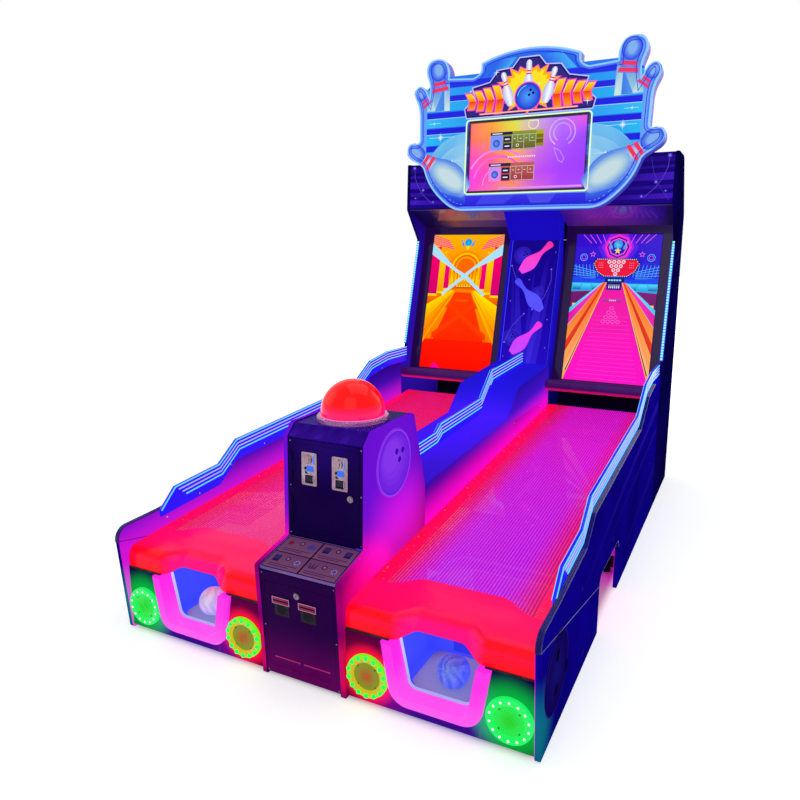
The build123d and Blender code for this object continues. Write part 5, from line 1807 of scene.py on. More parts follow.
    def build_ticket_details(self) -> None:
        """Build the lit ticket windows with their frames, and the slots at the foot."""
        glow = bmesh.new()
        frames = bmesh.new()
        for x in self.slot_x:
            place = shifted(self.ticket_plane, x, self.slot_v)
            add_rounded_box(glow, (-0.0325, 0.0028, 0.0038), (0.0325, 0.0112, 0.0050), place, 0.0004)
            add_rounded_box(glow, (-0.0325, -0.0112, 0.0038), (0.0325, -0.0028, 0.0050), place, 0.0004)
            for low, high in (((-0.0355, 0.0112), (0.0355, 0.0126)), ((-0.0355, -0.0126), (0.0355, -0.0112)),
                              ((-0.0355, -0.0126), (-0.0341, 0.0126)), ((0.0341, -0.0126), (0.0355, 0.0126))):
                add_rounded_box(frames, (*low, 0.0036), (*high, 0.0054), place, 0.0004)
        finish_piece(glow, "ticket_windows", LitPlastic("ticket_window_plastic", "700c38", "a01848", 0.8,
                     200.0), 50, body="ticket_door")
        finish_piece(frames, "ticket_window_frames", LitPlastic("window_frame_plastic", "d890c8", "b078d0",
                     0.7), 50, body="ticket_door")
        vents = bmesh.new()
        for x in (-0.063, 0.060):
            place = shifted(self.ticket_plane, x, 0.082)
            add_rounded_box(vents, (-0.052, -0.0016, 0.0), (0.050, 0.0016, 0.0018), place, 0.0006)
            add_rounded_box(vents, (0.050, -0.0024, 0.0), (0.0555, 0.0024, 0.0024), place, 0.0008)
        finish_piece(vents, "foot_slots", LitPlastic("foot_slot_plastic", "c01870", "e850a0", 0.7, 90.0),
                     50, body="ticket_door")

    def build_cover_stripes(self) -> None:
        """Print the purple blocks on the chamfer of the cover; the print glows with painted light."""
        run = Vector((0.243 - 0.200, 0.8775 - 0.836))
        lean = math.degrees(math.atan2(run.x, run.y))
        art = Picture("cover_stripes", shifted(leaning(0, 0.200, 0.836, lean), 0, 0, PRINT_LIFT))
        for i in range(6):
            x = -0.158 + i * 0.054
            tint = "3c10a4" if i % 2 else "4a18b8"
            art.shape([(x, 0.004), (x + 0.028, 0.004), (min(0.158, x + 0.050), run.length - 0.003),
                       (x + 0.022, run.length - 0.003)], fade(tint, "2c0c84"))
        # the print on the steel cover glows: painted light
        art.done(Artwork("cover_ink", 0.55, 0.3), "cover_laminate")


@dataclass
class Beacon:
    """Red dome on a clear flange ring, with its lamp holder and clips."""

    centre: Point2 = (0.0, 0.385)
    foot: float = 0.8935
    radius: float = 0.118
    skirt: float = 0.014
    wall: float = 0.0035

    def build(self) -> None:
        """Build the dome and everything inside and round it."""
        dress("beacon_base", ClearPlastic("flange_clear_plastic", "ffd0f0", "400828"))
        place = facing((self.centre[0], fy(self.centre[1]), self.foot), (0, 0, 1), (0, 1, 0))
        self.build_dome(place)
        self.build_core(place)
        self.build_fixings(place)

    def build_dome(self, place: Matrix) -> None:
        """Turn the ribbed dome."""
        r, inner = self.radius, self.radius - self.wall
        outside = [(r, 0.0), (r, 0.004), (r - 0.0008, 0.005), (r - 0.0008, 0.0075), (r, 0.0085), (r, self.skirt)]
        steps = 26
        outside += [(r * math.cos(math.pi / 2 * i / steps), self.skirt + r * math.sin(math.pi / 2 * i / steps))
                    for i in range(1, steps)]
        inside = [(inner * math.cos(math.pi / 2 * i / steps), self.skirt + inner * math.sin(math.pi / 2 * i / steps))
                  for i in range(steps - 1, 0, -1)]
        inside += [(inner, self.skirt), (inner, 0.0)]
        mesh = bmesh.new()
        add_lathe(mesh, [*outside, (0.0, self.skirt + r)], place, 96)
        add_lathe(mesh, [(0.0, self.skirt + inner), *inside], place, 96)
        add_lathe(mesh, [(inner, 0.0), (r, 0.0)], place, 96)
        dome = finish_piece(mesh, "ribbed_dome", TintedDome("dome_red_plastic", "ff1470", "ff0408", self.foot,
                            self.foot + 0.13), 35)
        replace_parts(dome, "beacon_dome")

    def build_core(self, place: Matrix) -> None:
        """Build the lamp holder that shows through the dome."""
        mesh = bmesh.new()
        add_lathe(mesh, [(0.0, 0.001), (0.088, 0.001), (0.088, 0.010), (0.060, 0.014), (0.036, 0.030),
                         (0.034, 0.062), (0.044, 0.070), (0.044, 0.078), (0.030, 0.086), (0.0, 0.090)], place, 48)
        for i in range(12):
            a = math.tau * i / 12
            spot = place @ Matrix.Rotation(a, 4, "Z") @ Matrix.Translation((0.037, 0.0, 0.046))
            add_rounded_box(mesh, (-0.002, -0.004, -0.012), (0.003, 0.004, 0.012), spot, 0.001)
        finish_piece(mesh, "dome_lamp_holder", LitPlastic("holder_plastic", "ff6090", "ffb0d0", 0.9),
                     40)

    def build_fixings(self, place: Matrix) -> None:
        """Build the screws and the gasket round the flange."""
        turns = (place @ Matrix.Rotation(math.tau * (i + 0.5) / 8, 4, "Z") for i in range(8))
        fit_screws("flange_screws", (shifted(turn, 0.1255, 0.0) for turn in turns), 0.0038, "e0a0d0", 0.25)
        ring = bmesh.new()
        add_tube(ring, [place @ Vector((0.1195 * math.cos(math.tau * i / 72), 0.1195 * math.sin(math.tau * i / 72),
                                        0.0012)) for i in range(72)], 0.0014, 6, True)
        finish_piece(ring, "flange_gasket", LitPlastic("gasket_lit_plastic", "ff50c8", "ff8ce0", 0.7),
                     60)


@dataclass
class Column:
    """Centre column between the screens: printed face, lit edges and three lit pins."""

    foot: Point2 = (2.377, 0.772)
    lean: float = 14.69
    half: float = 0.157
    length: float = 0.806

    def build(self) -> None:
        """Build and dress the column."""
        wash = Wash("2014ff", 0.35, direction=(0, 0, -1), start=-1.0, soft=0.35)
        dress("column_walls", Laminate("column_wall_laminate", "1c10b0", "150a88", 0.35, (
            Wash("2418ff", 0.3, centre=(0.17, fy(2.5), 1.3), radius=0.4, soft=0.4),)))
        dress("column_face", Laminate("column_face_laminate", "1a0c9c", "14087a", 0.35, (wash,)))
        dress("pin_lamps", PinGlow("pin_lit_acrylic"))
        self.build_print()
        self.build_edges()

    def place(self, lift: float) -> Matrix:
        """Frame on the column's face, lifted off it by a little."""
        return shifted(leaning(0, *self.foot, self.lean), 0, 0, lift)

    def build_print(self) -> None:
        """Print balls, beams and strings on the column's face; the print glows with painted light."""
        art = Picture("column_print", self.place(0.0003))
        low, high = "2a0ed0", "1c06a4"
        art.box(-self.half, 0.002, self.half, self.length * 0.55, low, high)
        art.box(-self.half, self.length * 0.55, self.half, self.length, high, "1a0894")
        for foot, top, wide, tint in ((-0.03, -0.12, 0.05, "3c28e4"), (0.02, 0.09, 0.07, "442ef0"),
                                      (0.0, 0.01, 0.03, "3420dc"), (0.06, 0.14, 0.035, "3824e0"),
                                      (-0.07, -0.145, 0.03, "3220d4")):
            art.shape([(foot - wide * 0.6, 0.004), (foot + wide * 0.6, 0.004), (top + wide * 0.12, 0.70),
                       (top - wide * 0.12, 0.70)], fade(tint, high))
        for x, y, r in ((-0.078, 0.705, 0.058), (0.050, 0.468, 0.040), (-0.100, 0.170, 0.055)):
            art.ball(x, y, r, "2c18b8", "4030e4", "12046c")
            art.ring(x, y, r, 0.0016, "4434e8", 30, 170)
        for points in ([(0.118, 0.62), (0.126, 0.55), (0.09, 0.44), (0.02, 0.36)],
                       [(-0.03, 0.33), (-0.10, 0.25), (-0.142, 0.14)],
                       [(-0.145, 0.64), (-0.11, 0.56), (-0.06, 0.51)]):
            smooth = [Vector(points[0]).lerp(Vector(points[1]), t) for t in (0, 0.5)]
            art.line([tuple(p) for p in smooth] + points[1:], 0.0012, "8478ff")
            for x, y in points[:1] + points[-1:]:
                art.disc(x, y, 0.005, "6c60f8", "b0a8ff", steps=14)
        for x, y in ((-0.13, 0.41), (0.125, 0.30), (0.13, 0.12), (-0.02, 0.55), (0.135, 0.73), (-0.14, 0.05)):
            art.spark(x, y, 0.006, "d8d0ff")
        # the printed face glows: painted light
        art.done(Artwork("column_ink", 0.75, 0.3), "column_print")

    def build_edges(self) -> None:
        """Fix a lit strip down each edge of the face."""
        mesh = bmesh.new()
        for side in Side:
            place = self.place(0.0)
            heights = (0.004, self.length * 0.5, self.length - 0.002)
            path = [place @ Vector((side * 0.1555, v, 0.002)) for v in heights]
            add_tube(mesh, path, 0.0018, 6)
        finish_piece(mesh, "column_edge_lights", LitPlastic("edge_light_plastic", "2c2cff", "4448ff", 1.0,
                     60.0), 60)


@dataclass(frozen=True)
class PinGlow(Finish):
    """Lit pins whose colour runs from magenta through blue to pink up the column."""

    def paint(self, s: Shader) -> None:
        """Build the finish."""
        rise = s.maths("DIVIDE", s.maths("SUBTRACT", s.z, 0.80), 0.76)
        colour = s.ramp(rise, [(0.0, "d83cff"), (0.14, "cc30ff"), (0.30, "ff18e0"), (0.365, "ff18e0"),
                               (0.37, "4c3cff"), (0.53, "4848ff"), (0.693, "3434ff"), (0.70, "f038f0"),
                               (0.84, "ff30d0"), (0.97, "ff0aa0")])
        mist = s.times(s.noise(60.0, 3.0), 0.05)
        colour = s.blend(mist, colour, (1.0, 0.8, 1.0))
        s.shine(colour, 0.85, 0.75, Roughness=0.25, Coat_Weight=0.1, Coat_Roughness=0.05)
        s.bump(s.noise(300.0, 2.0), 0.05, 0.0005)


@dataclass
class ScreenBays:
    """The two portrait screens with their pictures, surrounds, soffits and padded bars."""

    half: float = 0.262
    height: float = 0.928
    lean: float = 15.1
    foot: Point2 = (2.433, 0.694)
    bar: Point2 = (2.311, 0.677)
    bar_radius: float = 0.035

    def build(self) -> None:
        """Build and dress both bays."""
        glossy = Moulding("bezel_gloss_black", "0e0420", "140628", 0.16, 0.3, (
            Wash("2a0a50", 0.5, direction=(0, 0, -1), start=-0.75, soft=0.4),))
        dress("screen_bezels", glossy)
        dress("lane_screens", Moulding("screen_back_metal", "101014", "16161c", 0.4))
        dress("canopy_panels", Soffit("soffit_gloss"))
        self.build_gold_hall()
        self.build_blue_hall()
        for side in Side:
            self.build_bar(side)
            self.build_bay_edges(side)

    def screen(self, side: Side) -> Matrix:
        """Frame on the glass of one screen."""
        return shifted(leaning(side * LANE_MID, *self.foot, self.lean), 0, 0, PRINT_LIFT)

    def lane_shape(self, art: Picture, top: float, narrow: float, low: Tint, high: Tint) -> None:
        """Paint a lane that narrows towards the far pins."""
        art.shape([(-self.half, 0.0), (self.half, 0.0), (narrow, top), (-narrow, top)], fade(low, high))

    def build_gold_hall(self) -> None:
        """Paint the left screen: a golden hall, a red lane and two crossed beams."""
        art = Picture("left_screen_picture", self.screen(-1))
        h, half = self.height, self.half
        art.box(-half, 0.55, half, h, "ff5c00", "ffb800")
        art.box(-half, 0.16, half, 0.55, "ff7400", "ff9c00")
        art.box(-half, 0.42, half, 0.55, "e84000", "ff8c00")
        for side in Side:
            for k, (x0, x1, low, high) in enumerate(((0.196, half, "d01070", "ff4a7a"),
                                                     (0.150, 0.198, "ff9800", "ffd800"),
                                                     (0.112, 0.152, "e03068", "ff70a0"),
                                                     (0.082, 0.114, "ffb400", "ffe840"))):
                art.shape([(x0, 0.50 + 0.02 * k), (x1, 0.50 + 0.02 * k), (x1, 0.83 - 0.035 * k),
                           (x0, 0.85 - 0.035 * k)], fade(low, high), side)
                art.side_box(side, x0, 0.50 + 0.02 * k, x1, 0.515 + 0.02 * k, "ffe060")
            for k in range(5):
                y = 0.86 + k * 0.014
                art.line([(half, y + 0.008), (0.10 + 0.01 * k, y - 0.03)], 0.006, "ff50a0", side=side)
            art.shape([(half, 0.80), (half, 0.86), (0.105, 0.77), (0.10, 0.74)], fade("ffd400", "ff9000"), side)
        for k, (r, tint) in enumerate(((0.118, "ff8a00"), (0.104, "ffc800"), (0.090, "f06000"), (0.078, "ffa400"),
                                       (0.066, "ff6a00"))):
            arc = arc_points(0.0, 0.70, r, 0, 180, 20)
            art.shape([*arc, (-r, 0.62), (r, 0.62)], tint)
        for k in range(9):
            x = -0.088 + k * 0.022
            art.box(x - 0.006, 0.60, x + 0.006, 0.665 + 0.012 * math.sin(k), "ffe440", "ff9c00")
        for k in range(11):
            x = -0.060 + k * 0.012
            art.disc(x, 0.618, 0.0036, "40e0ff" if k % 2 else "e8ff60", steps=10)
        art.box(-0.062, 0.560, 0.062, 0.612, "c84800", "ffb000")
        for k in range(6):
            art.box(-0.055 + k * 0.0185, 0.568, -0.0435 + k * 0.0185, 0.596, "fff0a0", "ff8c00")
        art.ball(0.0, 0.875, 0.026, "1890e8", "70d8ff", "0a3c90")
        for side in Side:
            art.pin(side * 0.030, 0.848, 0.050, -side * 24, "40c0ff", "1878d8", "ff5070")
        art.star(0.0, 0.838, 0.020, "ffe860", 5)
        self.lane_shape(art, 0.53, 0.060, "ff1000", "ff4010")
        art.box(-half, 0.0, half, 0.20, "ff0a00", "ff1a00")
        for side in Side:
            art.shape([(half, 0.17), (half, 0.36), (0.075, 0.535), (0.058, 0.535)],
                      ["ff7400", "ffa800", "ffd820", "ff9000"], side)
            art.shape([(half, 0.36), (half, 0.44), (0.085, 0.545), (0.075, 0.535)],
                      ["ffb400", "ffe040", "fff070", "ffc020"], side)
            art.line([(half, 0.19), (0.062, 0.535)], 0.005, "ffcc50", side=side)
            art.line([(half, 0.25), (0.066, 0.535)], 0.003, "e04000", side=side)
            art.line([(half, 0.35), (0.072, 0.54)], 0.004, "ffe070", side=side)
        for k in range(16):
            y = 0.02 + k * 0.028
            wide = 0.20 * (1 - y / 0.8)
            art.line([(-wide, y), (wide, y)], 0.0014, "ff1804")
        for row, wide in enumerate((0.060, 0.048, 0.036, 0.024)):
            art.box(-wide, 0.285 - row * 0.018, wide, 0.297 - row * 0.018, "ff3420", "ff4830")
        for k in range(7):
            art.box(-0.045 + k * 0.014, 0.468, -0.036 + k * 0.014, 0.480, "ff8050")
        for side in Side:
            art.shape([(half, 0.790), (half, 0.868), (0.0, 0.628), (-0.150, 0.505), (-0.162, 0.520),
                       (-0.01, 0.652)], "c0e8f8", side)
            art.shape([(-0.100, 0.440), (-0.078, 0.452), (0.06, 0.345), (0.20, 0.245), (0.20, 0.200),
                       (0.02, 0.340)], "ff6a5a", side)
        art.shape([(-0.185, 0.0), (-0.100, 0.0), (-0.155, 0.040)], "ff40a0")
        art.done(Artwork("left_screen_glow", 0.96, 0.12, 0.02, 1400.0, 1.3), "screen_glass")

    def build_blue_hall(self) -> None:
        """Paint the right screen: a blue hall with neon, a magenta lane and a board of ten lamps."""
        art = Picture("right_screen_picture", self.screen(1))
        h, half = self.height, self.half
        art.box(-half, 0.55, half, 0.75, "2038e8", "2418d8")
        art.box(-half, 0.75, half, h, "2a10d8", "3a10d0")
        for k in range(7):
            for side in Side:
                art.line([(half, 0.725 - k * 0.018), (0.120, 0.690 - k * 0.010)], 0.0035, "50b8ff", side=side)
                art.line([(0.252 - k * 0.022, 0.735), (0.238 - k * 0.022, 0.66)], 0.0022, "60c8ff", side=side)
        for k, (r, tint) in enumerate(((0.125, "5818e8"), (0.100, "a020f0"), (0.083, "ff30c8"), (0.068, "4010c0"),
                                       (0.058, "ff58d0"), (0.050, "3010b8"))):
            art.shape(arc_points(0.0, 0.845, r, 0, 360, 6 if k < 2 else 8), tint)
        for side in Side:
            for k in range(4):
                art.line([(0.10 + k * 0.04, 0.925), (0.075 + k * 0.03, 0.87)], 0.004, "ff58d8", side=side)
            art.ring(side * 0.205, 0.78, 0.022, 0.003, "5ad0ff", steps=24)
            art.ring(side * 0.205, 0.78, 0.012, 0.0025, "ff60d0", steps=18)
            art.star(side * 0.150, 0.800, 0.020, "ff70e0", 5)
            art.star(side * 0.150, 0.800, 0.013, "2a14c8", 5)
        art.ball(0.0, 0.862, 0.028, "1890e8", "70d8ff", "0a3c90")
        for side in Side:
            art.pin(side * 0.034, 0.832, 0.056, -side * 24, "58c8ff", "1878d8", "ff5070")
        art.star(0.0, 0.822, 0.022, "ffd860", 5)
        board = mm((-118, 770), (118, 770), (138, 742), (112, 690), (70, 662), (-70, 662), (-112, 690), (-138, 742))
        art.shape([(x * 1.06, 0.716 + (y - 0.716) * 1.10) for x, y in board], "14106a")
        art.shape(board, "f0103c")
        for i, (x, y) in enumerate(board):
            x2, y2 = board[(i + 1) % len(board)]
            count = max(2, int(math.hypot(x2 - x, y2 - y) / 0.012))
            for k in range(count):
                art.disc(x + (x2 - x) * k / count, y + (y2 - y) * k / count, 0.0030, "48f0ff", steps=8)
        for row in range(4):
            for k in range(4 - row):
                x = (k - (3 - row) / 2) * 0.0285
                art.disc(x, 0.752 - row * 0.0255, 0.0118, "ffe4f4", steps=18)
                art.disc(x, 0.752 - row * 0.0255, 0.0062, "e85090", steps=14)
        for side in Side:
            for row in range(3):
                for k in range(3):
                    art.disc(side * (0.082 + k * 0.011), 0.745 - row * 0.014, 0.0036, "ff7088", steps=8)
        art.shape(mm((-262, 618), (262, 618), (262, 655), (60, 640), (-60, 640), (-262, 655)), "1c48f0")
        art.box(-0.058, 0.624, 0.058, 0.650, "081458", "0c1c70")
        for k in range(5):
            art.box(-0.040 + k * 0.017, 0.632, -0.028 + k * 0.017, 0.642, "9af0ff")
        art.box(-half, 0.52, half, 0.618, "1480c8", "30c8f0")
        for side in Side:
            for k, tint in enumerate(("0838a8", "18a0e8", "1048b8")):
                x0 = 0.085 + k * 0.06
                art.side_box(side, x0, 0.575, (x0 + 0.05), 0.612, tint, "50e0ff")
            art.shape(mm((262, 380), (262, 560), (120, 570), (100, 545)), ["5a0c60", "7a1470", "8a1c80", "6a1068"],
                      side)
            for k, tint in enumerate(("ffb020", "28d8a0", "ff5a20", "ffd020")):
                art.side_box(side, 0.125 + k * 0.034, 0.512 - k * 0.018, 0.145 + k * 0.034, 0.535 - k * 0.016, tint)
        for side in Side:
            art.shape(mm((262, 330), (262, 455), (75, 620), (66, 620)), fade("30d0ff", "70f0ff"), side)
            art.shape(mm((262, 350), (262, 425), (73, 618), (68, 618)), fade("e810a8", "ff40c0"), side)
            art.shape(mm((262, 110), (262, 345), (66, 622), (52, 622)),
                      ["ffb060", "ff8a30", "ff7a20", "ff5010"], side)
            art.shape(mm((262, 30), (262, 120), (54, 620), (49, 620)),
                      ["ffc890", "ff9a50", "ff8030", "ff6020"], side)
            art.shape(mm((262, 180), (262, 250), (60, 622), (56, 622)), ["e02820", "f04020", "d83010", "d83010"],
                      side)
        self.lane_shape(art, 0.622, 0.048, "ff0ac0", "f018a0")
        art.shape(mm((-252, 0), (252, 0), (150, 300), (-150, 300)), fade("ff08c8", "ff10b8"))
        for side in Side:
            art.line(mm((262, 0), (49, 622)), 0.005, "ffcc40", side=side)
            art.shape(mm((262, 0), (262, 60), (238, 60)), "ffb050", side)
        art.box(-0.046, 0.575, 0.046, 0.622, "4818a0", "180850")
        for k in range(6):
            art.pin(-0.030 + k * 0.012, 0.586, 0.024, 0, "ffffff", "b8c8f0")
        art.box(-0.058, 0.500, 0.058, 0.522, "b82898", "c83ca8")
        for k in range(4):
            art.box(-0.020 + k * 0.011, 0.506, -0.012 + k * 0.011, 0.515, "ffb0e0")
        for row in range(4):
            for k in range(row + 1):
                art.ring((k - row / 2) * 0.030, 0.462 - row * 0.028, 0.0105, 0.0022, "ff78dc", steps=18)
        for k in range(16):
            y = 0.02 + k * 0.026
            wide = 0.20 * (1 - y / 0.85)
            art.line([(-wide, y), (wide, y)], 0.0016, "ff48d8")
        art.done(Artwork("right_screen_glow", 0.92, 0.12, 0.15, 1400.0), "screen_glass")

    def build_bar(self, side: Side) -> None:
        """Roll the padded bar in front of a screen, with its seam and end caps."""
        x0, x1 = CORE_X + 0.0005, WALL_X - 0.0005
        place = facing((side * x0, fy(self.bar[0]), self.bar[1]), (side, 0, 0), (0, 0, 1))
        length = x1 - x0
        r = self.bar_radius
        profile = [(0.0, 0.0), (r * 0.72, 0.0), (r * 0.93, 0.004), (r * 0.99, 0.012)]
        rng = random.Random(41 + side)
        count = 60
        for i in range(1, count):
            share = i / count
            dent = 0.0006 * math.sin(share * 37.0) + 0.0004 * rng.random()
            profile.append((r * 0.993 - abs(dent), 0.012 + (length - 0.024) * share))
        profile += [(r * 0.99, length - 0.012), (r * 0.93, length - 0.004), (r * 0.72, length), (0.0, length)]
        mesh = bmesh.new()
        add_lathe(mesh, profile, place, 40)
        red = Wash("ff1410", 0.75, direction=(0, 0, 1), start=self.bar[1] - r * 0.9, soft=r * 0.7)
        glow = Wash("500c78", 0.5, direction=(0, 1, 0.3), start=10.0, soft=0.5)
        bar = finish_piece(mesh, f"padded_bar_{side.word}", Vinyl(f"bar_vinyl_{side.word}", "150420", (red, glow)),
                           50)
        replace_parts(bar, "impact_bars")
        seam = bmesh.new()
        spots = [place @ Vector((-r * 0.985 * math.cos(0.9), -r * 0.985 * math.sin(0.9),
                                 0.012 + (length - 0.024) * k / 30)) for k in range(31)]
        add_tube(seam, spots, 0.0009, 6)
        finish_piece(seam, f"bar_seam_{side.word}", Vinyl(f"seam_vinyl_{side.word}", "22082c"), 60)

    def build_bay_edges(self, side: Side) -> None:
        """Fix a thin trim round the glass of a screen."""
        mesh = bmesh.new()
        place = self.screen(side)
        w, h = self.half, self.height
        loop = [(-w, 0.0), (w, 0.0), (w, h), (-w, h)]
        add_tube(mesh, [place @ Vector((x, y, 0.0145)) for x, y in loop], 0.0016, 6, True)
        plastic = Moulding(f"glass_edge_plastic_{side.word}", "1a0830", "240c40", 0.2)
        finish_piece(mesh, f"glass_edge_{side.word}", plastic, 60)


@dataclass(frozen=True)
class Soffit(Finish):
    """Glossy laminate over a screen, with the light of the picture below it painted on it."""

    def paint(self, s: Shader) -> None:
        """Build the finish."""
        # painted light: the colours across the soffit stand for the light of the screens below it
        across = s.maths("DIVIDE", s.maths("ADD", s.x, 0.83), 1.66)
        colour = s.ramp(s.maths("ADD", across, s.speck(0.12, 5.0, 2.0)),
                        [(0.0, "10083c"), (0.07, "201050"), (0.14, "a05858"), (0.24, "784878"),
                         (0.36, "50288c"), (0.42, "30109c"), (0.60, "4418a8"), (0.72, "8a28a8"),
                         (0.82, "7028b0"), (0.93, "40189c"), (1.0, "180a50")])
        # the painted light is darker below a height of 1.56 m, easing back up to 1.76 m
        fade = s.along((0, 0, 1), 1.56, 1.76)
        colour = s.blend(fade, s.blend(1.0, colour, "b8b0c0", "MULTIPLY"), colour)
        s.shine(colour, 0.6, 0.85, Roughness=0.12, Coat_Weight=0.4, Coat_Roughness=0.05)
        s.bump(s.noise(120.0, 2.0), 0.03, 0.0005)


@dataclass
class Housing:
    """Rear housing: header, roof, back wall with its doors, and the mains inlet."""

    header_foot: Point2 = (2.422, 1.752)
    header_lean: float = 3.26
    header_height: float = 0.281

    def build(self) -> None:
        """Build and dress the housing."""
        dress("header_front", Laminate("header_laminate", "1c0880", "140660", 0.35))
        dress("roof_panel", PowderCoat("roof_coat", "15132a", 0.42))
        dress("rear_frame", Laminate("rear_board_laminate", "161428", "1c1a32", 0.5))
        door = Laminate("rear_door_laminate", "1a182e", "201e38", 0.5)
        dress("rear_door_left", door)
        dress("rear_door_right", door)
        dress("power_inlet", Moulding("inlet_black", "101012", "17171a", 0.35))
        self.build_header_print()
        self.build_back_details()

    def build_header_print(self) -> None:
        """Print stripes, thin curves and sparkles across the header; the print glows with painted light."""
        art = Picture("header_print", shifted(leaning(0, *self.header_foot, self.header_lean), 0, 0, PRINT_LIFT))
        art.box(-0.829, 0.002, 0.829, self.header_height - 0.002, "200c90", "1a0a74")
        for side in Side:
            for z0, z1, tint in ((0.028, 0.058, "4a1ed0"), (0.082, 0.104, "3a16b4"), (0.130, 0.172, "4a20cc"),
                                 (0.196, 0.212, "3614a8"), (0.232, 0.262, "2e1098")):
                art.shape([(0.829, z0), (0.829, z1), (0.42, z1 - 0.012), (0.36, z0 - 0.004)],
                          fade(tint, "200c84"), side)
            art.line([(0.80, 0.262), (0.795, 0.20), (0.77, 0.14), (0.73, 0.085), (0.67, 0.035)], 0.0016, "8a6cf0",
                     side=side)
            art.line([(0.70, 0.262), (0.72, 0.17), (0.76, 0.09), (0.81, 0.02)], 0.0012, "6a4ce0", side=side)
            for x, y, r in ((0.800, 0.262, 0.007), (0.735, 0.120, 0.006), (0.66, 0.042, 0.005),
                            (0.790, 0.07, 0.004)):
                art.disc(side * x, y, r * 1.8, "5030d8", "8068f8", steps=16)
                art.disc(side * x, y, r * 0.6, "b8a8ff", steps=12)
        # the printed header glows: painted light
        art.done(Artwork("header_ink", 0.7, 0.3), "header_print")

    def build_back_details(self) -> None:
        """Screw the back wall on, fit a rubber seal along the back edge of the roof and fit the inlet's three
        contacts.
        """
        fit_screws("back_screws", (facing((x, fy(2.891), z), (0, 1, 0)) for x in (-0.80, -0.03, 0.03, 0.80)
                                   for z in (0.05, 0.40, 0.80, 1.20, 1.60)), 0.005, "6a6a72", 0.35)
        seal = bmesh.new()
        add_rounded_box(seal, (-0.8315, fy(2.8805), 1.6884), (0.8315, fy(2.8905), 1.7003), Matrix(), 0.002)
        finish_piece(seal, "roof_seal", Rubber("roof_seal_rubber", "0b0b12", 160.0))
        pins = bmesh.new()
        for x, z in ((-0.007, 0.078), (0.007, 0.078), (0.0, 0.083)):
            add_rounded_box(pins, (-0.001, -0.0025, 0.0), (0.001, 0.0025, 0.014),
                            facing((x, fy(2.873), z), (0, 1, 0)), 0.0004)
        finish_piece(pins, "inlet_contacts", BareMetal("contact_brass", "d8b060", 0.25))


@dataclass(frozen=True)
class SignCase(Finish):
    """Light box whose rim glows and whose back is painted.

    Attributes:
        name: the material's name.
        foot: foot of the sign's front, as a distance behind the noses and a height.
        lean: how far the sign leans back, in degrees.
        depth: how far behind the front the paint begins.
    """

    foot: Point2
    lean: float
    depth: float = 0.0640

    def paint(self, s: Shader) -> None:
        """Build the finish."""
        tilt = math.radians(self.lean)
        inwards = Vector((0.0, math.cos(tilt), -math.sin(tilt)))
        start = inwards.dot(Vector((0.0, fy(self.foot[0]), self.foot[1]))) + self.depth
        rear = s.along(tuple(inwards), start, start + 0.001)
        speck = s.speck(0.25, 12.0, 4.0)
        lit = s.ramp(s.maths("ADD", s.along((0, 0, 1), 1.75, 2.6), speck), [(0.0, "5050f0"), (1.0, "8078ff")])
        paint = s.mottled("1c1850", "241e62", 6.0)
        s.set(Base_Color=s.blend(rear, s.darker(0.75, lit), paint), Roughness=0.4,
              Specular_IOR_Level=0.05, Emission_Color=s.darker(rear, lit), Emission_Strength=0.45)
        s.bump(s.noise(400.0, 2.0), 0.2, 0.0005)


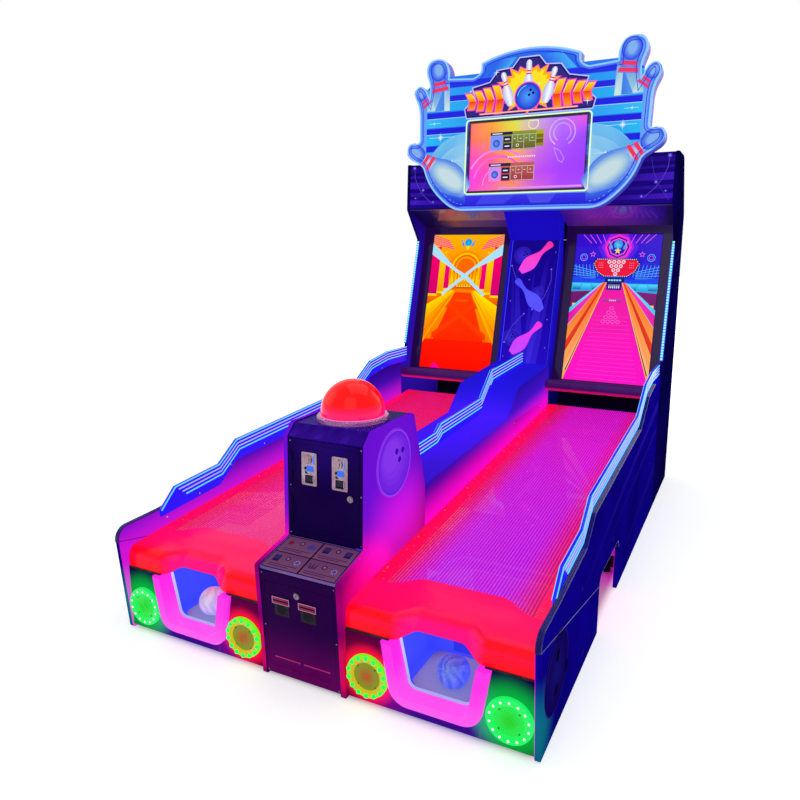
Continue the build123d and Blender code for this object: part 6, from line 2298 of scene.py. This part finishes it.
@dataclass
class Sign:
    """Shaped sign with its lit rim, printed face, screen and light box."""

    foot: Point2 = (2.289, 1.727)
    lean: float = 3.6
    face: float = 0.005
    half: float = 0.355
    picture_v: tuple[float, float] = (0.117, 0.515)
    board_half: float = 0.652
    gap_half: float = 0.372
    gap_low: float = 0.09
    gap_top: float = 0.532
    loop: list[Point2] = field(default_factory=list)

    def build(self) -> None:
        """Build and dress the sign."""
        front = shifted(leaning(0, *self.foot, self.lean), 0, 0, self.face)
        self.loop = outline_of("marquee_face", front)
        rim = LitPlastic("sign_rim_acrylic", "4c8cff", "68a8ff", 0.75, 25.0)
        dress("marquee_face", rim)
        dress("marquee_case", SignCase("sign_case_lilac", self.foot, self.lean))
        dress("marquee_monitor", Moulding("sign_screen_black", "08081c", "0c0c24", 0.2))
        self.build_rim(front)
        self.build_print(front)
        self.build_motif(front)
        self.build_monitor(front)
        self.build_back()

    def build_rim(self, front: Matrix) -> None:
        """Run two lit tubes round the sign, just inside its edge."""
        for name, gap, radius, low, high, glow in (("outer", 0.006, 0.0052, "68b4ff", "8cccff", 0.85),
                                                   ("middle", 0.0165, 0.0040, "3c58ff", "5078ff", 0.8)):
            mesh = bmesh.new()
            line = inset(self.loop, gap)
            add_tube(mesh, [front @ Vector((*p, 0.0012)) for p in line], radius, 8, True)
            finish_piece(mesh, f"sign_rim_{name}", LitPlastic(f"rim_tube_{name}", low, high, glow, 30.0),
                         50)

    def row(self, v: float) -> float:
        """Half width of the printed board at a height."""
        crossings = []
        for a, b in zip(self.loop, self.loop[1:] + self.loop[:1]):
            if (a[1] - v) * (b[1] - v) < 0:
                crossings.append(abs(a[0] + (b[0] - a[0]) * (v - a[1]) / (b[1] - a[1])))
        return min(self.board_half, max(crossings) - 0.034) if crossings else 0.0

    def band(self, art: Picture, low: float, high: float, inner: Tint, edge: Tint) -> None:
        """Paint a stripe across the board, open where the screen is."""
        start = self.gap_half if self.gap_low < high and low < self.gap_top else 0.0
        for side in Side:
            art.shape([(start, low), (self.row(low), low), (self.row(high), high), (start, high)],
                      [inner, edge, edge, inner], side)

    def build_print(self, front: Matrix) -> None:
        """Print the board: stripes, pale fans, glints, stitched line and pins."""
        art = Picture("sign_print", shifted(front, 0, 0, 0.0003))
        steps, foot, top = 26, 0.024, 0.80
        for i in range(steps):
            tint = mix("2c28e0", "3080f8", min(1.0, i / steps * 2.2))
            self.band(art, foot + (top - foot) * i / steps, foot + (top - foot) * (i + 1) / steps, tint, tint)
        crown = sorted(p for p in inset(self.loop, 0.022) if p[1] > 0.765 and abs(p[0]) < 0.40)
        art.shape([*crown, (0.36, 0.765), (-0.36, 0.765)], "3070f4")
        for x0, x1 in ((-0.26, -0.16), (-0.08, 0.05), (0.14, 0.28)):
            art.shape([(x0, 0.775), (x1, 0.775), (x1 * 0.62 + 0.02, 0.868), (x0 * 0.62 - 0.02, 0.868)],
                      ["2c58f0", "48c0ff", "48b0ff", "3070f8"])
        for low, high, *tints in ((0.735, 0.770, "2830e8", "3038f4"), (0.690, 0.732, "2c7cf8", "34b4ff"),
                                  (0.655, 0.688, "242ce4", "2c30f0"), (0.600, 0.650, "2c90fa", "30c0ff"),
                                  (0.560, 0.594, "2428e0", "282cf0"), (0.505, 0.556, "34a4fc", "38c8ff"),
                                  (0.465, 0.500, "2024dc", "2828ec"), (0.400, 0.462, "2c98f8", "30c4ff"),
                                  (0.362, 0.396, "2838e8", "2428ec"), (0.318, 0.360, "48a8f8", "38b8ff"),
                                  *((v, v + 0.0035, "80c8ff", "b8ecff") for v in (0.652, 0.556, 0.463))):
            self.band(art, low, high, *tints)
        self.build_fans(art)
        for side in Side:
            for x, y, size in ((0.555, 0.445, 0.017), (0.47, 0.30, 0.012), (0.60, 0.53, 0.008),
                               (0.545, 0.235, 0.008)):
                art.line([(x - size * 5.5, y), (x, y + 0.001), (x + size * 4.5, y)], 0.0028, "c8f0ff", side=side)
                art.disc(side * x, y, size, "58b8ff", "f4ffff", steps=18)
                art.spark(side * x, y, size * 1.7, "e8fcff")
            self.build_pins(art, side)
        dash = inset(self.loop, 0.0385)
        for i in range(0, len(dash) - 1, 2):
            a, b = dash[i], dash[i + 1]
            if math.dist(a, b) < 0.05 and a[1] < 0.42:
                art.line([a, b], 0.0026, "8cb8ff")
        art.line(inset(self.loop, 0.030), 0.0040, "2830d8", closed=True)
        art.shape(mm((-372, 34), (372, 34), (372, 88), (-372, 88)), fade("3028e8", "4038f0"))
        for x0, x1, x2, x3, tint in ((-0.30, -0.12, -0.05, -0.26, "4848f4"), (0.05, 0.16, 0.20, 0.02, "5050f8")):
            art.shape([(x0, 0.036), (x1, 0.036), (x2, 0.086), (x3, 0.086)], tint)
        art.done(Artwork("sign_ink", 0.8, 0.3), "sign_print")
        places = ((-0.29, 0.026), (0.0, 0.026), (0.29, 0.026), (0.57, 0.862), (0.60, 0.17), (-0.60, 0.17),
                  (-0.57, 0.862))
        fit_screws("sign_screws", (shifted(front, x, y + 0.004, PRINT_LIFT) for x, y in places), 0.0042, "3038a0",
                   0.3)

    def build_fans(self, art: Picture) -> None:
        """Paint the two pale fans of light behind the lower pins."""
        for side in Side:
            for radius, tint, rim in ((0.300, "58b0f4", "78c8f8"), (0.235, "68b8f4", "90d0f8"),
                                      (0.165, "78c0f4", "a0d8fa")):
                fan = [(0.372, 0.150), *arc_points(0.372, 0.165, radius, -8, 98, 24)]
                fan = [(min(x, self.row(max(0.03, y)) - 0.004), y) for x, y in fan]
                art.shape(fan, ["a8e0e8"] + [tint] * 12 + [rim] * 13, side)
            bowl = [(0.372, 0.036), (0.44, 0.040), (0.54, 0.090), (0.60, 0.160), (0.372, 0.150)]
            art.shape(bowl, ["2c30e4", "2c38e8", "2c50f0", "3c80f4", "60a0f0"], side)

    def build_pins(self, art: Picture, side: Side) -> None:
        """Paint the pins whose heads stand out past the board."""
        red = "ff3c64"
        block = [(0.497, 0.600), (0.655, 0.606), (0.632, 0.778), (0.503, 0.778)]
        art.shape(block, ["b8e4e0", "a0d4ec", "4c90f0", "3c80f0"], side)
        art.shape([(0.500, 0.604), (0.532, 0.604), (0.538, 0.735), (0.505, 0.776)],
                  ["e0f4ec", "d0f0ec", "a8d8f4", "60a0f4"], side)
        art.shape([(0.536, 0.604), (0.548, 0.604), (0.600, 0.604), (0.540, 0.742)],
                  ["3c80f0", "4890f0", "58a0f4", "4c88f4"], side)
        art.shape([(0.596, 0.610), (0.645, 0.612), (0.618, 0.690)], ["d8f0ec", "b8e4f0", "80c0f8"], side)
        for head, scale, turn, fat, start in (((0.702, 0.716), 0.33, -38.0, 1.35, 0.5),
                                              ((0.580, 0.846), 0.47, -7.0, 1.42, 0.56),
                                              ((0.722, 0.362), 0.50, -55.5, 1.22, 0.0)):
            a = math.radians(turn)
            run, across = Vector((-math.sin(a), math.cos(a))), Vector((math.cos(a), math.sin(a)))
            foot = Vector(head) - run * scale * 0.87
            pale = "c8dcf0" if start == 0.0 else "6c90fa"
            art.pin(side * foot.x, foot.y, scale, side * turn, pale, "4c84f4", red, fat, start)

            def oval(low: float, high: float, wide: float) -> list[Point2]:
                """Outline of an oval along the pin."""
                middle, reach = foot + run * scale * (low + high) / 2, scale * (high - low) / 2
                spots = [middle + run * reach * math.cos(t) + across * scale * fat * wide * math.sin(t)
                         for t in (math.tau * i / 28 for i in range(28))]
                return [(side * p.x, p.y) for p in spots]

            art.shape(oval(0.728, 0.992, 0.084), "3c58f0")
            for k, tint in enumerate(("4c70f4", "5c88f6", "70a0f8", "88b8fa")):
                art.shape(oval(0.745 + 0.018 * k, 0.978 - 0.012 * k, 0.072 - 0.012 * k), tint)
            if start == 0.0:
                for k, tint in enumerate(("8cbcec", "a0ccec", "b4d8ec", "c4e0ec", "d0e8ee")):
                    art.shape(oval(0.03 + 0.022 * k, 0.585 - 0.030 * k, 0.112 - 0.014 * k), tint)
            art.shape([(side * p.x, p.y) for p in (foot + run * scale * v + across * scale * fat * u for u, v in
                      ((-0.085, 0.605), (0.085, 0.605), (0.076, 0.645), (-0.076, 0.645)))], red)
            art.shape([(side * p.x, p.y) for p in (foot + run * scale * v + across * scale * fat * u for u, v in
                      ((-0.068, 0.675), (0.068, 0.675), (0.064, 0.712), (-0.064, 0.712)))], red)

    def build_motif(self, front: Matrix) -> None:
        """Build the raised centre emblem: a burst, a ball, three pins and chevron wings."""
        place = shifted(front, 0, 0, 0.0042)
        plate = bmesh.new()
        outline = mm((-384, 545), (384, 545), (398, 600), (330, 660), (352, 720), (240, 742), (190, 805),
                     (100, 812), (60, 862), (-60, 862), (-100, 812), (-190, 805), (-240, 742), (-352, 720),
                     (-330, 660), (-398, 600))
        add_sheet(plate, [front @ Vector((*p, 0.0028)) for p in outline], front.to_3x3() @ Vector((0, 0, 0.0012)))
        finish_piece(plate, "emblem_plate", LitPlastic("emblem_plate_plastic", "20188c", "2c2090", 0.5))
        art = Picture("emblem_print", place)
        art.line(outline, 0.006, "c8c8ff", closed=True)
        art.line(inset(outline, 0.009), 0.006, "1c1470", closed=True)
        burst = []
        for i in range(40):
            reach = 0.158 if i % 2 == 0 else 0.112
            if i % 4 == 2:
                reach = 0.135
            a = math.tau * i / 40 + math.pi / 2
            burst.append((reach * 1.25 * math.cos(a), 0.690 + reach * 0.92 * math.sin(a)))
        art.shape([(x * 1.06, 0.69 + (y - 0.69) * 1.06) for x, y in burst], "ff4cc0")
        art.shape(burst, "ffb014")
        art.shape([(x * 0.84, 0.69 + (y - 0.69) * 0.84) for x, y in burst], "ffe428")
        for side in Side:
            for k in range(4):
                x = 0.150 + 0.058 * k
                tall = 0.078 - 0.011 * k
                for grow, upper, lower in ((0.0075, "ff50c4", "ff50c4"), (0.0, "ffdc20", "ff9c10")):
                    top, foot = 0.640 + tall + grow, 0.640 - tall - grow
                    left, right = x - grow, x + 0.040 + grow
                    point = 0.030
                    art.shape([(left, 0.640), (right, 0.640), (right + point, top), (left + point, top)],
                              ["ff8410" if grow == 0 else upper] * 2 + [upper] * 2, side)
                    art.shape([(left + point * 0.4, foot), (right + point * 0.4, foot), (right, 0.640),
                               (left, 0.640)], [lower] * 2 + ["f03020" if grow == 0 else lower] * 2, side)
                art.line([(x + 0.004, 0.648), (x + 0.024, 0.630 + tall)], 0.003, "fff8c0", side=side)
            art.pin(side * 0.104, 0.598, 0.200, -side * 16, "ffffff", "a8b8f0", "ff3050")
        art.pin(0.0, 0.640, 0.205, 0, "ffffff", "b0c0f4", "ff3050")
        art.disc(0.0, 0.642, 0.083, "ff50c4")
        art.ball(0.0, 0.642, 0.076, "1c30d0", "50a0ff", "0a0c50")
        art.ring(0.0, 0.642, 0.062, 0.005, "80c8ff", 100, 75)
        art.line(mm((-300, 563), (300, 563)), 0.010, "ff50c4")
        art.line(mm((-296, 563), (296, 563)), 0.005, "ffe428")
        for x, y, size in ((-0.20, 0.792, 0.02), (0.352, 0.588, 0.024), (0.066, 0.705, 0.014),
                           (-0.36, 0.70, 0.014)):
            art.spark(x, y, size, "ffffff")
        art.done(Artwork("emblem_ink", 0.9, 0.3), "sign_print")

    def build_monitor(self, front: Matrix) -> None:
        """Build the trim round the screen, its dark surround and its picture."""
        v0, v1 = self.picture_v
        neon = bmesh.new()
        half, low, high, corner = 0.381, v0 - 0.018, v1 + 0.018, 0.020
        path = []
        for cx, cy, start in ((half - corner, high - corner, 0), (-half + corner, high - corner, 90),
                              (-half + corner, low + corner, 180), (half - corner, low + corner, 270)):
            path += arc_points(cx, cy, corner, start, 90, 6)
        add_tube(neon, [front @ Vector((*p, 0.0028)) for p in path], 0.0042, 8, True)
        finish_piece(neon, "screen_neon", LitPlastic("neon_yellow_tube", "f8f8a0", "d8f4b0", 1.05, 20.0),
                     50)
        surround = bmesh.new()

        def ring(points: Sequence[Point2], depth: float) -> list[bmesh.types.BMVert]:
            """Corners of an outline at a height over the sign's face."""
            return [surround.verts.new(front @ Vector((*p, depth))) for p in points]

        outer = [(x * 0.985, (y - 0.316) * 0.98 + 0.316) for x, y in path]
        raised = ring(outer, 0.0034), ring([(x * 0.996, (y - 0.316) * 0.994 + 0.316) for x, y in outer], 0.0040)
        wide, low, high = self.half + 0.001, v0 - 0.001, v1 + 0.001
        hole = [(wide, high), (-wide, high), (-wide, low), (wide, low)]
        middle = ring([hole[min(3, k // 7)] for k in range(len(outer))], 0.0036)
        bridge(surround, *raised)
        for i, corner_spot in enumerate(middle):
            j = (i + 1) % len(outer)
            corners = (raised[1][i], raised[1][j], middle[j])
            surround.faces.new(corners if corner_spot.co == middle[j].co else (*corners, corner_spot))
        sunk = ring(hole, -0.0046)
        bridge(surround, ring(hole, 0.0036), sunk)
        bmesh.ops.remove_doubles(surround, verts=surround.verts, dist=1e-5)
        finish_piece(surround, "screen_surround", Surround("surround_blue_gloss"))
        self.build_screen_picture()

    def build_screen_picture(self) -> None:
        """Paint the sign's screen: a soft rainbow field, rings and two blank score tables."""
        v0, v1 = self.picture_v
        art = Picture("sign_screen_picture", shifted(leaning(0, *self.foot, self.lean), 0, 0, 0.0006))
        rows = (("ff48d8", "ff70b0", "ff9058", "d860e0", "b048f8", "a848ff"),
                ("ff40e0", "ff50b8", "ff9048", "c050f0", "a840ff", "a040ff"),
                ("ff48c0", "ff6880", "ffa838", "c868e0", "a84cff", "9c40ff"),
                ("ff7068", "ff9048", "f8d030", "d090c8", "b060ff", "a048ff"),
                ("ff7868", "ffa840", "d8e848", "c8a8e8", "b870ff", "e858e8"))
        columns = len(rows[0]) - 1
        for j in range(len(rows) - 1):
            for i in range(columns):
                x0 = -self.half + 2 * self.half * i / columns
                x1 = -self.half + 2 * self.half * (i + 1) / columns
                y0, y1 = v0 + (v1 - v0) * j / 4, v0 + (v1 - v0) * (j + 1) / 4
                art.shape([(x0, y0), (x1, y0), (x1, y1), (x0, y1)],
                          [rows[j][i], rows[j][i + 1], rows[j + 1][i + 1], rows[j + 1][i]])
                art.layer -= 1
        art.layer += 1
        edge = 0.006
        for x, y, r, sweep, start, near, far in ((-0.165, 0.150, 0.205, 150, 20, "ff60e8", "ff90f0"),
                                                 (-0.165, 0.150, 0.165, 150, 15, "ff38d8", "ff70e0"),
                                                 (-0.165, 0.150, 0.100, 180, 0, "ff58c8", "ff98e8"),
                                                 (0.215, 0.430, 0.075, 300, -60, "c8a0ff", "d8b8ff"),
                                                 (0.215, 0.430, 0.050, 300, -60, "b890ff", "d0a8ff"),
                                                 (0.04, 0.490, 0.030, 360, 0, "f0f090", "e0f0a0")):
            spots = [p for p in arc_points(x, y, r, start, sweep, 40)
                     if v0 + edge < p[1] < v1 - edge and abs(p[0]) < self.half - edge]
            if len(spots) > 2:
                art.line(spots, 0.012 if r > 0.15 else 0.007, near, end=far)
        art.line([(0.17, 0.345), (0.205, 0.330), (0.232, 0.285), (0.222, 0.262), (0.198, 0.275), (0.180, 0.315)],
                 0.0035, "c8a0ff", closed=True)
        self.build_table(art, -0.225, 0.350, "8898f8", ("6c5828", "8c9828", "a8a820"))
        self.build_table(art, -0.228, 0.170, "e888e0", ("a83040", "c06050", "c88050"))
        for k in range(13):
            x = -0.11 + k * 0.0135
            art.box(x, 0.303, x + 0.009, 0.312, "ffd8f0")
        art.box(-0.16, v0 + 0.004, self.half - 0.01, v0 + 0.016, "d880f0", "e0a0f0")
        art.done(Artwork("sign_screen_glow", 0.92, 0.12, 0.15, 1400.0), "screen_glass")

    def build_table(self, art: Picture, x: float, y: float, tile: str, tints: tuple[str, str, str]) -> None:
        """Paint one score table: header bar, ball tile, label boxes and cells."""
        wide, tall = 0.330, 0.104
        art.box(x, y, x + wide * 0.86, y + tall, tints[0], tints[1])
        if y > 0.3:
            art.box(x + wide * 0.86, y + 0.012, x + wide, y + tall, "908818", "b0b020")
            art.box(x + wide * 0.86 + 0.002, y + tall * 0.28, x + wide - 0.002, y + tall * 0.50, "6c5c18")
            art.box(x + wide * 0.86 + 0.002, y + tall * 0.56, x + wide - 0.002, y + tall * 0.76, "7c6c18")
        art.box(x, y + tall * 0.84, x + wide * 0.42, y + tall, "181440", "201c54")
        art.box(x + 0.012, y + tall * 0.885, x + 0.075, y + tall * 0.94, "e8e8ff")
        art.box(x, y, x + wide * 0.24, y + tall * 0.82, tile, mix(tile, (0.1, 0.3, 1.0), 0.3))
        art.ball(x + wide * 0.12, y + tall * 0.38, 0.022, "2038c0", "68a0ff", "101860")
        for k in range(2):
            low = y + tall * (0.06 + 0.38 * k)
            art.box(x + wide * 0.255, low, x + wide * 0.40, low + tall * 0.30, "14123c")
            art.box(x + wide * 0.28, low + tall * 0.11, x + wide * 0.37, low + tall * 0.18, "e8e8f8")
        for k in range(2):
            left = x + wide * (0.42 + 0.22 * k)
            art.line([(left, y + 0.003), (left + wide * 0.22, y + 0.003), (left + wide * 0.22, y + tall * 0.80),
                      (left, y + tall * 0.80)], 0.0022, "a8e0e8", closed=True)
            art.line([(left + wide * 0.10, y + tall * 0.80), (left + wide * 0.10, y + tall * 0.42),
                      (left + wide * 0.22, y + tall * 0.42)], 0.0022, "a8e0e8")
            art.box(left + wide * 0.03, y + tall * 0.58, left + wide * 0.06, y + tall * 0.61, "ffffff")
            art.box(left + wide * 0.14, y + tall * 0.58, left + wide * 0.17, y + tall * 0.61, "ffffff")
        art.ring(x + wide * 0.52, y + tall * 0.22, 0.0075, 0.0026, "ffffff", steps=20)

    def build_back(self) -> None:
        """Screw the light box together round its back."""
        back = shifted(leaning(0, *self.foot, self.lean), 0, 0, -0.0701) @ Matrix.Rotation(math.pi, 4, "Y")
        line = inset([(-x, y) for x, y in self.loop], 0.030)
        step = max(1, len(line) // 26)
        fit_screws("case_screws", (shifted(back, *spot) for spot in line[::step]), 0.004, "7078a0", 0.35)


@dataclass(frozen=True)
class Surround(Finish):
    """Dark glossy surround with blue light along its edges."""

    def paint(self, s: Shader) -> None:
        """Build the finish."""
        across = s.smooth(s.maths("ABSOLUTE", s.x), 0.352, 0.374)
        streak = s.noise(6.0, 2.0, (1, 1, 3))
        lit = s.ramp(streak, [(0.38, "080850"), (0.52, "1c2cb0"), (0.62, "3c70e0"), (0.72, "101070")])
        colour = s.blend(across, "060430", lit)
        s.shine(colour, 0.8, 0.6, Roughness=0.15, Coat_Weight=0.4, Coat_Roughness=0.05)
        s.bump(s.noise(260.0, 2.0), 0.03, 0.0004)


@dataclass
class Underside:
    """Cross tubes with their levelling feet."""

    def build(self) -> None:
        """Dress the base."""
        dress("base_frame", PowderCoat("base_black_coat", "16161a", 0.5))


@dataclass
class Studio:
    """Camera, floor, world and soft lights."""

    eye: Point3 = (1.3118, -3.1133, 1.4896)
    yaw: float = 25.388
    pitch: float = -11.111
    roll: float = 0.290
    lens: float = 30.25
    shift: Point2 = (-0.0459, -0.0228)

    def build(self) -> None:
        """Set up everything round the machine."""
        bpy.context.scene.view_settings.view_transform = "Standard"
        self.build_camera()
        self.build_floor()
        self.build_world()
        for name, spot, aim, size, power in (("front_light", (1.6, -5.0, 4.2), (0.0, 0.0, 1.0), 4.0, 60.0),
                                             ("side_light", (-5.0, -2.0, 3.4), (0.0, 0.0, 1.0), 3.5, 35.0),
                                             ("top_light", (0.5, 0.5, 5.4), (0.0, 0.0, 0.5), 4.5, 70.0),
                                             ("back_light", (2.5, 5.2, 3.6), (0.0, 0.8, 1.0), 3.5, 55.0)):
            self.add_light(name, spot, aim, size, power)

    def build_camera(self) -> None:
        """Put the camera where it sees the machine from the front right."""
        yaw, pitch, roll = (math.radians(a) for a in (self.yaw, self.pitch, self.roll))
        forward = Vector((-math.sin(yaw) * math.cos(pitch), math.cos(yaw) * math.cos(pitch), math.sin(pitch)))
        right = Vector((math.cos(yaw), math.sin(yaw), 0.0))
        up = right.cross(forward)
        across = right * math.cos(roll) + up * math.sin(roll)
        above = up * math.cos(roll) - right * math.sin(roll)
        data = bpy.data.cameras.new("camera")
        data.lens, data.sensor_width = self.lens, 36.0
        data.shift_x, data.shift_y = self.shift
        camera = bpy.data.objects.new("camera", data)
        camera.matrix_world = Matrix.Translation(self.eye) @ Matrix((across, above, -forward)).transposed().to_4x4()
        bpy.context.scene.collection.objects.link(camera)
        bpy.context.scene.camera = camera

    def build_floor(self) -> None:
        """Lay a plain pale floor that keeps the machine's shadow, with painted shade under the machine where the
        floor's glow is taken away.
        """
        mesh = bpy.data.meshes.new("floor")
        reach = 40.0
        mesh.from_pydata([(-reach, -reach, 0), (reach, -reach, 0), (reach, reach, 0), (-reach, reach, 0)], [],
                         [(0, 1, 2, 3)])
        floor = bpy.data.objects.new("floor", mesh)
        bpy.context.scene.collection.objects.link(floor)
        s = Shader("pale_floor")
        rays = s.node("ShaderNodeLightPath").outputs
        seen = s.maths("MAXIMUM", rays["Is Camera Ray"], rays["Is Glossy Ray"])
        far = s.node("ShaderNodeVectorMath", {0: s.place}, operation="LENGTH").outputs["Value"]
        lift = s.maths("ADD", s.times(s.smooth(far, 2.2, 5.5), 0.6), 0.5)
        # painted shade: no glow on the floor under the machine's footprint
        under = s.times(s.smooth(s.maths("ABSOLUTE", s.x), 0.85, 0.80),
                        s.smooth(s.maths("ABSOLUTE", s.y), 1.44, 1.36))
        lift = s.times(lift, s.maths("SUBTRACT", 1.0, under))
        s.set(Base_Color=(0.9, 0.9, 0.9), Roughness=0.9, Emission_Color=(1.0, 1.0, 1.0),
              Emission_Strength=s.times(seen, lift), Specular_IOR_Level=0.0)
        mesh.materials.append(s.material)

    def build_world(self) -> None:
        """Light the scene evenly and show plain white behind it."""
        world = bpy.data.worlds.new("studio")
        bpy.context.scene.world = world
        world.use_nodes = True
        world.node_tree.nodes.clear()
        g = Graph(world.node_tree)
        rays = g.node("ShaderNodeLightPath").outputs
        mirror = g.maths("MAXIMUM", rays["Is Glossy Ray"], rays["Is Transmission Ray"])
        plain, white = (g.node("ShaderNodeBackground", {"Color": colour, "Strength": strength}).outputs[0]
                        for colour, strength in (((0.9, 0.92, 1.0), 0.4), ((1.0, 1.0, 1.0), 1.0)))
        seen = g.maths("MAXIMUM", rays["Is Camera Ray"], mirror)
        blend = g.node("ShaderNodeMixShader", {0: seen, 1: plain, 2: white})
        g.node("ShaderNodeOutputWorld", {0: blend.outputs[0]})

    def add_light(self, name: str, spot: Point3, aim: Point3, size: float, power: float) -> None:
        """Add a soft square light aimed at a point."""
        data = bpy.data.lights.new(name, "AREA")
        data.size, data.energy = size, power
        light = bpy.data.objects.new(name, data)
        toward = Vector(aim) - Vector(spot)
        light.matrix_world = Matrix.Translation(spot) @ toward.to_track_quat("-Z", "Y").to_matrix().to_4x4()
        bpy.context.scene.collection.objects.link(light)


def main() -> None:
    """Build every sub-assembly in order, then the studio, and note the model's size."""
    for part in (SideBoards(), LightGuides(), Lanes(), Divider(), Skirts(), FasciaLamps(), CoinCabinet(), Beacon(),
                 Column(), ScreenBays(), Housing(), Sign(), Underside(), Studio()):
        part.build()
        LOG.info("built %s", type(part).__name__)
    for piece in bpy.data.objects:
        if piece.type == "MESH":
            LOG.info("%s: %d faces", piece.name, len(piece.data.polygons))


if __name__ == "__main__":
    logging.basicConfig(level=logging.WARNING)
    main()
